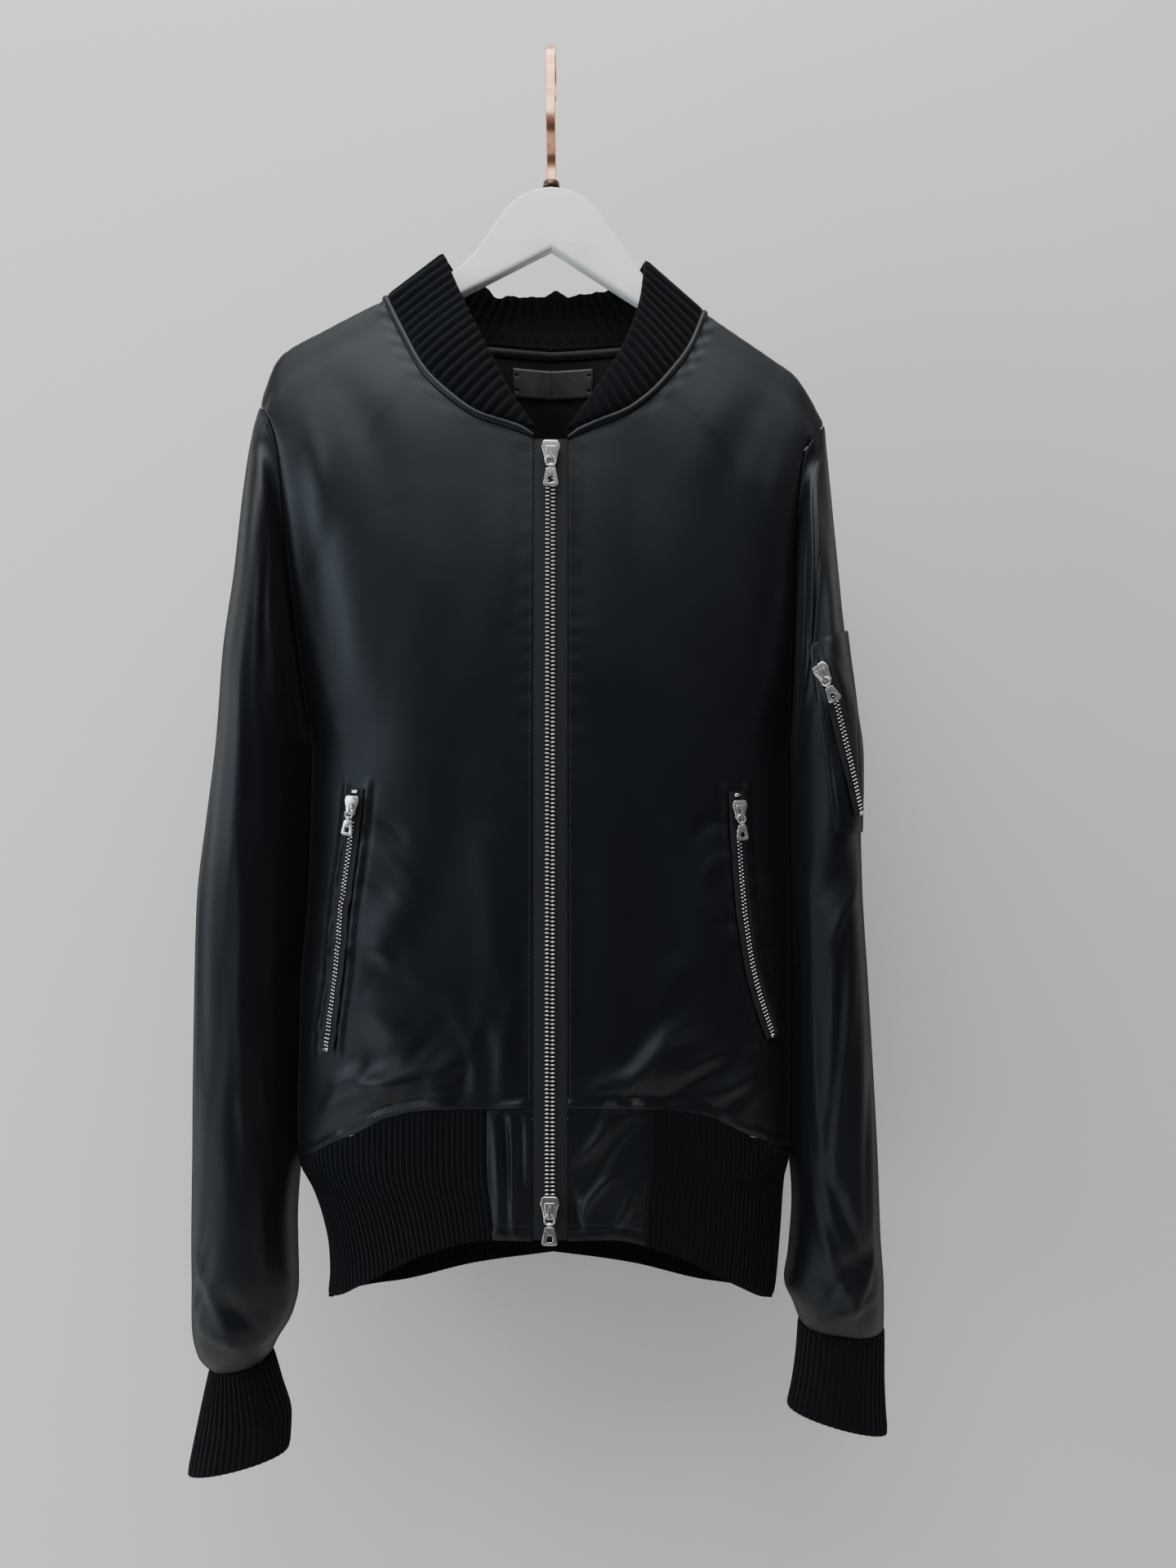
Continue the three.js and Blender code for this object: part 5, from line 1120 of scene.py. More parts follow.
class Finishes:
    """Every finish of the jacket, made once."""

    def __init__(self) -> None:
        """Build the shared groups and the materials."""
        weave, loops, wear = weave_group(), loops_group(), wear_group()
        self.satin = ClothFinish("Satin", (0.0036, 0.0043, 0.006), (0.0046, 0.0054, 0.0074), 0.33, 0.41,
                                 thread=0.00028, twill=0.5, sheen=0.02, anisotropic=0.3, wrinkle=0.0003,
                                 bump_strength=0.5, specular=0.22).build(weave)
        self.tape = ClothFinish("Zip tape", (0.004, 0.0044, 0.0055), (0.006, 0.0064, 0.0075), 0.7, 0.82,
                                thread=0.0009, twill=1.0, sheen=0.1, bump_strength=0.6).build(weave)
        self.thread = ClothFinish("Thread", (0.011, 0.012, 0.014), (0.02, 0.021, 0.024), 0.5, 0.6,
                                  thread=0.0004, sheen=0.15).build(weave)
        self.knit = KnitFinish("Rib knit", (0.0016, 0.0024, 0.0036), (0.0026, 0.0037, 0.0054), 0.86,
                               0.94).build(loops)
        self.leather = HardFinish("Label leather", (0.012, 0.012, 0.013), (0.02, 0.02, 0.021), 0.42, 0.55,
                                  grain=2600, bump_strength=0.4, bump_depth=0.0003).build(wear)
        self.metal = HardFinish("Zip metal", (0.66, 0.645, 0.62), (0.5, 0.485, 0.46), 0.17, 0.34, metallic=1,
                                patch=420, grain=2200, bump_strength=0.06, bump_depth=0.0001).build(wear)
        self.paint = HardFinish("Hanger paint", (0.82, 0.825, 0.8), (0.77, 0.775, 0.75), 0.34, 0.44,
                                coat=0.15, patch=30, grain=500, bump_strength=0.06).build(wear)
        self.copper = HardFinish("Copper strip", (0.78, 0.4, 0.27), (0.64, 0.3, 0.2), 0.22, 0.36, metallic=1,
                                 patch=120, grain=500, stretch=(6, 1, 1), bump_strength=0.12).build(wear)
        self.bronze = HardFinish("Ferrule bronze", (0.1, 0.062, 0.04), (0.06, 0.037, 0.026), 0.35, 0.5,
                                 metallic=0.8, patch=200).build(wear)


# Geometry node trees


def rib_tree() -> bpy.types.NodeTree:
    """Return the tree that raises ribs on both faces of a knitted wall.

    The wall carries three attributes: course, its own length round the piece; out, the direction
    that the ribs rise in; and raise, the share of their height, less beside a seam.
    """
    nodes, start, end = new_group(
        "Ribs", "GeometryNodeTree",
        [("Geometry", "NodeSocketGeometry", None), ("Pitch", "NodeSocketFloat", 0.004),
         ("Height", "NodeSocketFloat", 0.001), ("Roundness", "NodeSocketFloat", 0.7),
         ("Material", "NodeSocketMaterial", None)],
        [("Geometry", "NodeSocketGeometry")])

    def attribute(name: str, kind: str) -> bpy.types.NodeSocket:
        node = nodes.add("GeometryNodeInputNamedAttribute", data_type=kind)
        node.inputs["Name"].default_value = name
        return node.outputs[0]

    turns = nodes.math("DIVIDE", attribute("course", "FLOAT"), start.outputs["Pitch"])
    wave = nodes.math("COSINE", nodes.math("MULTIPLY", turns, math.tau))
    swell = nodes.math("MULTIPLY_ADD", wave, -0.5, 0.5)
    rounded = nodes.math("POWER", swell, start.outputs["Roundness"])
    height = nodes.math("MULTIPLY", rounded, start.outputs["Height"])
    raised = nodes.math("MULTIPLY", height, attribute("raise", "FLOAT"))
    offset = nodes.vector("SCALE", attribute("out", "FLOAT_VECTOR"))
    nodes.feed(offset.inputs["Scale"], raised)
    move = nodes.add("GeometryNodeSetPosition")
    nodes.feed(move.inputs["Geometry"], start.outputs["Geometry"])
    nodes.feed(move.inputs["Offset"], offset.outputs[0])
    finish_tree(nodes, start, end, move.outputs[0])
    return nodes.tree


def row_tree() -> bpy.types.NodeTree:
    """Return the tree that sets copies of a small piece along a path, such as zip teeth or stitches.

    The path is a line of vertices with the attribute out, the direction that looks off the cloth.
    A copy's own Y follows the path and its Z looks off the cloth.
    """
    nodes, start, end = new_group(
        "Row of copies", "GeometryNodeTree",
        [("Geometry", "NodeSocketGeometry", None), ("Piece", "NodeSocketObject", None),
         ("Spacing", "NodeSocketFloat", 0.0027), ("Start", "NodeSocketFloat", 0.0),
         ("Offset", "NodeSocketVector", (0, 0, 0)), ("Unevenness", "NodeSocketFloat", 0.0),
         ("Seed", "NodeSocketInt", 7), ("Material", "NodeSocketMaterial", None)],
        [("Geometry", "NodeSocketGeometry")])
    line = nodes.add("GeometryNodeMeshToCurve")
    nodes.feed(line.inputs[0], start.outputs["Geometry"])
    trim = nodes.add("GeometryNodeTrimCurve", mode="LENGTH")
    length = nodes.add("GeometryNodeCurveLength")
    nodes.feed(length.inputs[0], line.outputs[0])
    nodes.feed(trim.inputs["Curve"], line.outputs[0])
    lengths = [socket for socket in trim.inputs if socket.name in ("Start", "End") and socket.enabled]
    nodes.feed(lengths[0], start.outputs["Start"])
    nodes.feed(lengths[1], length.outputs[0])
    spots = nodes.add("GeometryNodeCurveToPoints", mode="LENGTH")
    nodes.feed(spots.inputs["Curve"], trim.outputs[0])
    nodes.feed(spots.inputs["Length"], start.outputs["Spacing"])
    out = nodes.add("GeometryNodeInputNamedAttribute", data_type="FLOAT_VECTOR")
    out.inputs["Name"].default_value = "out"
    turn = nodes.add("FunctionNodeAxesToRotation", primary_axis="Z", secondary_axis="Y")
    nodes.feed(turn.inputs[0], out.outputs[0])
    nodes.feed(turn.inputs[1], spots.outputs["Tangent"])
    source = nodes.add("GeometryNodeObjectInfo", transform_space="ORIGINAL")
    nodes.feed(source.inputs["Object"], start.outputs["Piece"])
    uneven = nodes.add("FunctionNodeRandomValue", data_type="FLOAT_VECTOR")
    low = nodes.math("SUBTRACT", 1.0, start.outputs["Unevenness"])
    high = nodes.math("ADD", 1.0, start.outputs["Unevenness"])
    nodes.feed(uneven.inputs[0], low)
    nodes.feed(uneven.inputs[1], high)
    nodes.feed(uneven.inputs["Seed"], start.outputs["Seed"])
    copies = nodes.add("GeometryNodeInstanceOnPoints")
    nodes.feed(copies.inputs["Points"], spots.outputs["Points"])
    nodes.feed(copies.inputs["Instance"], source.outputs["Geometry"])
    nodes.feed(copies.inputs["Rotation"], turn.outputs[0])
    nodes.feed(copies.inputs["Scale"], uneven.outputs[0])
    shift = nodes.add("GeometryNodeTranslateInstances")
    nodes.feed(shift.inputs[0], copies.outputs[0])
    nodes.feed(shift.inputs["Translation"], start.outputs["Offset"])
    finish_tree(nodes, start, end, shift.outputs[0])
    return nodes.tree


def finish_tree(nodes: Nodes, start: bpy.types.Node, end: bpy.types.Node,
                geometry: bpy.types.NodeSocket) -> None:
    """End a geometry tree in Realize Instances and Set Material."""
    real = nodes.add("GeometryNodeRealizeInstances")
    nodes.feed(real.inputs[0], geometry)
    coat = nodes.add("GeometryNodeSetMaterial")
    nodes.feed(coat.inputs["Geometry"], real.outputs[0])
    nodes.feed(coat.inputs["Material"], start.outputs["Material"])
    nodes.feed(end.inputs[0], coat.outputs[0])


def grow(obj: bpy.types.Object, tree: bpy.types.NodeTree, **values: object) -> bpy.types.Object:
    """Run a geometry tree on an object once and keep its result as a plain mesh.

    Args:
        obj: the object, whose mesh is the tree's geometry.
        tree: the tree to run.
        **values: the tree's inputs by name.

    Returns:
        The same object.
    """
    modifier = obj.modifiers.new("grow", "NODES")
    modifier.node_group = tree
    names = {item.name: item.identifier for item in tree.interface.items_tree if item.in_out == "INPUT"}
    for name, value in values.items():
        modifier[names[name]] = value
    graph = bpy.context.evaluated_depsgraph_get()
    mesh = bpy.data.meshes.new_from_object(obj.evaluated_get(graph), preserve_all_data_layers=True,
                                           depsgraph=graph)
    obj.modifiers.clear()
    old, obj.data = obj.data, mesh
    bpy.data.meshes.remove(old)
    mesh.name = obj.name
    return obj


# Pieces


@dataclass
class Workshop:
    """What the pieces share: the forms, the finishes, the trees and the frame."""

    frame: dict
    finishes: Finishes = field(default_factory=Finishes)
    body: BodyForm = field(default_factory=BodyForm)
    hem: HemForm = field(init=False)
    neck: NeckForm = field(init=False)
    sleeves: dict[Side, SleeveForm] = field(init=False)
    cuffs: dict[Side, CuffForm] = field(init=False)
    ribs: bpy.types.NodeTree = field(default_factory=rib_tree)
    rows: bpy.types.NodeTree = field(default_factory=row_tree)

    def __post_init__(self) -> None:
        """Make the forms that lean on the body's."""
        self.hem, self.neck = HemForm(self.body), NeckForm(self.body)
        self.sleeves = {Side.LEFT: left_sleeve(self.body), Side.RIGHT: right_sleeve(self.body)}
        self.cuffs = {
            Side.LEFT: CuffForm(Side.LEFT, (
                (0, 237, -910.6, 178, -907.6, 25), (0.35, 237, -937, 176.5, -928, 22),
                (0.75, 238, -967, 172.9, -953, 19), (1, 239.5, -986, 169.5, -967, 17))),
            Side.RIGHT: CuffForm(Side.RIGHT, (
                (0, 242.5, -937.6, 200.7, -930.6, 23), (0.3, 247, -957, 194.5, -950, 21),
                (0.7, 253.5, -988, 187.5, -975, 19), (1, 259, -1015, 188.5, -997.5, 17))),
        }

    def finish(self, obj: bpy.types.Object, material: bpy.types.Material, slot: str,
               nodes: Sequence[str] = (), body: str = ROOT) -> bpy.types.Object:
        """Give a piece its material and the body it moves with, and hide the solids it stands for.

        Args:
            obj: the piece.
            material: its finish.
            slot: the record's material slot; not used.
            nodes: the solids it stands for.
            body: the body it moves with.

        Returns:
            The piece.
        """
        obj.data.materials.clear()
        obj.data.materials.append(material)
        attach(obj, body)
        if nodes:
            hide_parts(*nodes)
        return obj

    def row(self, name: str, points: Array, out: Array, piece: bpy.types.Object, material: bpy.types.Material,
            slot: str, spacing: float, start: float = 0.0, offset: tuple[float, float, float] = (0, 0, 0),
            uneven: float = 0.0) -> bpy.types.Object:
        """Set copies of a small piece along a path.

        Args:
            name: the new piece's name.
            points: the path, in millimetres.
            out: the direction that looks off the cloth at each of its points.
            piece: the object to copy, modelled in metres.
            material: the copies' finish.
            slot: the record's material slot; not used.
            spacing: distance between copies, in millimetres.
            start: where the first copy is, in millimetres along the path.
            offset: where each copy stands off the path, in its own axes, in millimetres.
            uneven: share by which the copies' sizes differ.

        Returns:
            The copies as one piece.
        """
        mesh = bpy.data.meshes.new(name)
        mesh.from_pydata((points * MM).tolist(), [(i, i + 1) for i in range(len(points) - 1)], [])
        facing = mesh.attributes.new("out", "FLOAT_VECTOR", "POINT")
        facing.data.foreach_set("vector", out.reshape(-1).astype(np.float32))
        made = bpy.data.objects.new(name, mesh)
        bpy.context.scene.collection.objects.link(made)
        grow(made, self.rows, Piece=piece, Spacing=spacing * MM, Start=start * MM,
             Offset=tuple(v * MM for v in offset), Unevenness=uneven, Material=material)
        made.data.shade_smooth()
        made.data.set_sharp_from_angle(angle=math.radians(40))
        return self.finish(made, material, slot)

    def template(self, name: str, size: tuple[float, float, float], bevel: float) -> bpy.types.Object:
        """Return a small rounded block to copy, centred on its own base, hidden from the render."""
        shape = bmesh.new()
        bmesh.ops.create_cube(shape, size=1)
        bmesh.ops.scale(shape, vec=[v * MM for v in size], verts=shape.verts)
        bmesh.ops.bevel(shape, geom=shape.edges[:] + shape.verts[:], offset=bevel * MM, segments=1,
                        affect="EDGES")
        mesh = bpy.data.meshes.new(name)
        shape.to_mesh(mesh)
        shape.free()
        made = bpy.data.objects.new(name, mesh)
        bpy.context.scene.collection.objects.link(made)
        made.hide_render = True
        return made


def left_sleeve(body: BodyForm) -> SleeveForm:
    """Return the wearer's left sleeve, which carries the zipped pocket."""
    return SleeveForm(
        Side.LEFT, body,
        outer=((-267, 194.8), (-281, 196.4), (-318, 199.3), (-371, 203.6), (-400, 206), (-429, 209.4),
               (-459, 214.5), (-505, 220.5), (-529, 220.5), (-555, 218.5), (-593, 219.4), (-663, 224),
               (-780, 231), (-839, 233.4), (-879, 236.3), (-910, 237)),
        inner=((-480, 170.8), (-500, 169), (-550, 169.3), (-605, 170.3), (-660, 170.9), (-720, 170.3),
               (-770, 170), (-821, 173.2), (-862, 170.2), (-880, 167.3), (-891, 172), (-907, 178)),
        loops=((0, -267, -480, 17), (0.03, -277, -480.6, 24), (0.07, -292, -481.5, 34),
               (0.13, -320, -483, 44), (0.2, -362, -485.5, 50), (0.27, -405, -490, 53),
               (0.34, -448, -500, 54), (0.41, -492, -520, 53), (0.48, -540, -552, 52), (0.57, -605, -608, 50),
               (0.67, -680, -679, 47), (0.77, -757, -755, 45), (0.86, -826, -823, 43), (0.92, -868, -864, 40),
               (0.96, -891, -888, 35), (1, -910, -907, 26)),
        creases=(
            Crease(0.1, 0.04, 0.3, 0.192, 0.035, -4), Crease(0.5, 0.032, 0.56, 0.176, 0.02, -3),
            Crease(0.6, 0.072, 0.9, 0.096, 0.03, 3), Crease(0.88, 0.04, 0.92, 0.192, 0.014, -3),
            Crease(0.45, 0.312, 0.6, 0.416, 0.025, -4), Crease(0.2, 0.32, 0.3, 0.448, 0.03, -3),
            Crease(0.03, 0.07, 0.12, 0.2, 0.009, 2.6, 0.006),
            Crease(0.05, 0.05, 0.16, 0.13, 0.009, -2.2, -0.006),
            Crease(0.08, 0.13, 0.22, 0.2, 0.008, 2.2, 0.005), Crease(0.14, 0.09, 0.2, 0.19, 0.007, -2, 0.004),
            Crease(0.54, 0.05, 0.62, 0.17, 0.009, 2.2, 0.006), Crease(0.56, 0.1, 0.7, 0.13, 0.01, -2, 0.006),
            Crease(0.62, 0.14, 0.8, 0.17, 0.009, 2, -0.006),
            Crease(0.7, 0.06, 0.86, 0.09, 0.009, -1.8, 0.006),
            Crease(0.88, 0.06, 0.97, 0.12, 0.007, 2, 0.004),
            Crease(0.9, 0.13, 0.98, 0.18, 0.006, -1.8, -0.004),
            Crease(0.93, 0.05, 0.99, 0.2, 0.005, 1.8, 0.004), Crease(0.9, 0.3, 0.98, 0.42, 0.007, 2, 0.004),
            Crease(0.1, 0.36, 0.3, 0.4, 0.012, 2.4, 0.01), Crease(0.56, 0.33, 0.8, 0.38, 0.011, 2.2, -0.008),
            Crease(0.7, 0.42, 0.9, 0.4, 0.01, -2, 0.006), Crease(0.35, 0.3, 0.42, 0.45, 0.009, 2.2, 0.006),
            Crease(0.55, 0.19, 0.84, 0.16, 0.012, 3, 0.008), Crease(0.6, 0.21, 0.86, 0.2, 0.009, -3, 0.004),
            Crease(0.64, 0.1, 0.84, 0.15, 0.012, 2.6, 0.006),
            Crease(0.8, 0.17, 0.91, 0.07, 0.011, -3.2, 0.006),
            Crease(0.84, 0.19, 0.95, 0.1, 0.01, 2.8, 0.006), Crease(0.7, 0.04, 0.9, 0.07, 0.01, 2, 0.006),
        ))


def right_sleeve(body: BodyForm) -> SleeveForm:
    """Return the wearer's right sleeve."""
    return SleeveForm(
        Side.RIGHT, body,
        outer=((-254, 207.8), (-271, 213.5), (-295, 217), (-324, 220), (-371, 224), (-429, 231),
               (-488, 234.6), (-546, 242), (-605, 249), (-663, 251), (-780, 253), (-870, 254), (-905, 254.5),
               (-927, 250.4), (-937, 242.5)),
        inner=((-480, 173.4), (-500, 170.5), (-550, 171.3), (-600, 173.3), (-640, 176.6), (-669, 179.2),
               (-700, 179.2), (-720, 179.8), (-755, 181), (-775, 180.4), (-839, 183.7), (-886, 182.5),
               (-903, 186), (-919, 195.4), (-930, 200.7)),
        loops=((0, -254, -480, 17), (0.03, -265, -480.6, 24), (0.07, -282, -481.5, 34),
               (0.13, -312, -483, 44), (0.2, -356, -485.5, 50), (0.27, -402, -490, 54),
               (0.34, -448, -500, 56), (0.41, -494, -522, 56), (0.48, -542, -555, 55), (0.57, -608, -612, 53),
               (0.67, -686, -686, 50), (0.77, -766, -764, 48), (0.86, -840, -836, 46), (0.92, -889, -881, 42),
               (0.96, -915, -906, 36), (1, -937, -930, 24)),
        creases=(
            Crease(0.08, 0.056, 0.5, 0.128, 0.04, 4), Crease(0.5, 0.152, 0.85, 0.096, 0.035, 3),
            Crease(0.9, 0.032, 0.93, 0.192, 0.014, -3), Crease(0.3, 0.168, 0.45, 0.216, 0.03, -3),
            Crease(0.4, 0.336, 0.55, 0.432, 0.025, -4), Crease(0.75, 0.32, 0.8, 0.432, 0.02, -3),
            Crease(0.04, 0.09, 0.26, 0.15, 0.009, -2.4, 0.006),
            Crease(0.03, 0.13, 0.2, 0.2, 0.008, 2.4, -0.005),
            Crease(0.1, 0.16, 0.36, 0.205, 0.009, -2.2, 0.005), Crease(0.2, 0.1, 0.6, 0.12, 0.012, 2, 0.008),
            Crease(0.34, 0.07, 0.72, 0.085, 0.011, -1.9, -0.006),
            Crease(0.5, 0.13, 0.84, 0.15, 0.011, 2, 0.008), Crease(0.6, 0.17, 0.8, 0.19, 0.01, -1.9, 0.005),
            Crease(0.86, 0.05, 0.95, 0.13, 0.008, 2.2, 0.005),
            Crease(0.9, 0.12, 0.97, 0.2, 0.006, -2, -0.004),
            Crease(0.93, 0.06, 0.985, 0.19, 0.005, 1.9, 0.004), Crease(0.9, 0.3, 0.97, 0.42, 0.007, 2, 0.004),
            Crease(0.12, 0.36, 0.34, 0.4, 0.012, 2.3, 0.01),
            Crease(0.56, 0.34, 0.78, 0.39, 0.011, -2.2, 0.008),
            Crease(0.3, 0.3, 0.4, 0.44, 0.009, 2.2, 0.006), Crease(0.0, 0.16, 0.3, 0.19, 0.014, -3.4, 0.006),
            Crease(0.06, 0.1, 0.5, 0.16, 0.006, 1.8, 0.004), Crease(0.5, 0.19, 0.9, 0.2, 0.009, -2.4, 0.006),
            Crease(0.4, 0.05, 0.84, 0.055, 0.007, 2, 0.004), Crease(0.74, 0.15, 0.96, 0.19, 0.01, 2.6, 0.008),
            Crease(0.86, 0.1, 0.95, 0.03, 0.009, -2.6, 0.004),
        ))


@dataclass
class BodyPanels:
    """The two fronts and the back, each inside the four edges it is sewn along."""

    shop: Workshop
    underarm_share: float = 0.58
    neck_share: float = 0.72  # where a front's own edge ends and the neckline starts
    back_neck_share: float = 0.45
    tuck: float = 2.4  # how far the back goes up under the neck binding
    rows: int = 210
    columns: int = 84
    roll: float = 1.7  # the satin rolls over along the hem seam
    pockets: dict[Side, Rows] = field(default_factory=lambda: dict(POCKET_ROWS))
    front_cut: tuple[float, float] = (0.205, 0.6)
    back_cut: tuple[float, float] = (0.43, 0.61)

    def outer_edge(self, side: Side, share: Array) -> Array:
        """Return the side seam and then the armhole seam, seen from the front."""
        body, hem = self.shop.body, self.shop.hem
        bottom = hem.seam_line[Face.FRONT](body.half_width[side](-783)) + hem.seam_half
        z = np.where(share < self.underarm_share, mix(bottom, UNDERARM_Z, share / self.underarm_share),
                     mix(UNDERARM_Z, body.armhole_top[side],
                         (share - self.underarm_share) / (1 - self.underarm_share)))
        return np.stack([side.sign * (body.half_width[side](z) - SEAM_HALF), z], -1)

    def shoulder_edge(self, side: Side, share: Array) -> Array:
        """Return the shoulder seam from the neck to the top of the armhole."""
        start = self.shop.neck.line[side][0](self.shop.neck.side_at)
        x = mix(start, self.shop.body.outline[side][0][1] - SEAM_HALF, share)
        return np.stack([side.sign * x, self.shop.body.shoulder_line[side](x)], -1)

    def neck_edge(self, side: Side, at: Array) -> Array:
        """Return the neckline at places along the neck's table."""
        seam_x, seam_z = self.shop.neck.line[side][:2]
        return np.stack([side.sign * seam_x(at), seam_z(at)], -1)

    def inner_edge(self, side: Side, share: Array) -> Array:
        """Return a front's folded edge beside the zip and then its neckline."""
        top = self.neck_edge(side, np.array(0.0))[1]
        x = ZIP_X + side.sign * FRONT_EDGE
        foot = self.shop.hem.seam_line[Face.FRONT](abs(x)) + self.shop.hem.seam_half
        straight = np.stack([np.full(share.shape, x), mix(foot, top, share / self.neck_share)], -1)
        neck = self.neck_edge(side, np.clip((share - self.neck_share) / (1 - self.neck_share), 0, 1))
        return np.where((share >= self.neck_share)[..., None], neck, straight)

    @staticmethod
    def between(below: Array, above: Array, first: Array, last: Array, across: Array, up: Array) -> Array:
        """Return a grid inside four edges.

        Args:
            below: points of the lower edge, one a column.
            above: points of the upper edge, one a column.
            first: points of the first side, one a row.
            last: points of the last side, one a row.
            across: each column's share.
            up: each row's share.

        Returns:
            The grid, rows by columns by two.
        """
        a, u = across[None, :, None], up[:, None, None]
        edges = below[None] * (1 - u) + above[None] * u + first[:, None] * (1 - a) + last[:, None] * a
        corners = (below[0] * (1 - a) * (1 - u) + below[-1] * a * (1 - u)
                   + above[0] * (1 - a) * u + above[-1] * a * u)
        return edges - corners

    def panel(self, name: str, face: Face, flat: Array, sewn: str) -> bpy.types.Object:
        """Return one panel as a wall, with its seams pulled in and the hem seam's roll."""
        points = self.shop.body.points(face, flat[..., 0], flat[..., 1])
        outwards = np.zeros_like(points)
        outwards[..., 1] = face.value
        cloth = Cloth(name, points, grid_normals(points, False, outwards), SATIN)
        above = run_lengths(points, 0)
        uneven = 1 + 0.4 * np.sin(points[..., 0] / 8 + 2.2 * np.sin(points[..., 0] / 29))
        swell = self.roll * uneven * np.sin(np.pi * np.clip(above / 5.5, 0,
                                                            1)) - 0.9 * np.exp(-(((above - 7.5) / 2) ** 2))
        swell = swell * smooth(above / 0.8)
        if face is Face.FRONT:
            swell = swell + self.puckers(points) + self.lips(points)
        cloth.outer = cloth.outer + cloth.normals * swell[..., None]
        cloth.sink(sewn)
        half = np.where(points[..., 0] >= 0, self.shop.body.half_width[Side.LEFT](points[..., 2]),
                        self.shop.body.half_width[Side.RIGHT](points[..., 2])) - SEAM_HALF
        inner = cloth.outer - cloth.normals * SATIN
        for grid in (cloth.outer, inner):
            grid[..., 0] = np.clip(grid[..., 0], -half, half)
            grid[..., 1] = face.value * np.maximum(face.value * grid[..., 1], SEAM_HALF)
        cloth.inner = inner
        return cloth.build()

    def puckers(self, points: Array) -> Array:
        """Return the small uneven swells beside a front's folded and stitched edge."""
        away, z = run_lengths(points, 1), points[..., 2]
        wave = np.sin(z / 2.3 + 2 * np.sin(z / 17)) * (0.6 + 0.4 * np.sin(z / 41))
        stitched = -0.45 * np.exp(-(((away - 1.7) / 0.9) ** 2))
        return stitched + 0.5 * wave * np.exp(-(((away - 3.5) / 3.2) ** 2)) * smooth(away / 1.5)

    def lips(self, points: Array) -> Array:
        """Return the rounded lips that the satin makes on both sides of a pocket's zip."""
        x, z = points[..., 0], points[..., 2]
        total = np.zeros(x.shape)
        for side, rows in self.pockets.items():
            line = Curve(tuple((row[1], row[0]) for row in rows))
            away = np.abs(x - line(z)) * 0.985
            low, high = min(row[1] for row in rows), max(row[1] for row in rows)
            inside = smooth((z - low + 5) / 5) * smooth((high + 6 - z) / 5) * (x * side.sign > 0)
            wave = 1 + 0.35 * np.sin(z / 2.7 + side.sign) + 0.25 * np.sin(z / 7.9)
            lip = (1.5 * wave * np.exp(-(((away - 7.9) / 1.9) ** 2))
                   - 0.5 * np.exp(-(((away - 11.5) / 1.5) ** 2)))
            total += lip * inside
        return total

    def front(self, side: Side) -> bpy.types.Object:
        """Return one front."""
        share = np.linspace(0, 1, self.columns + 1)
        across = np.sin(share * math.pi / 2) ** 0.9
        up = 1 - (1 - np.linspace(0, 1, self.rows + 1)) ** 1.35
        start = ZIP_X + side.sign * FRONT_EDGE
        x = mix(start, self.outer_edge(side, np.array(0.0))[0], across)
        below = np.stack([x, self.shop.hem.seam_line[Face.FRONT](np.abs(x)) + self.shop.hem.seam_half], -1)
        flat = self.between(below, self.shoulder_edge(side, across), self.inner_edge(side, up),
                            self.outer_edge(side, up), across, up)
        made = self.panel(f"dressed_front_{side.value}", Face.FRONT, flat, "rb")
        self.shop.finish(made, self.shop.finishes.satin, "satin", [f"front_{side.value}"])
        return made

    def back(self) -> bpy.types.Object:
        """Return the back."""
        half = np.linspace(0, 1, self.columns + 1)
        up = 1 - (1 - np.linspace(0, 1, self.rows + 1)) ** 1.35
        columns = np.concatenate([-half[:0:-1], half])
        below, above = [], []
        for column in columns:
            side, share = (Side.LEFT if column >= 0 else Side.RIGHT), np.array(abs(column))
            x = side.sign * abs(self.outer_edge(side, np.array(0.0))[0]) * np.sin(share * math.pi / 2) ** 0.9
            below.append([x, self.shop.hem.seam_line[Face.BACK](abs(x)) + self.shop.hem.seam_half])
            if share >= self.back_neck_share:
                above.append(self.shoulder_edge(side,
                                                (share - self.back_neck_share) / (1 - self.back_neck_share)))
            else:
                edge = self.neck_edge(side, mix(self.shop.neck.back_at, self.shop.neck.side_at,
                                                share / self.back_neck_share))
                above.append(edge + [0, self.tuck * (1 - (share / self.back_neck_share) ** 6)])
        flat = self.between(np.array(below), np.array(above), self.outer_edge(Side.RIGHT, up),
                            self.outer_edge(Side.LEFT, up), (columns + 1) / 2, up)
        made = self.panel("dressed_back", Face.BACK, flat, "lrb")
        self.shop.finish(made, self.shop.finishes.satin, "satin", ["back"])
        return made


@dataclass
class Sleeves:
    """The two satin sleeves."""

    shop: Workshop
    rows: int = 210
    columns: int = 110
    cut: tuple[float, float] = (0.26, 0.64)

    def build(self, side: Side) -> bpy.types.Object:
        """Return one sleeve."""
        form = self.shop.sleeves[side]
        share = np.linspace(0, 1, self.rows + 1)
        at = mix(share**1.5, share, 0.35)
        turn = np.linspace(0, math.tau, self.columns, endpoint=False)
        points = form.points(at[:, None], turn[None, :])
        outwards = points - points.mean(axis=1, keepdims=True)
        cloth = Cloth(f"dressed_sleeve_{side.value}", points, grid_normals(points, True, outwards), SATIN,
                      closed=True)
        cloth.sink("tb", 0.8)
        inner = cloth.outer - cloth.normals * SATIN
        for grid in (cloth.outer, inner):
            near = self.shop.body.half_width[side](grid[..., 2]) + SEAM_HALF
            grid[..., 0] = side.sign * np.maximum(side.sign * grid[..., 0], near)
        cloth.inner = inner
        made = cloth.build()
        self.shop.finish(made, self.shop.finishes.satin, "satin", [f"sleeve_{side.value}"])
        return made


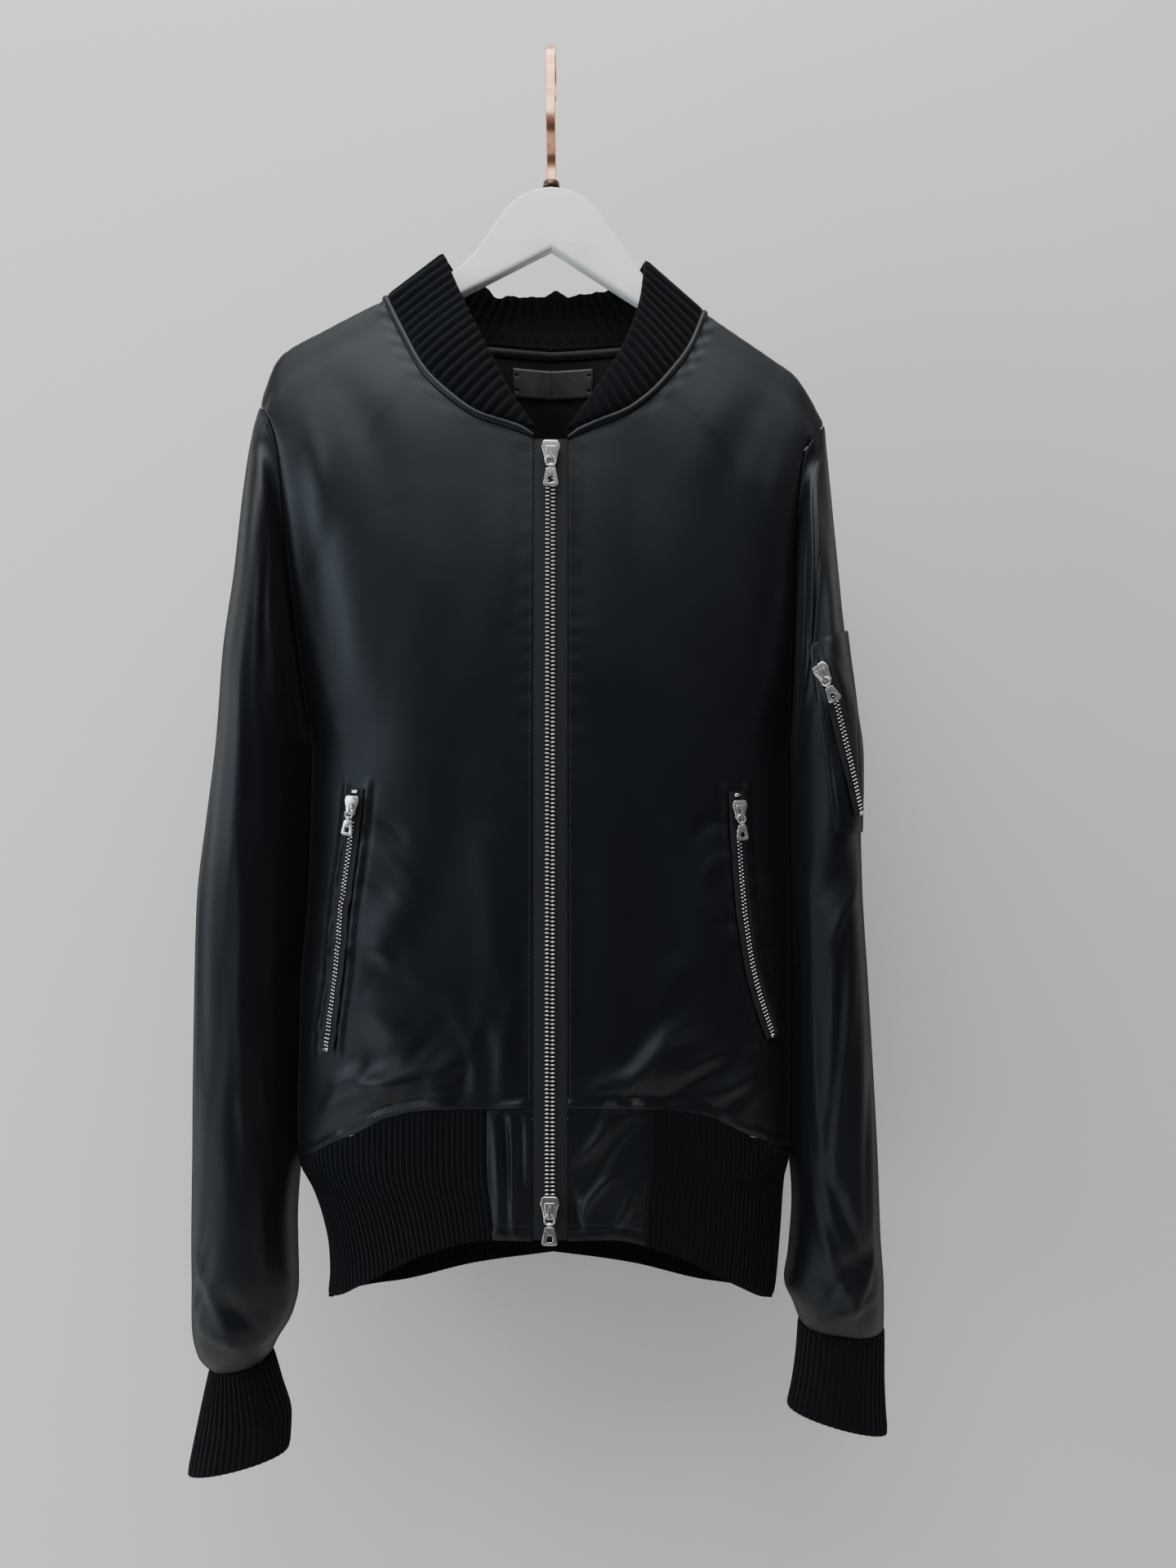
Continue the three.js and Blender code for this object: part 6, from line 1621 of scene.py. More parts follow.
@dataclass
class Knits:
    """The rib-knit pieces: collar, hem band and cuffs."""

    shop: Workshop
    samples: int = 8  # points a rib
    collar_pitch: float = 7.6
    hem_pitch: float = 3.8
    cuff_pitch: float = 4.0
    heights: dict[str, float] = field(default_factory=lambda: {"collar": 1.7, "hem": 1.1, "cuff": 1.1})
    hem_reach: dict[Side, float] = field(default_factory=lambda: {Side.LEFT: 67.4, Side.RIGHT: 42.0})

    def ribbed(self, name: str, place: PlaceFinder, start: float, end: float, pitch: float, rows: Array,
               height: float, closed: bool = False, hidden: float = 0.0) -> bpy.types.Object:
        """Return a knitted wall whose ribs are raised over a plain inside.

        Args:
            name: the piece's name.
            place: gives points and outward directions by place round the piece and share across it.
            start: where the piece starts.
            end: where it ends.
            pitch: distance between ribs.
            rows: shares across the piece.
            height: how high the ribs stand.
            closed: whether it is a tube.
            hidden: how far it lies flat under a binding.

        Returns:
            The piece.
        """
        def middle(at: Array) -> Array:
            return place(at, np.full_like(at, 0.5))[0]

        count = round(path_length(middle, start, end) / pitch)
        at = evenly(middle, start, end, count * self.samples)
        if closed:
            at = at[:-1]
        points, out = place(at[None, :], rows[:, None])
        edge = np.minimum(np.minimum(rows, 1 - rows) / 0.03, 1)[:, None]
        rise = 0.55 + 0.45 * edge
        if hidden:
            away = run_lengths(points, 0)
            edge = smooth((away - hidden) / 2.5)
            rise = edge * rise
        sag = 0.35 * ripple(at[None, :] * 40 / (end - start), rows[:, None] * 3, 9, 5)
        points = points + out * (sag * edge)[..., None]
        wall = Cloth(name, points, out, KNIT, closed)
        wall.inner = points - out * KNIT
        made = wall.build(70)
        course = np.tile(np.arange(len(at)) / self.samples * pitch, (len(rows), 1)) * MM
        self.mark(made, course, out, np.broadcast_to(rise, course.shape))
        grow(made, self.shop.ribs, Pitch=pitch * MM, Height=height * MM, Roundness=0.55,
             Material=self.shop.finishes.knit)
        made.data.shade_smooth()
        made.data.set_sharp_from_angle(angle=math.radians(70))
        return made

    @staticmethod
    def mark(obj: bpy.types.Object, course: Array, out: Array, rise: Array) -> None:
        """Write what the rib tree reads onto a wall: the outer points first, then the inner ones."""
        for name, values in (("course", np.tile(course.reshape(-1), 2)),
                             ("raise", np.tile(rise.reshape(-1), 2))):
            layer = obj.data.attributes.new(name, "FLOAT", "POINT")
            layer.data.foreach_set("value", values.astype(np.float32))
        layer = obj.data.attributes.new("out", "FLOAT_VECTOR", "POINT")
        both = np.concatenate([out.reshape(-1, 3), -out.reshape(-1, 3)])
        layer.data.foreach_set("vector", both.reshape(-1).astype(np.float32))

    def collar(self) -> bpy.types.Object:
        """Return the collar."""
        neck = self.shop.neck

        def place(at: Array, up: Array) -> tuple[Array, Array]:
            width = neck.width(at)
            start = 0.5 / width
            return neck.place(at, mix(start, 1.0, up))

        made = self.ribbed("dressed_collar", place, 0, 2 * neck.back_at, self.collar_pitch,
                           np.linspace(0, 1, 19), self.heights["collar"], hidden=4.5)
        self.shop.finish(made, self.shop.finishes.knit, "rib_knit", ["collar"])
        return made

    def hem(self) -> bpy.types.Object:
        """Return the hem band."""
        form = self.shop.hem
        start = form.angle_at(Side.LEFT, self.hem_reach[Side.LEFT])
        end = math.tau - form.angle_at(Side.RIGHT, self.hem_reach[Side.RIGHT])
        made = self.ribbed("dressed_hem_rib", form.place, start, end, self.hem_pitch, np.linspace(0, 1, 19),
                           self.heights["hem"])
        self.shop.finish(made, self.shop.finishes.knit, "rib_knit", ["hem_rib"])
        return made

    def cuff(self, side: Side) -> bpy.types.Object:
        """Return one cuff."""
        form = self.shop.cuffs[side]
        made = self.ribbed(f"dressed_cuff_{side.value}", lambda turn, at: form.place(at, turn), 0, math.tau,
                           self.cuff_pitch, np.linspace(0, 1, 19), self.heights["cuff"], closed=True)
        self.shop.finish(made, self.shop.finishes.knit, "rib_knit", [f"cuff_{side.value}"])
        return made


@dataclass
class HemPanels:
    """The satin panels between the zip and the hem band."""

    shop: Workshop
    folds: dict[Side, tuple[Crease, ...]] = field(default_factory=lambda: {
        Side.RIGHT: (
            Crease(-36, -742, -33, -826, 3.2, 1.5, 1), Crease(-29.5, -742, -27, -800, 2.2, -1.4, 1),
            Crease(-24, -744, -22.5, -826, 3, 1.7, -1), Crease(-18, -742, -17.5, -790, 2.2, -1.1),
        ),
        Side.LEFT: (
            Crease(20, -772, 40, -742, 4, 1.8, -3), Crease(30, -790, 58, -748, 5, -1.6, 4),
            Crease(22, -812, 42, -784, 3.5, 1.9, 3), Crease(40, -822, 56, -792, 4, 1.3, -3),
            Crease(17, -796, 22, -824, 2.6, -1.3),
        ),
    })
    reach: dict[Side, float] = field(default_factory=lambda: {Side.LEFT: 67.2, Side.RIGHT: 41.8})
    depth: float = 1.5  # how much deeper the folds stand than a flat press would leave them
    turn: float = 8.5  # the stitched line above the turned-up edge

    def build(self, side: Side) -> bpy.types.Object:
        """Return one panel."""
        hem, body = self.shop.hem, self.shop.body
        start = ZIP_X + side.sign * FRONT_EDGE
        border = side.sign * hem.angle_at(side, self.reach[side])
        down = np.linspace(0, 1, 61)
        ends = hem.points(border, down)[:, 0]
        x = mix(start, ends[:, None], np.linspace(0, 1, 45)[None, :])
        z = mix(hem.seam_line[Face.FRONT](np.abs(x)) - hem.seam_half, hem.edge_line[Face.FRONT](np.abs(x)),
                down[:, None])
        points, normals = body.place(Face.FRONT, x, z)
        inside = np.minimum(1, np.minimum(down, 1 - down) / 0.08)[:, None]
        from_edge = run_lengths(points, 0)[::-1]
        turned = (0.7 * np.exp(-(((from_edge - 4) / 2.4) ** 2))
                  - 0.6 * np.exp(-(((from_edge - self.turn) / 0.9) ** 2)))
        folds = self.depth * creased(self.folds[side], x, z) * inside + turned * smooth(from_edge / 2)
        points = points + normals * folds[..., None]
        cloth = Cloth(f"dressed_hem_panel_{side.value}", points, normals, SATIN).sink("tr", 0.7, 1.4)
        made = cloth.build()
        self.shop.finish(made, self.shop.finishes.satin, "satin", [f"hem_panel_{side.value}"])
        return made


@dataclass
class NeckTrims:
    """The binding over the neck seam, and the strip and the bare label inside the back."""

    shop: Workshop
    binding_width: float = 5.0
    binding_lift: float = 0.6
    facing_reach: float = 78.0
    facing_drop: tuple[float, float] = (0.6, 6.6)
    label_size: tuple[float, float] = (59.0, 20.0)
    label_middle: float = 0.5
    label_drop: float = 13.5
    lift: float = 0.7

    def binding(self) -> bpy.types.Object:
        """Return the rolled binding."""
        neck = self.shop.neck
        at = evenly(lambda t: neck.points(t, 0.3), 0, 2 * neck.back_at, 420)
        width = neck.width(at)
        share = np.linspace(0, 1, 11)
        up = mix(0.3 / width, np.minimum(self.binding_width / width, 0.4), share[:, None])
        points, normals = neck.place(at[None, :], up)
        roll = (np.sin(np.pi * share) ** 0.7)[:, None] * (1.0 + 0.12 * ripple(at[None, :] * 60, 0, 22, 8))
        outer = points + normals * (self.binding_lift + 0.2 + roll)[..., None]
        cloth = Cloth("dressed_neck_binding", outer, normals, TAPE)
        cloth.inner = points + normals * (self.binding_lift - 0.2)
        made = cloth.build(75)
        self.shop.finish(made, self.shop.finishes.satin, "satin", ["neck_binding"])
        return made

    def inside_back(self, name: str, x: Array, drop: Array, thickness: float) -> Cloth:
        """Return a strip that lies on the inside of the back, below the neck seam."""
        neck, body = self.shop.neck, self.shop.body
        tables = {side: neck.line[side] for side in Side}
        at = {side: solve(neck.side_at, neck.back_at, np.abs(x), tables[side][0]) for side in Side}
        top = np.where(x >= 0, tables[Side.LEFT][1](at[Side.LEFT]), tables[Side.RIGHT][1](at[Side.RIGHT]))
        z = top[None, :] - drop[:, None]
        points, normals = body.place(Face.BACK, np.broadcast_to(x, z.shape), z)
        outer = points - normals * (SATIN + self.lift + thickness)
        cloth = Cloth(name, outer, -normals, thickness)
        cloth.inner = points - normals * (SATIN + self.lift - 0.3)
        return cloth

    def facing(self) -> bpy.types.Object:
        """Return the strip inside the back of the neck."""
        x = np.linspace(-self.facing_reach, self.facing_reach, 150)
        cloth = self.inside_back("dressed_neck_facing", x, np.linspace(*self.facing_drop, 9), TAPE)
        bow = np.sin(np.pi * np.linspace(0, 1, 9))[:, None, None]
        cloth.outer = cloth.outer + cloth.normals * 0.5 * bow
        made = cloth.build(75)
        self.shop.finish(made, self.shop.finishes.satin, "satin", ["neck_facing"])
        return made

    def label(self) -> bpy.types.Object:
        """Return the bare leather label, a little proud along its middle."""
        width, height = self.label_size
        columns, rows = 150, 52
        x = np.linspace(self.label_middle - width / 2, self.label_middle + width / 2, columns)
        drop = np.linspace(self.label_drop, self.label_drop + height, rows)
        cloth = self.inside_back("dressed_neck_label", x, drop, 0.9)
        share_x, share_z = np.linspace(0, 1, columns)[None, :], np.linspace(0, 1, rows)[:, None]
        edge = np.minimum(np.minimum(share_x, 1 - share_x) * width, np.minimum(share_z, 1 - share_z) * height)
        swell = 0.35 * np.sin(np.pi * share_x) - 0.45 * np.exp(-((edge / 0.7) ** 2))
        for hole_x in (0.045, 0.955):
            for hole_z in (0.24, 0.76):
                away = np.hypot((share_x - hole_x) * width, (share_z - hole_z) * height)
                swell = swell - 1.1 * np.exp(-((away / 0.95) ** 4))
        cloth.outer = cloth.outer + cloth.normals * swell[..., None]
        made = cloth.build(60)
        self.shop.finish(made, self.shop.finishes.leather, "label_leather", ["neck_label"])
        return made


@dataclass
class FrontZip:
    """The two-way front zip: two tapes and their rows of teeth."""

    shop: Workshop
    reach: float = FRONT_EDGE - 0.35
    sunk: float = SATIN
    pitch: float = 2.7
    tooth: tuple[float, float, float] = (3.3, 1.3, 2.1)
    top_z: float = -289.0
    bottom_z: float = -827.0
    teeth_z: tuple[float, float] = (-306.0, -801.0)

    def middle(self, z: Array) -> tuple[Array, Array]:
        """Return the zip's middle line on the tapes' back, and the way out of it."""
        points, normals = self.shop.body.place(Face.FRONT, np.full(np.shape(z), ZIP_X), z)
        return points - normals * self.sunk, normals

    def build(self) -> list[bpy.types.Object]:
        """Return the tapes and the teeth."""
        made = []
        tooth = self.shop.template("tooth", self.tooth, 0.45)
        z = np.linspace(self.teeth_z[0], self.teeth_z[1], 260)
        line, out = self.middle(z)
        for side in Side:
            across = np.array([0.25, 2.5, 4.2, 6.5, 9, self.reach])
            rows = np.linspace(self.top_z, self.bottom_z, 200)
            points, normals = self.shop.body.place(Face.FRONT, ZIP_X + side.sign * across[None, :],
                                                   rows[:, None])
            lift = np.array([1.1, 1.15, 1.0, 0.9, 0.85, 0.5])[None, :, None]
            tape = Cloth(f"dressed_front_zip_{side.value}", points + normals * (lift - self.sunk), normals,
                         TAPE)
            tape.inner = points - normals * self.sunk
            piece = tape.build()
            self.shop.finish(piece, self.shop.finishes.tape, "zip_tape", [f"front_zip_{side.value}"])
            made.append(piece)
            first = 0.0 if side is Side.LEFT else self.pitch / 2
            teeth = self.shop.row(f"front_teeth_{side.value}", line, out, tooth, self.shop.finishes.metal,
                                  "zip_metal", self.pitch, first, (-side.sign * 1.9, 0, 1.95))
            made.append(teeth)
        bpy.data.objects.remove(tooth)
        return made


@dataclass
class ShortZip:
    """One pocket or cuff zip: its tape, its teeth and its end stops."""

    shop: Workshop
    name: str
    replaces: str
    middle: Callable[[Array], tuple[Array, Array]]
    cut: tuple[float, float]
    teeth_from: float = 0.12
    teeth_to: float = 0.985
    pitch: float = 2.5
    tooth: tuple[float, float, float] = (1.95, 0.95, 1.7)
    reach: float = 5.6

    def build(self) -> list[bpy.types.Object]:
        """Return the tape and both rows of teeth."""
        finishes = self.shop.finishes
        t = np.linspace(0, 1, 120)
        line, normals = self.middle(t)
        ahead = unit(np.gradient(line, axis=0))
        sideways = unit(np.cross(ahead, normals))
        across = np.array([-self.reach, -4.4, -2.6, -1.2, 1.2, 2.6, 4.4, self.reach])
        heights = np.array([0.55, 0.9, 1.0, 1.1, 1.1, 1.0, 0.9, 0.55])
        points = line[:, None] + sideways[:, None] * across[None, :, None]
        out = np.broadcast_to(normals[:, None], points.shape)
        tape = Cloth(f"dressed_{self.name}", points + out * heights[None, :, None], out, TAPE)
        tape.inner = points + out * 0.1
        piece = tape.build()
        self.shop.finish(piece, finishes.tape, "zip_tape", [self.replaces])
        made = [piece]
        tooth = self.shop.template("tooth", self.tooth, 0.35)
        stretch = np.linspace(self.teeth_from, self.teeth_to, 160)
        row, up = self.middle(stretch)
        for number, sign in enumerate((-1, 1)):
            made.append(self.shop.row(f"{self.name}_teeth_{number + 1}", row, up, tooth, finishes.metal,
                                      "zip_metal", self.pitch, number * self.pitch / 2, (sign * 1.0, 0, 1.7)))
        bpy.data.objects.remove(tooth)
        stop = self.shop.template("stop", (4.4, 2.4, 2.3), 0.5)
        for label, place in (("head", 0.012), ("foot", 0.992)):
            spot, up = self.middle(np.array([place, min(place + 0.006, 1.0)]))
            made.append(self.shop.row(f"{self.name}_{label}_stop", spot, up, stop, finishes.metal,
                                      "zip_metal", 50.0, 0.0, (0, 0, 1.7)))
        bpy.data.objects.remove(stop)
        return made


@dataclass
class Zips:
    """Where each short zip runs."""

    shop: Workshop
    pocket_rows: dict[Side, Rows] = field(default_factory=lambda: dict(POCKET_ROWS))
    sleeve_rows: Rows = ((185, -442), (196, -490), (207, -543))
    cuff_turn: float = 5.0
    lift: dict[str, float] = field(default_factory=lambda: {"pocket": 1.0, "sleeve": 0.8, "cuff": 0.9})
    patch_top: Rows = ((177, -429), (206, -416))
    patch_bottom: Rows = ((192, -556), (213.5, -556))
    patch_lift: float = 1.5
    patch_thickness: float = 1.0

    @staticmethod
    def through(rows: Rows) -> tuple[Curve, Curve]:
        """Return the line through a table of places, as curves of its share."""
        last = len(rows) - 1
        return (Curve(tuple((i / last, row[0]) for i, row in enumerate(rows))),
                Curve(tuple((i / last, row[1]) for i, row in enumerate(rows))))

    def pocket(self, side: Side) -> Callable[[Array], tuple[Array, Array]]:
        """Return a front pocket's middle line."""
        x, z = self.through(self.pocket_rows[side])

        def middle(t: Array) -> tuple[Array, Array]:
            points, normals = self.shop.body.place(Face.FRONT, x(t), z(t))
            return points + normals * self.lift["pocket"], normals
        return middle

    def sleeve(self) -> Callable[[Array], tuple[Array, Array]]:
        """Return the sleeve pocket's middle line."""
        x, z = self.through(self.sleeve_rows)

        def middle(t: Array) -> tuple[Array, Array]:
            points, normals = self.shop.sleeves[Side.LEFT].at_front(x(t), z(t))
            away = self.patch_lift + self.patch_thickness + self.lift["sleeve"]
            return points + normals * away, normals
        return middle

    def cuff(self, side: Side) -> Callable[[Array], tuple[Array, Array]]:
        """Return a cuff zip's middle line."""
        form = self.shop.cuffs[side]

        def middle(t: Array) -> tuple[Array, Array]:
            points, normals = form.place(mix(0.96, 0.1, t), np.full(np.shape(t), self.cuff_turn))
            return points + normals * (0.8 + self.lift["cuff"]), normals
        return middle

    def patch(self) -> bpy.types.Object:
        """Return the pocket on the sleeve, whose edges are stitched down."""
        down, across = np.linspace(0, 1, 64), np.linspace(0, 1, 40)
        (x0, z0), (x1, z1) = self.patch_top
        (x2, z2), (x3, z3) = self.patch_bottom
        start = np.stack([mix(x0, x2, down), mix(z0, z2, down)], -1)[:, None]
        end = np.stack([mix(x1, x3, down), mix(z1, z3, down)], -1)[:, None]
        flat = start + (end - start) * across[None, :, None]
        points, normals = self.shop.sleeves[Side.LEFT].at_front(flat[..., 0], flat[..., 1])
        folds = creased((Crease(182, -432, 199, -470, 4, 1.1, 2), Crease(186, -500, 196, -548, 4, 1.2, 2),
                         Crease(201, -455, 212, -500, 3.5, 0.9, 1), Crease(190, -470, 193, -520, 3, -0.9)),
                        flat[..., 0], flat[..., 1])
        edge = np.minimum(np.minimum(across, 1 - across)[None, :] * 24,
                          np.minimum(down, 1 - down)[:, None] * 130)
        rise = self.patch_lift + self.patch_thickness + folds * np.minimum(edge / 4, 1)
        rise = rise - 0.5 * np.exp(-(((edge - 3) / 0.8) ** 2)) - 0.5 * np.exp(-((edge / 0.5) ** 2))
        cloth = Cloth("dressed_sleeve_pocket", points + normals * rise[..., None], normals,
                      self.patch_thickness)
        cloth.inner = points + normals * (self.patch_lift - 0.6)
        made = cloth.build(60)
        self.shop.finish(made, self.shop.finishes.satin, "satin", ["sleeve_pocket"])
        return made

    def build(self) -> None:
        """Make every short zip and the sleeve's pocket."""
        self.patch()
        for side in Side:
            ShortZip(self.shop, f"pocket_zip_{side.value}", f"pocket_zip_{side.value}", self.pocket(side),
                     (0.0112, 0.176)).build()
            ShortZip(self.shop, f"cuff_zip_{side.value}", f"cuff_zip_{side.value}", self.cuff(side),
                     (0.0112, 0.055), teeth_from=0.3).build()
        ShortZip(self.shop, "sleeve_zip", "sleeve_zip", self.sleeve(), (0.0112, 0.108),
                 teeth_from=0.2).build()


@dataclass
class Pull:
    """A slider with its ring and tab, in its own axes: X across the zip, -Y off the cloth, Z up it."""

    shop: Workshop
    name: str
    size: float
    bead: float
    upwards: Vector  # roughly the way up along the zip
    width: float = 13.0
    height: float = 15.5
    thickness: float = 3.4
    gap: float = 0.3
    bridge_width: float = 2.2
    bridge_height: float = 7.0
    bridge_rise: float = 3.0
    bridge_bar: float = 0.9
    bridge_foot: float = 0.8
    bridge_middle: float = -2.0
    ring_radius: float = 3.3
    ring_wire: float = 0.75
    tab_top: float = 6.4
    tab_bottom: float = 10.6
    tab_length: float = 12.0
    tab_thickness: float = 1.3
    tab_window: float = 4.4

    def __post_init__(self) -> None:
        """Work out the pull's own axes from its hinge in the record."""
        joints = self.shop.frame["record"]["behaviour"]["joints"]
        joint = next(j for j in joints if j["name"] == f"swing_{self.name}")
        across = -Vector(joint["axis"]).normalized()
        up = (self.upwards - across * self.upwards.dot(across)).normalized()
        inwards = up.cross(across)
        scale = self.size * MM
        turn = Matrix((across * scale, inwards * scale, up * scale)).transposed().to_4x4()
        self.hinge = Matrix.Translation(Vector(joint["pos_m"])) @ turn
        depth = self.bead / self.size + self.gap + self.thickness + (self.bridge_rise - self.bridge_bar) / 2
        rise = self.bridge_middle - self.bridge_height / 2 + self.bridge_foot + 0.75 + 0.3
        self.seat = self.hinge @ Matrix.Translation((0, depth, -rise))

    def plate(self, loops: Sequence[Sequence[tuple[float, float]]], y: float, thickness: float,
              bevel: float) -> tuple[bpy.types.Mesh, Matrix]:
        """Return a plate standing in the local XZ plane, from y to y - thickness."""
        turn = Matrix.Translation((0, y - thickness / 2, 0)) @ Matrix.Rotation(math.pi / 2, 4, "X")
        return plate_mesh(loops, thickness, bevel), turn

    def strap(self, loop: Sequence[tuple[float, float]], width: float, bevel: float) -> tuple[bpy.types.Mesh,
                                                                                              Matrix]:
        """Return a band standing in the local YZ plane, centred on X."""
        turn = Matrix(((0, 0, 1, 0), (1, 0, 0, 0), (0, 1, 0, 0), (0, 0, 0, 1)))
        return plate_mesh([loop], width, bevel), turn

    def put(self, kind: str, parts: Sequence[tuple[bpy.types.Mesh, Matrix]], frame: Matrix,
            body: str) -> bpy.types.Object:
        """Join parts in a local frame and dress them."""
        mesh = joined_mesh(f"dressed_{kind}_{self.name}", [(part, frame @ matrix) for part, matrix in parts])
        made = new_object(mesh.name, mesh, 35)
        return self.shop.finish(made, self.shop.finishes.metal, "zip_metal", [f"{kind}_{self.name}"], body)

    def slider(self) -> bpy.types.Object:
        """Return the slider with its bridge."""
        w, h = self.width / 2, self.height / 2
        outline = rounded_loop([(-w * 0.62, -h), (w * 0.62, -h), (w * 0.74, -h * 0.2), (w, h * 0.45),
                                (w * 0.8, h), (-w * 0.8, h), (-w, h * 0.45), (-w * 0.74, -h * 0.2)], 1.6)
        face = -(self.bead / self.size + self.gap)
        front = face - self.thickness
        low, high = self.bridge_middle - self.bridge_height / 2, self.bridge_middle + self.bridge_height / 2
        root, outer, inner = front + 0.4, front - self.bridge_rise, front - self.bridge_rise + self.bridge_bar
        foot = self.bridge_foot
        staple = [(root, low), *rounded_loop([(outer, low), (outer, high)], 0.0, 1)[1:3], (root, high),
                  (root, high - foot), (inner, high - foot), (inner, low + foot), (root, low + foot)]
        crown = rounded_loop([(-w * 0.42, -h * 0.86), (w * 0.42, -h * 0.86), (w * 0.6, h * 0.5),
                              (-w * 0.6, h * 0.5)], 1.4)
        parts = [self.plate([outline], face, self.thickness - 0.5, 0.6),
                 self.plate([crown], front + 0.9, 0.9, 0.4), self.strap(staple, self.bridge_width, 0.2)]
        return self.put("slider", parts, self.seat, ROOT)

    def ring(self) -> bpy.types.Object:
        """Return the ring that joins the tab to the slider's bridge."""
        turn = Matrix.Translation((0, 0, -self.ring_radius)) @ Matrix.Rotation(math.pi / 2, 4, "X")
        return self.put("ring", [(torus_mesh(self.ring_radius, self.ring_wire), turn)], self.hinge,
                        f"pull_{self.name}")

    def tab(self) -> bpy.types.Object:
        """Return the tab with its eye and its window."""
        eye_z = -2 * self.ring_radius
        top = eye_z - self.ring_wire - 0.7
        bottom = top - self.tab_length
        t, b = self.tab_top / 2, self.tab_bottom / 2
        outline = rounded_loop([(-t, top), (-b, bottom + 1.4), (-b + 1.2, bottom), (b - 1.2, bottom),
                                (b, bottom + 1.4), (t, top)], 0.9, 3)
        side, low = self.tab_window / 2, bottom + 2.2
        window = rounded_loop([(-side, low), (side, low), (side * 0.75, low + self.tab_window),
                               (-side * 0.75, low + self.tab_window)], 0.9, 3)
        hole = circle(0, eye_z, self.ring_wire + 0.5)
        eye = plate_mesh([circle(0, eye_z, self.ring_wire + 1.3), hole[::-1]], 2.6, 0.25)
        turn = Matrix(((0, 0, 1, 0), (1, 0, 0, 0), (0, 1, 0, 0), (0, 0, 0, 1)))
        parts = [(eye, turn), self.plate([outline, window[::-1]], self.tab_thickness / 2, self.tab_thickness,
                                         0.3)]
        return self.put("tab", parts, self.hinge, f"pull_{self.name}")

    def build(self) -> None:
        """Make the slider, the ring and the tab."""
        self.slider()
        self.ring()
        self.tab()


@dataclass
class Stitching:
    """Rows of sewing thread along the placket, the pockets and the patch."""

    shop: Workshop
    zips: Zips
    spacing: float = 2.9
    size: tuple[float, float, float] = (0.5, 2.1, 0.45)
    placket_top: dict[Side, float] = field(default_factory=lambda: {Side.LEFT: -296, Side.RIGHT: -294})
    placket_foot: float = -735
    placket_inset: float = 1.6  # from a front's folded edge to its row of stitches

    def line(self, name: str, points: Array, out: Array, thread: bpy.types.Object,
             lift: float = 0.12) -> None:
        """Sew one row."""
        self.shop.row(name, points, out, thread, self.shop.finishes.thread, "zip_tape", self.spacing, 0.0,
                      (0, 0, lift), 0.12)

    def build(self) -> None:
        """Sew every row."""
        shop, body = self.shop, self.shop.body
        thread = shop.template("stitch", self.size, 0.14)
        for side in Side:
            z = np.linspace(self.placket_top[side], self.placket_foot, 300)
            x = np.full(z.shape, ZIP_X + side.sign * (FRONT_EDGE + self.placket_inset))
            self.line(f"placket_stitches_{side.value}", *body.place(Face.FRONT, x, z), thread)
            t = np.linspace(0, 1, 120)
            middle, normals = self.zips.pocket(side)(t)
            ahead = unit(np.gradient(middle, axis=0))
            sideways = unit(np.cross(ahead, normals))
            for number, sign in enumerate((-1, 1)):
                spots = middle + sideways * sign * 7.4
                points, out = body.place(Face.FRONT, spots[:, 0], spots[:, 2])
                self.line(f"pocket_stitches_{side.value}_{number + 1}", points, out, thread)
        self.patch_rows(thread)
        bpy.data.objects.remove(thread)

    def patch_rows(self, thread: bpy.types.Object) -> None:
        """Sew the sleeve pocket down along its two long edges."""
        zips = self.zips
        down = np.linspace(0.02, 0.98, 90)
        for number, share in enumerate((0.09, 0.91)):
            (x0, z0), (x1, z1) = zips.patch_top
            (x2, z2), (x3, z3) = zips.patch_bottom
            x = mix(mix(x0, x2, down), mix(x1, x3, down), share)
            z = mix(mix(z0, z2, down), mix(z1, z3, down), share)
            points, out = self.shop.sleeves[Side.LEFT].at_front(x, z)
            lifted = points + out * (zips.patch_lift + zips.patch_thickness - 0.3)
            self.line(f"patch_stitches_{number + 1}", lifted, out, thread)


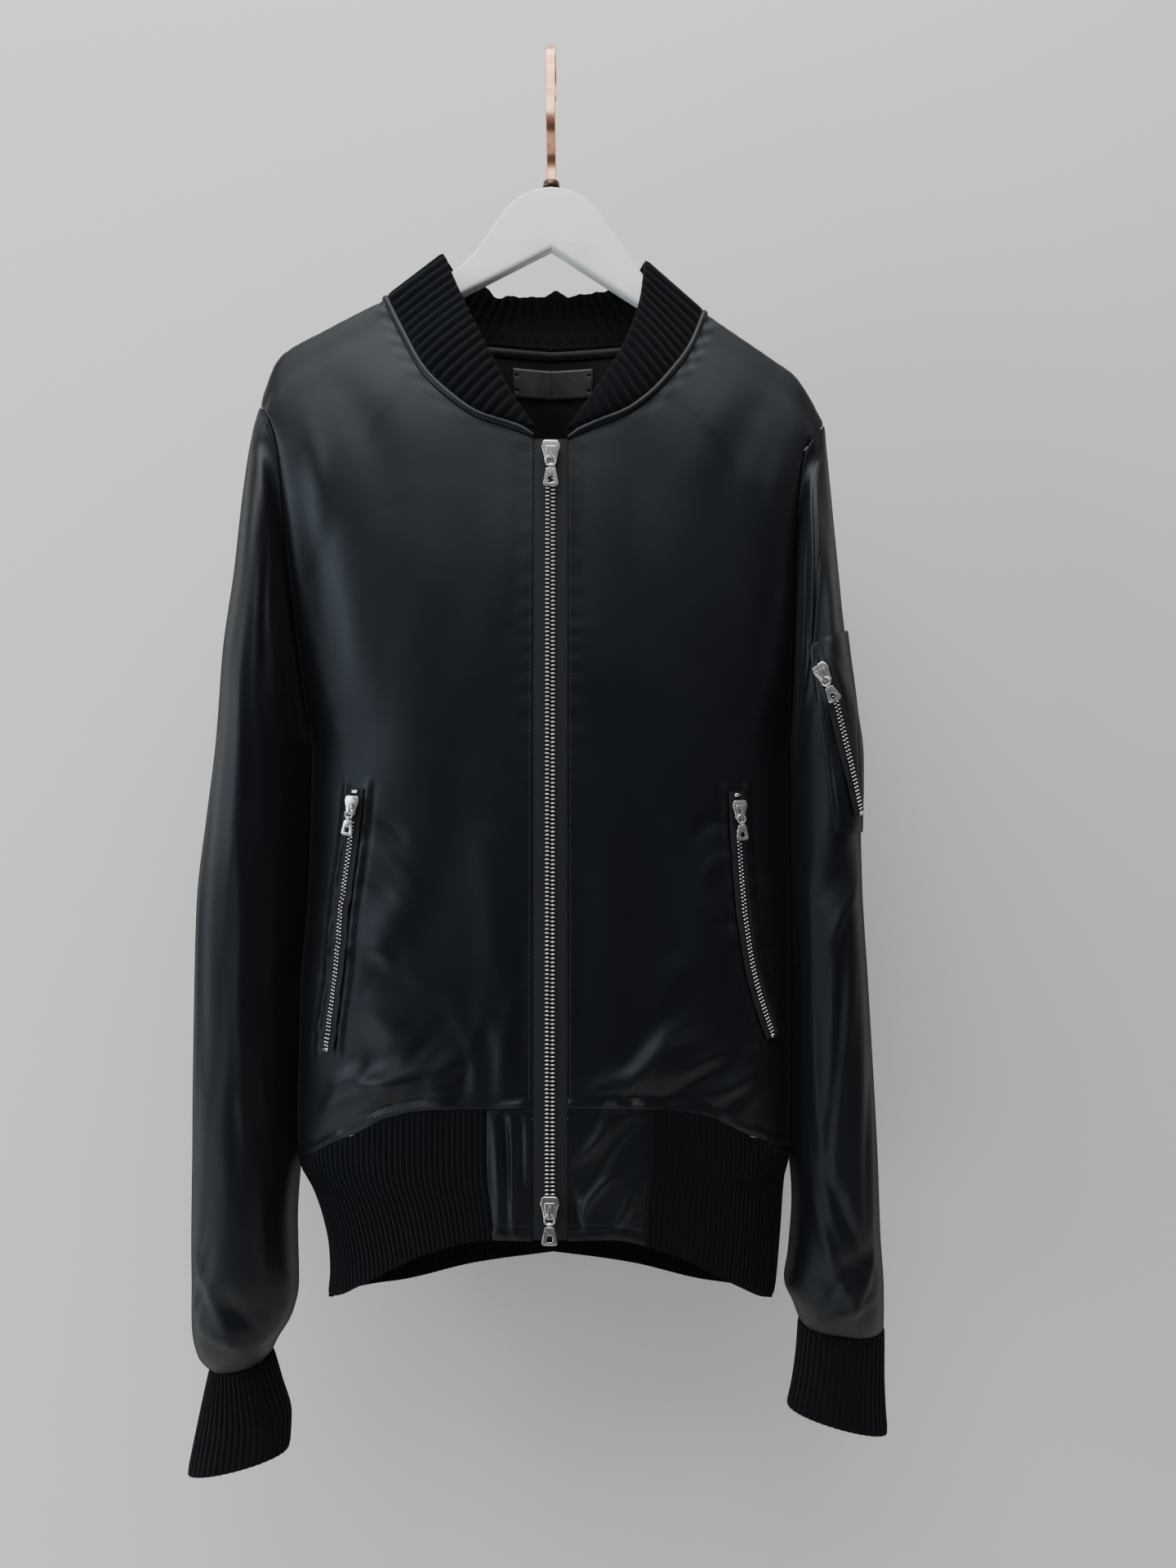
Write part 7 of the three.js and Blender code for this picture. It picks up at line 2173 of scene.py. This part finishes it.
@dataclass
class Hanger:
    """The flat painted board, its ferrule and its copper strip hook."""

    shop: Workshop
    thickness: float = 12.0
    rounding: float = 4.4
    seat: float = 2.2
    end_x: dict[Side, float] = field(default_factory=lambda: {Side.LEFT: 167.0, Side.RIGHT: 183.0})
    top: dict[Side, Rows] = field(default_factory=lambda: {
        Side.LEFT: ((0, -97), (14, -99.5), (25, -105.6), (35, -115.7), (45, -130), (56, -147), (67, -161.5),
                    (90, -182), (106, -193)),
        Side.RIGHT: ((0, -97), (14, -99.5), (25, -105.6), (35, -115.7), (45, -130), (56, -145), (67, -155),
                     (90, -170), (110, -182.5)),
    })
    apex_z: float = -141.6
    slope: dict[Side, float] = field(default_factory=lambda: {Side.LEFT: 0.66, Side.RIGHT: 0.52})
    seated_from: float = 127.0
    strip_width: float = 6.6
    strip_thickness: float = 3.0
    hook_inner: float = 15.0
    ferrule_radius: float = 6.2
    ferrule_height: float = 5.0
    ferrule_bottom: float = -96.7

    def half(self, side: Side) -> list[tuple[float, float]]:
        """Return one half of the board's outline, from its crown round the end to its notch."""
        crown = Curve(self.top[side])
        end = self.end_x[side]
        line = self.shop.body.shoulder_line[side]
        over = [(x, float(crown(x))) for x in np.linspace(2, self.top[side][-1][0], 30)]
        along = [(x, float(line(x)) - self.seat) for x in np.linspace(self.seated_from, end, 12)]
        tip = along[-1][1] - 7

        def lower(x: float) -> float:
            return self.apex_z - self.slope[side] * x

        corner = rounded_loop([along[-1], (end + 1.5, tip), (end - 4, lower(end) + 6),
                               (end - 14, lower(end - 14))],
                              4, 4)
        return over + along + corner[6:19]

    def board(self) -> bpy.types.Object:
        """Return the board."""
        right = [(-x, z) for x, z in self.half(Side.RIGHT)][::-1]
        outline = [(0, -97.0), *self.half(Side.LEFT), (0, self.apex_z), *right]
        mesh = plate_mesh([outline], self.thickness, self.rounding * 0.7, 5)
        turn = Matrix.Scale(MM, 4) @ Matrix.Rotation(math.pi / 2, 4, "X")
        made = new_object("dressed_hanger", joined_mesh("dressed_hanger", [(mesh, turn)]), 40)
        return self.shop.finish(made, self.shop.finishes.paint, "hanger_paint", ["hanger"])

    def hook(self) -> bpy.types.Object:
        """Return the strip hook, up from the ferrule, out and over the rail."""
        radius = self.hook_inner + self.strip_thickness / 2
        knots = np.array([(0, self.ferrule_bottom + self.ferrule_height + 0.2), (0, -80), (-1.5, -75),
                          (-9, -67), (-15, -60.5), (-radius, -54), (-radius, -self.hook_inner)])
        length = run_lengths(knots, 0)
        fine = np.linspace(0, length[-1], 60)
        low = np.stack([np.interp(fine, length, knots[:, i]) for i in (0, 1)], -1)
        for _ in range(5):
            low[1:-1] = (low[:-2] + 2 * low[1:-1] + low[2:]) / 4
        angle = np.radians(np.linspace(174, -35, 44))
        arc = np.stack([radius * np.cos(angle), -self.hook_inner + radius * np.sin(angle)], -1)
        line = np.concatenate([low, arc])
        ahead = unit(np.gradient(line, axis=0))
        sideways = np.stack([-ahead[:, 1], ahead[:, 0]], -1) * self.strip_thickness / 2
        loop = [tuple(p) for p in (line + sideways)] + [tuple(p) for p in (line - sideways)[::-1]]
        mesh = plate_mesh([loop], self.strip_width, 0.5, 2)
        turn = Matrix.Scale(MM, 4) @ Matrix(((0, 0, 1, 0), (1, 0, 0, 0), (0, 1, 0, 0), (0, 0, 0, 1)))
        made = new_object("dressed_hook", joined_mesh("dressed_hook", [(mesh, turn)]), 40)
        return self.shop.finish(made, self.shop.finishes.copper, "hook_metal", ["hook"])

    def ferrule(self) -> bpy.types.Object:
        """Return the turned ferrule between the board and the hook."""
        r, low, high = self.ferrule_radius, self.ferrule_bottom, self.ferrule_bottom + self.ferrule_height
        profile = [(0.02, low), (r * 0.96, low), (r, low + 0.5), (r, low + 1.1), (r * 0.93, low + 1.5),
                   (r * 0.93, high - 1.2), (r * 0.86, high - 0.4), (r * 0.7, high), (0.02, high)]
        count = 48
        turn = np.linspace(0, math.tau, count, endpoint=False)
        points = [(radius * math.cos(a), radius * math.sin(a), z) for radius, z in profile for a in turn]
        faces = [(i * count + j, i * count + (j + 1) % count, (i + 1) * count + (j + 1) % count,
                  (i + 1) * count + j)
                 for i in range(len(profile) - 1) for j in range(count)]
        faces += [tuple(range(count))[::-1], tuple(range((len(profile) - 1) * count, len(profile) * count))]
        mesh = bpy.data.meshes.new("ferrule")
        mesh.from_pydata(points, [], faces)
        made = new_object("dressed_ferrule", joined_mesh("dressed_ferrule", [(mesh, Matrix.Scale(MM, 4))]),
                          40)
        return self.shop.finish(made, self.shop.finishes.bronze, "ferrule_metal", ["ferrule"])


@dataclass
class Studio:
    """The camera, the lights, and a plain pale wall and floor."""

    camera_place: tuple[float, float, float] = (0.0263, -0.844, -0.523)
    lens: float = 27.06
    wall_y: float = 0.16
    floor_z: float = -1.75

    def area(self, name: str, place: tuple[float, float, float], aim: tuple[float, float, float], size: float,
             power: float, color: tuple[float, float, float] = (1, 1, 1)) -> None:
        """Add a square area light that looks at a point."""
        light = bpy.data.lights.new(name, "AREA")
        light.size = size
        light.energy = power
        light.color = color
        holder = bpy.data.objects.new(name, light)
        holder.location = place
        holder.rotation_euler = (Vector(aim) - Vector(place)).to_track_quat("-Z", "Y").to_euler()
        bpy.context.scene.collection.objects.link(holder)

    def backdrop(self) -> None:
        """Add the wall that curves into the floor; seen from behind it lets the view through."""
        curve = [(self.wall_y + 0.001, 1.6), (self.wall_y, self.floor_z + 0.4)]
        for i in range(1, 13):
            angle = math.radians(90 * i / 12)
            curve.append((self.wall_y - 0.4 + 0.4 * math.cos(angle),
                          self.floor_z + 0.4 - 0.4 * math.sin(angle)))
        curve.append((-1.3, self.floor_z))
        points = [(x, y, z) for y, z in curve for x in (-2.6, 2.6)]
        faces = [(2 * i, 2 * i + 2, 2 * i + 3, 2 * i + 1) for i in range(len(curve) - 1)]
        mesh = bpy.data.meshes.new("backdrop")
        mesh.from_pydata(points, [], faces)
        made = new_object("backdrop", mesh)
        material = bpy.data.materials.new("Pale wall")
        material.use_nodes = True
        nodes = Nodes(material.node_tree)
        shader = next(node for node in material.node_tree.nodes if node.type == "BSDF_PRINCIPLED")
        output = next(node for node in material.node_tree.nodes if node.type == "OUTPUT_MATERIAL")
        shader.inputs["Base Color"].default_value = (0.72, 0.705, 0.68, 1)
        shader.inputs["Roughness"].default_value = 0.9
        clear = nodes.add("ShaderNodeBsdfTransparent")
        either = nodes.add("ShaderNodeMixShader")
        behind = nodes.add("ShaderNodeNewGeometry")
        nodes.feed(either.inputs[0], behind.outputs["Backfacing"])
        nodes.feed(either.inputs[1], shader.outputs[0])
        nodes.feed(either.inputs[2], clear.outputs[0])
        nodes.feed(output.inputs["Surface"], either.outputs[0])
        mesh.materials.append(material)

    def build(self) -> None:
        """Add everything."""
        camera = bpy.data.cameras.new("camera")
        camera.lens = self.lens
        camera.sensor_width = 36.0
        camera.clip_start = 0.01
        holder = bpy.data.objects.new("camera", camera)
        holder.location = self.camera_place
        holder.rotation_euler = (math.radians(90), 0, 0)
        bpy.context.scene.collection.objects.link(holder)
        bpy.context.scene.camera = holder
        self.area("overhead", (-0.25, -0.95, 1.25), (0, 0.1, -0.5), 1.8, 44, (1, 0.99, 0.97))
        self.area("wall_wash", (0.1, -0.5, 1.15), (0, 0.2, 0.1), 1.2, 10, (1, 0.98, 0.95))
        self.area("left_window", (-1.9, -0.8, -0.1), (0, 0, -0.5), 0.9, 18, (0.78, 0.9, 1))
        self.area("low_window", (-1.3, -0.95, -1.3), (-0.2, 0, -0.85), 0.6, 6, (0.82, 0.92, 1))
        self.area("back_fill", (0.3, 1.6, 0.5), (0, 0, -0.5), 1.4, 22)
        world = bpy.data.worlds.new("studio")
        world.use_nodes = True
        nodes = Nodes(world.node_tree)
        split = nodes.add("ShaderNodeSeparateXYZ")
        nodes.feed(split.inputs[0], nodes.add("ShaderNodeTexCoord").outputs["Generated"])
        rise = nodes.add("ShaderNodeMapRange")
        nodes.feed(rise.inputs["Value"], split.outputs["Z"])
        for name, value in (("From Min", -0.1), ("From Max", 0.8), ("To Min", 0.13), ("To Max", 0.75)):
            rise.inputs[name].default_value = value
        sky = next(node for node in world.node_tree.nodes if node.type == "BACKGROUND")
        sky.inputs["Color"].default_value = (0.97, 0.98, 1.0, 1)
        nodes.feed(sky.inputs["Strength"], rise.outputs[0])
        bpy.context.scene.world = world
        self.backdrop()


def build_pulls(shop: Workshop) -> None:
    """Make the seven sliders with their pulls."""
    down = Vector((0, 0, 1))
    front_bead, small_bead = 2.6, 2.3
    table = (
        ("top", 1.0, front_bead, down), ("bottom", 1.0, front_bead, down),
        ("pocket_left", 0.86, small_bead, Vector((-0.06, 0, 1))),
        ("pocket_right", 0.86, small_bead, Vector((0.12, 0, 1))),
        ("sleeve", 0.86, small_bead, Vector((-0.22, 0, 1))), ("cuff_left", 0.8, small_bead, down),
        ("cuff_right", 0.8, small_bead, Vector((0.3, 0, 1))),
    )
    for name, size, bead, upwards in table:
        Pull(shop, name, size, bead, upwards).build()
        log.info("pull %s", name)


def main() -> None:
    """Build the jacket piece by piece."""
    logging.basicConfig(level=logging.INFO, format="%(name)s: %(message)s")
    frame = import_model()
    shop = Workshop(frame)
    Studio().build()
    panels = BodyPanels(shop)
    panels.back()
    for side in Side:
        panels.front(side)
        Sleeves(shop).build(side)
        HemPanels(shop).build(side)
    log.info("satin pieces")
    knits = Knits(shop)
    knits.collar()
    knits.hem()
    for side in Side:
        knits.cuff(side)
    log.info("rib knit")
    trims = NeckTrims(shop)
    trims.binding()
    trims.facing()
    trims.label()
    FrontZip(shop).build()
    zips = Zips(shop)
    zips.build()
    log.info("zips")
    build_pulls(shop)
    Stitching(shop, zips).build()
    hanger = Hanger(shop)
    hanger.board()
    hanger.hook()
    hanger.ferrule()
    log.info("hanger")


if __name__ == "__main__":
    main()
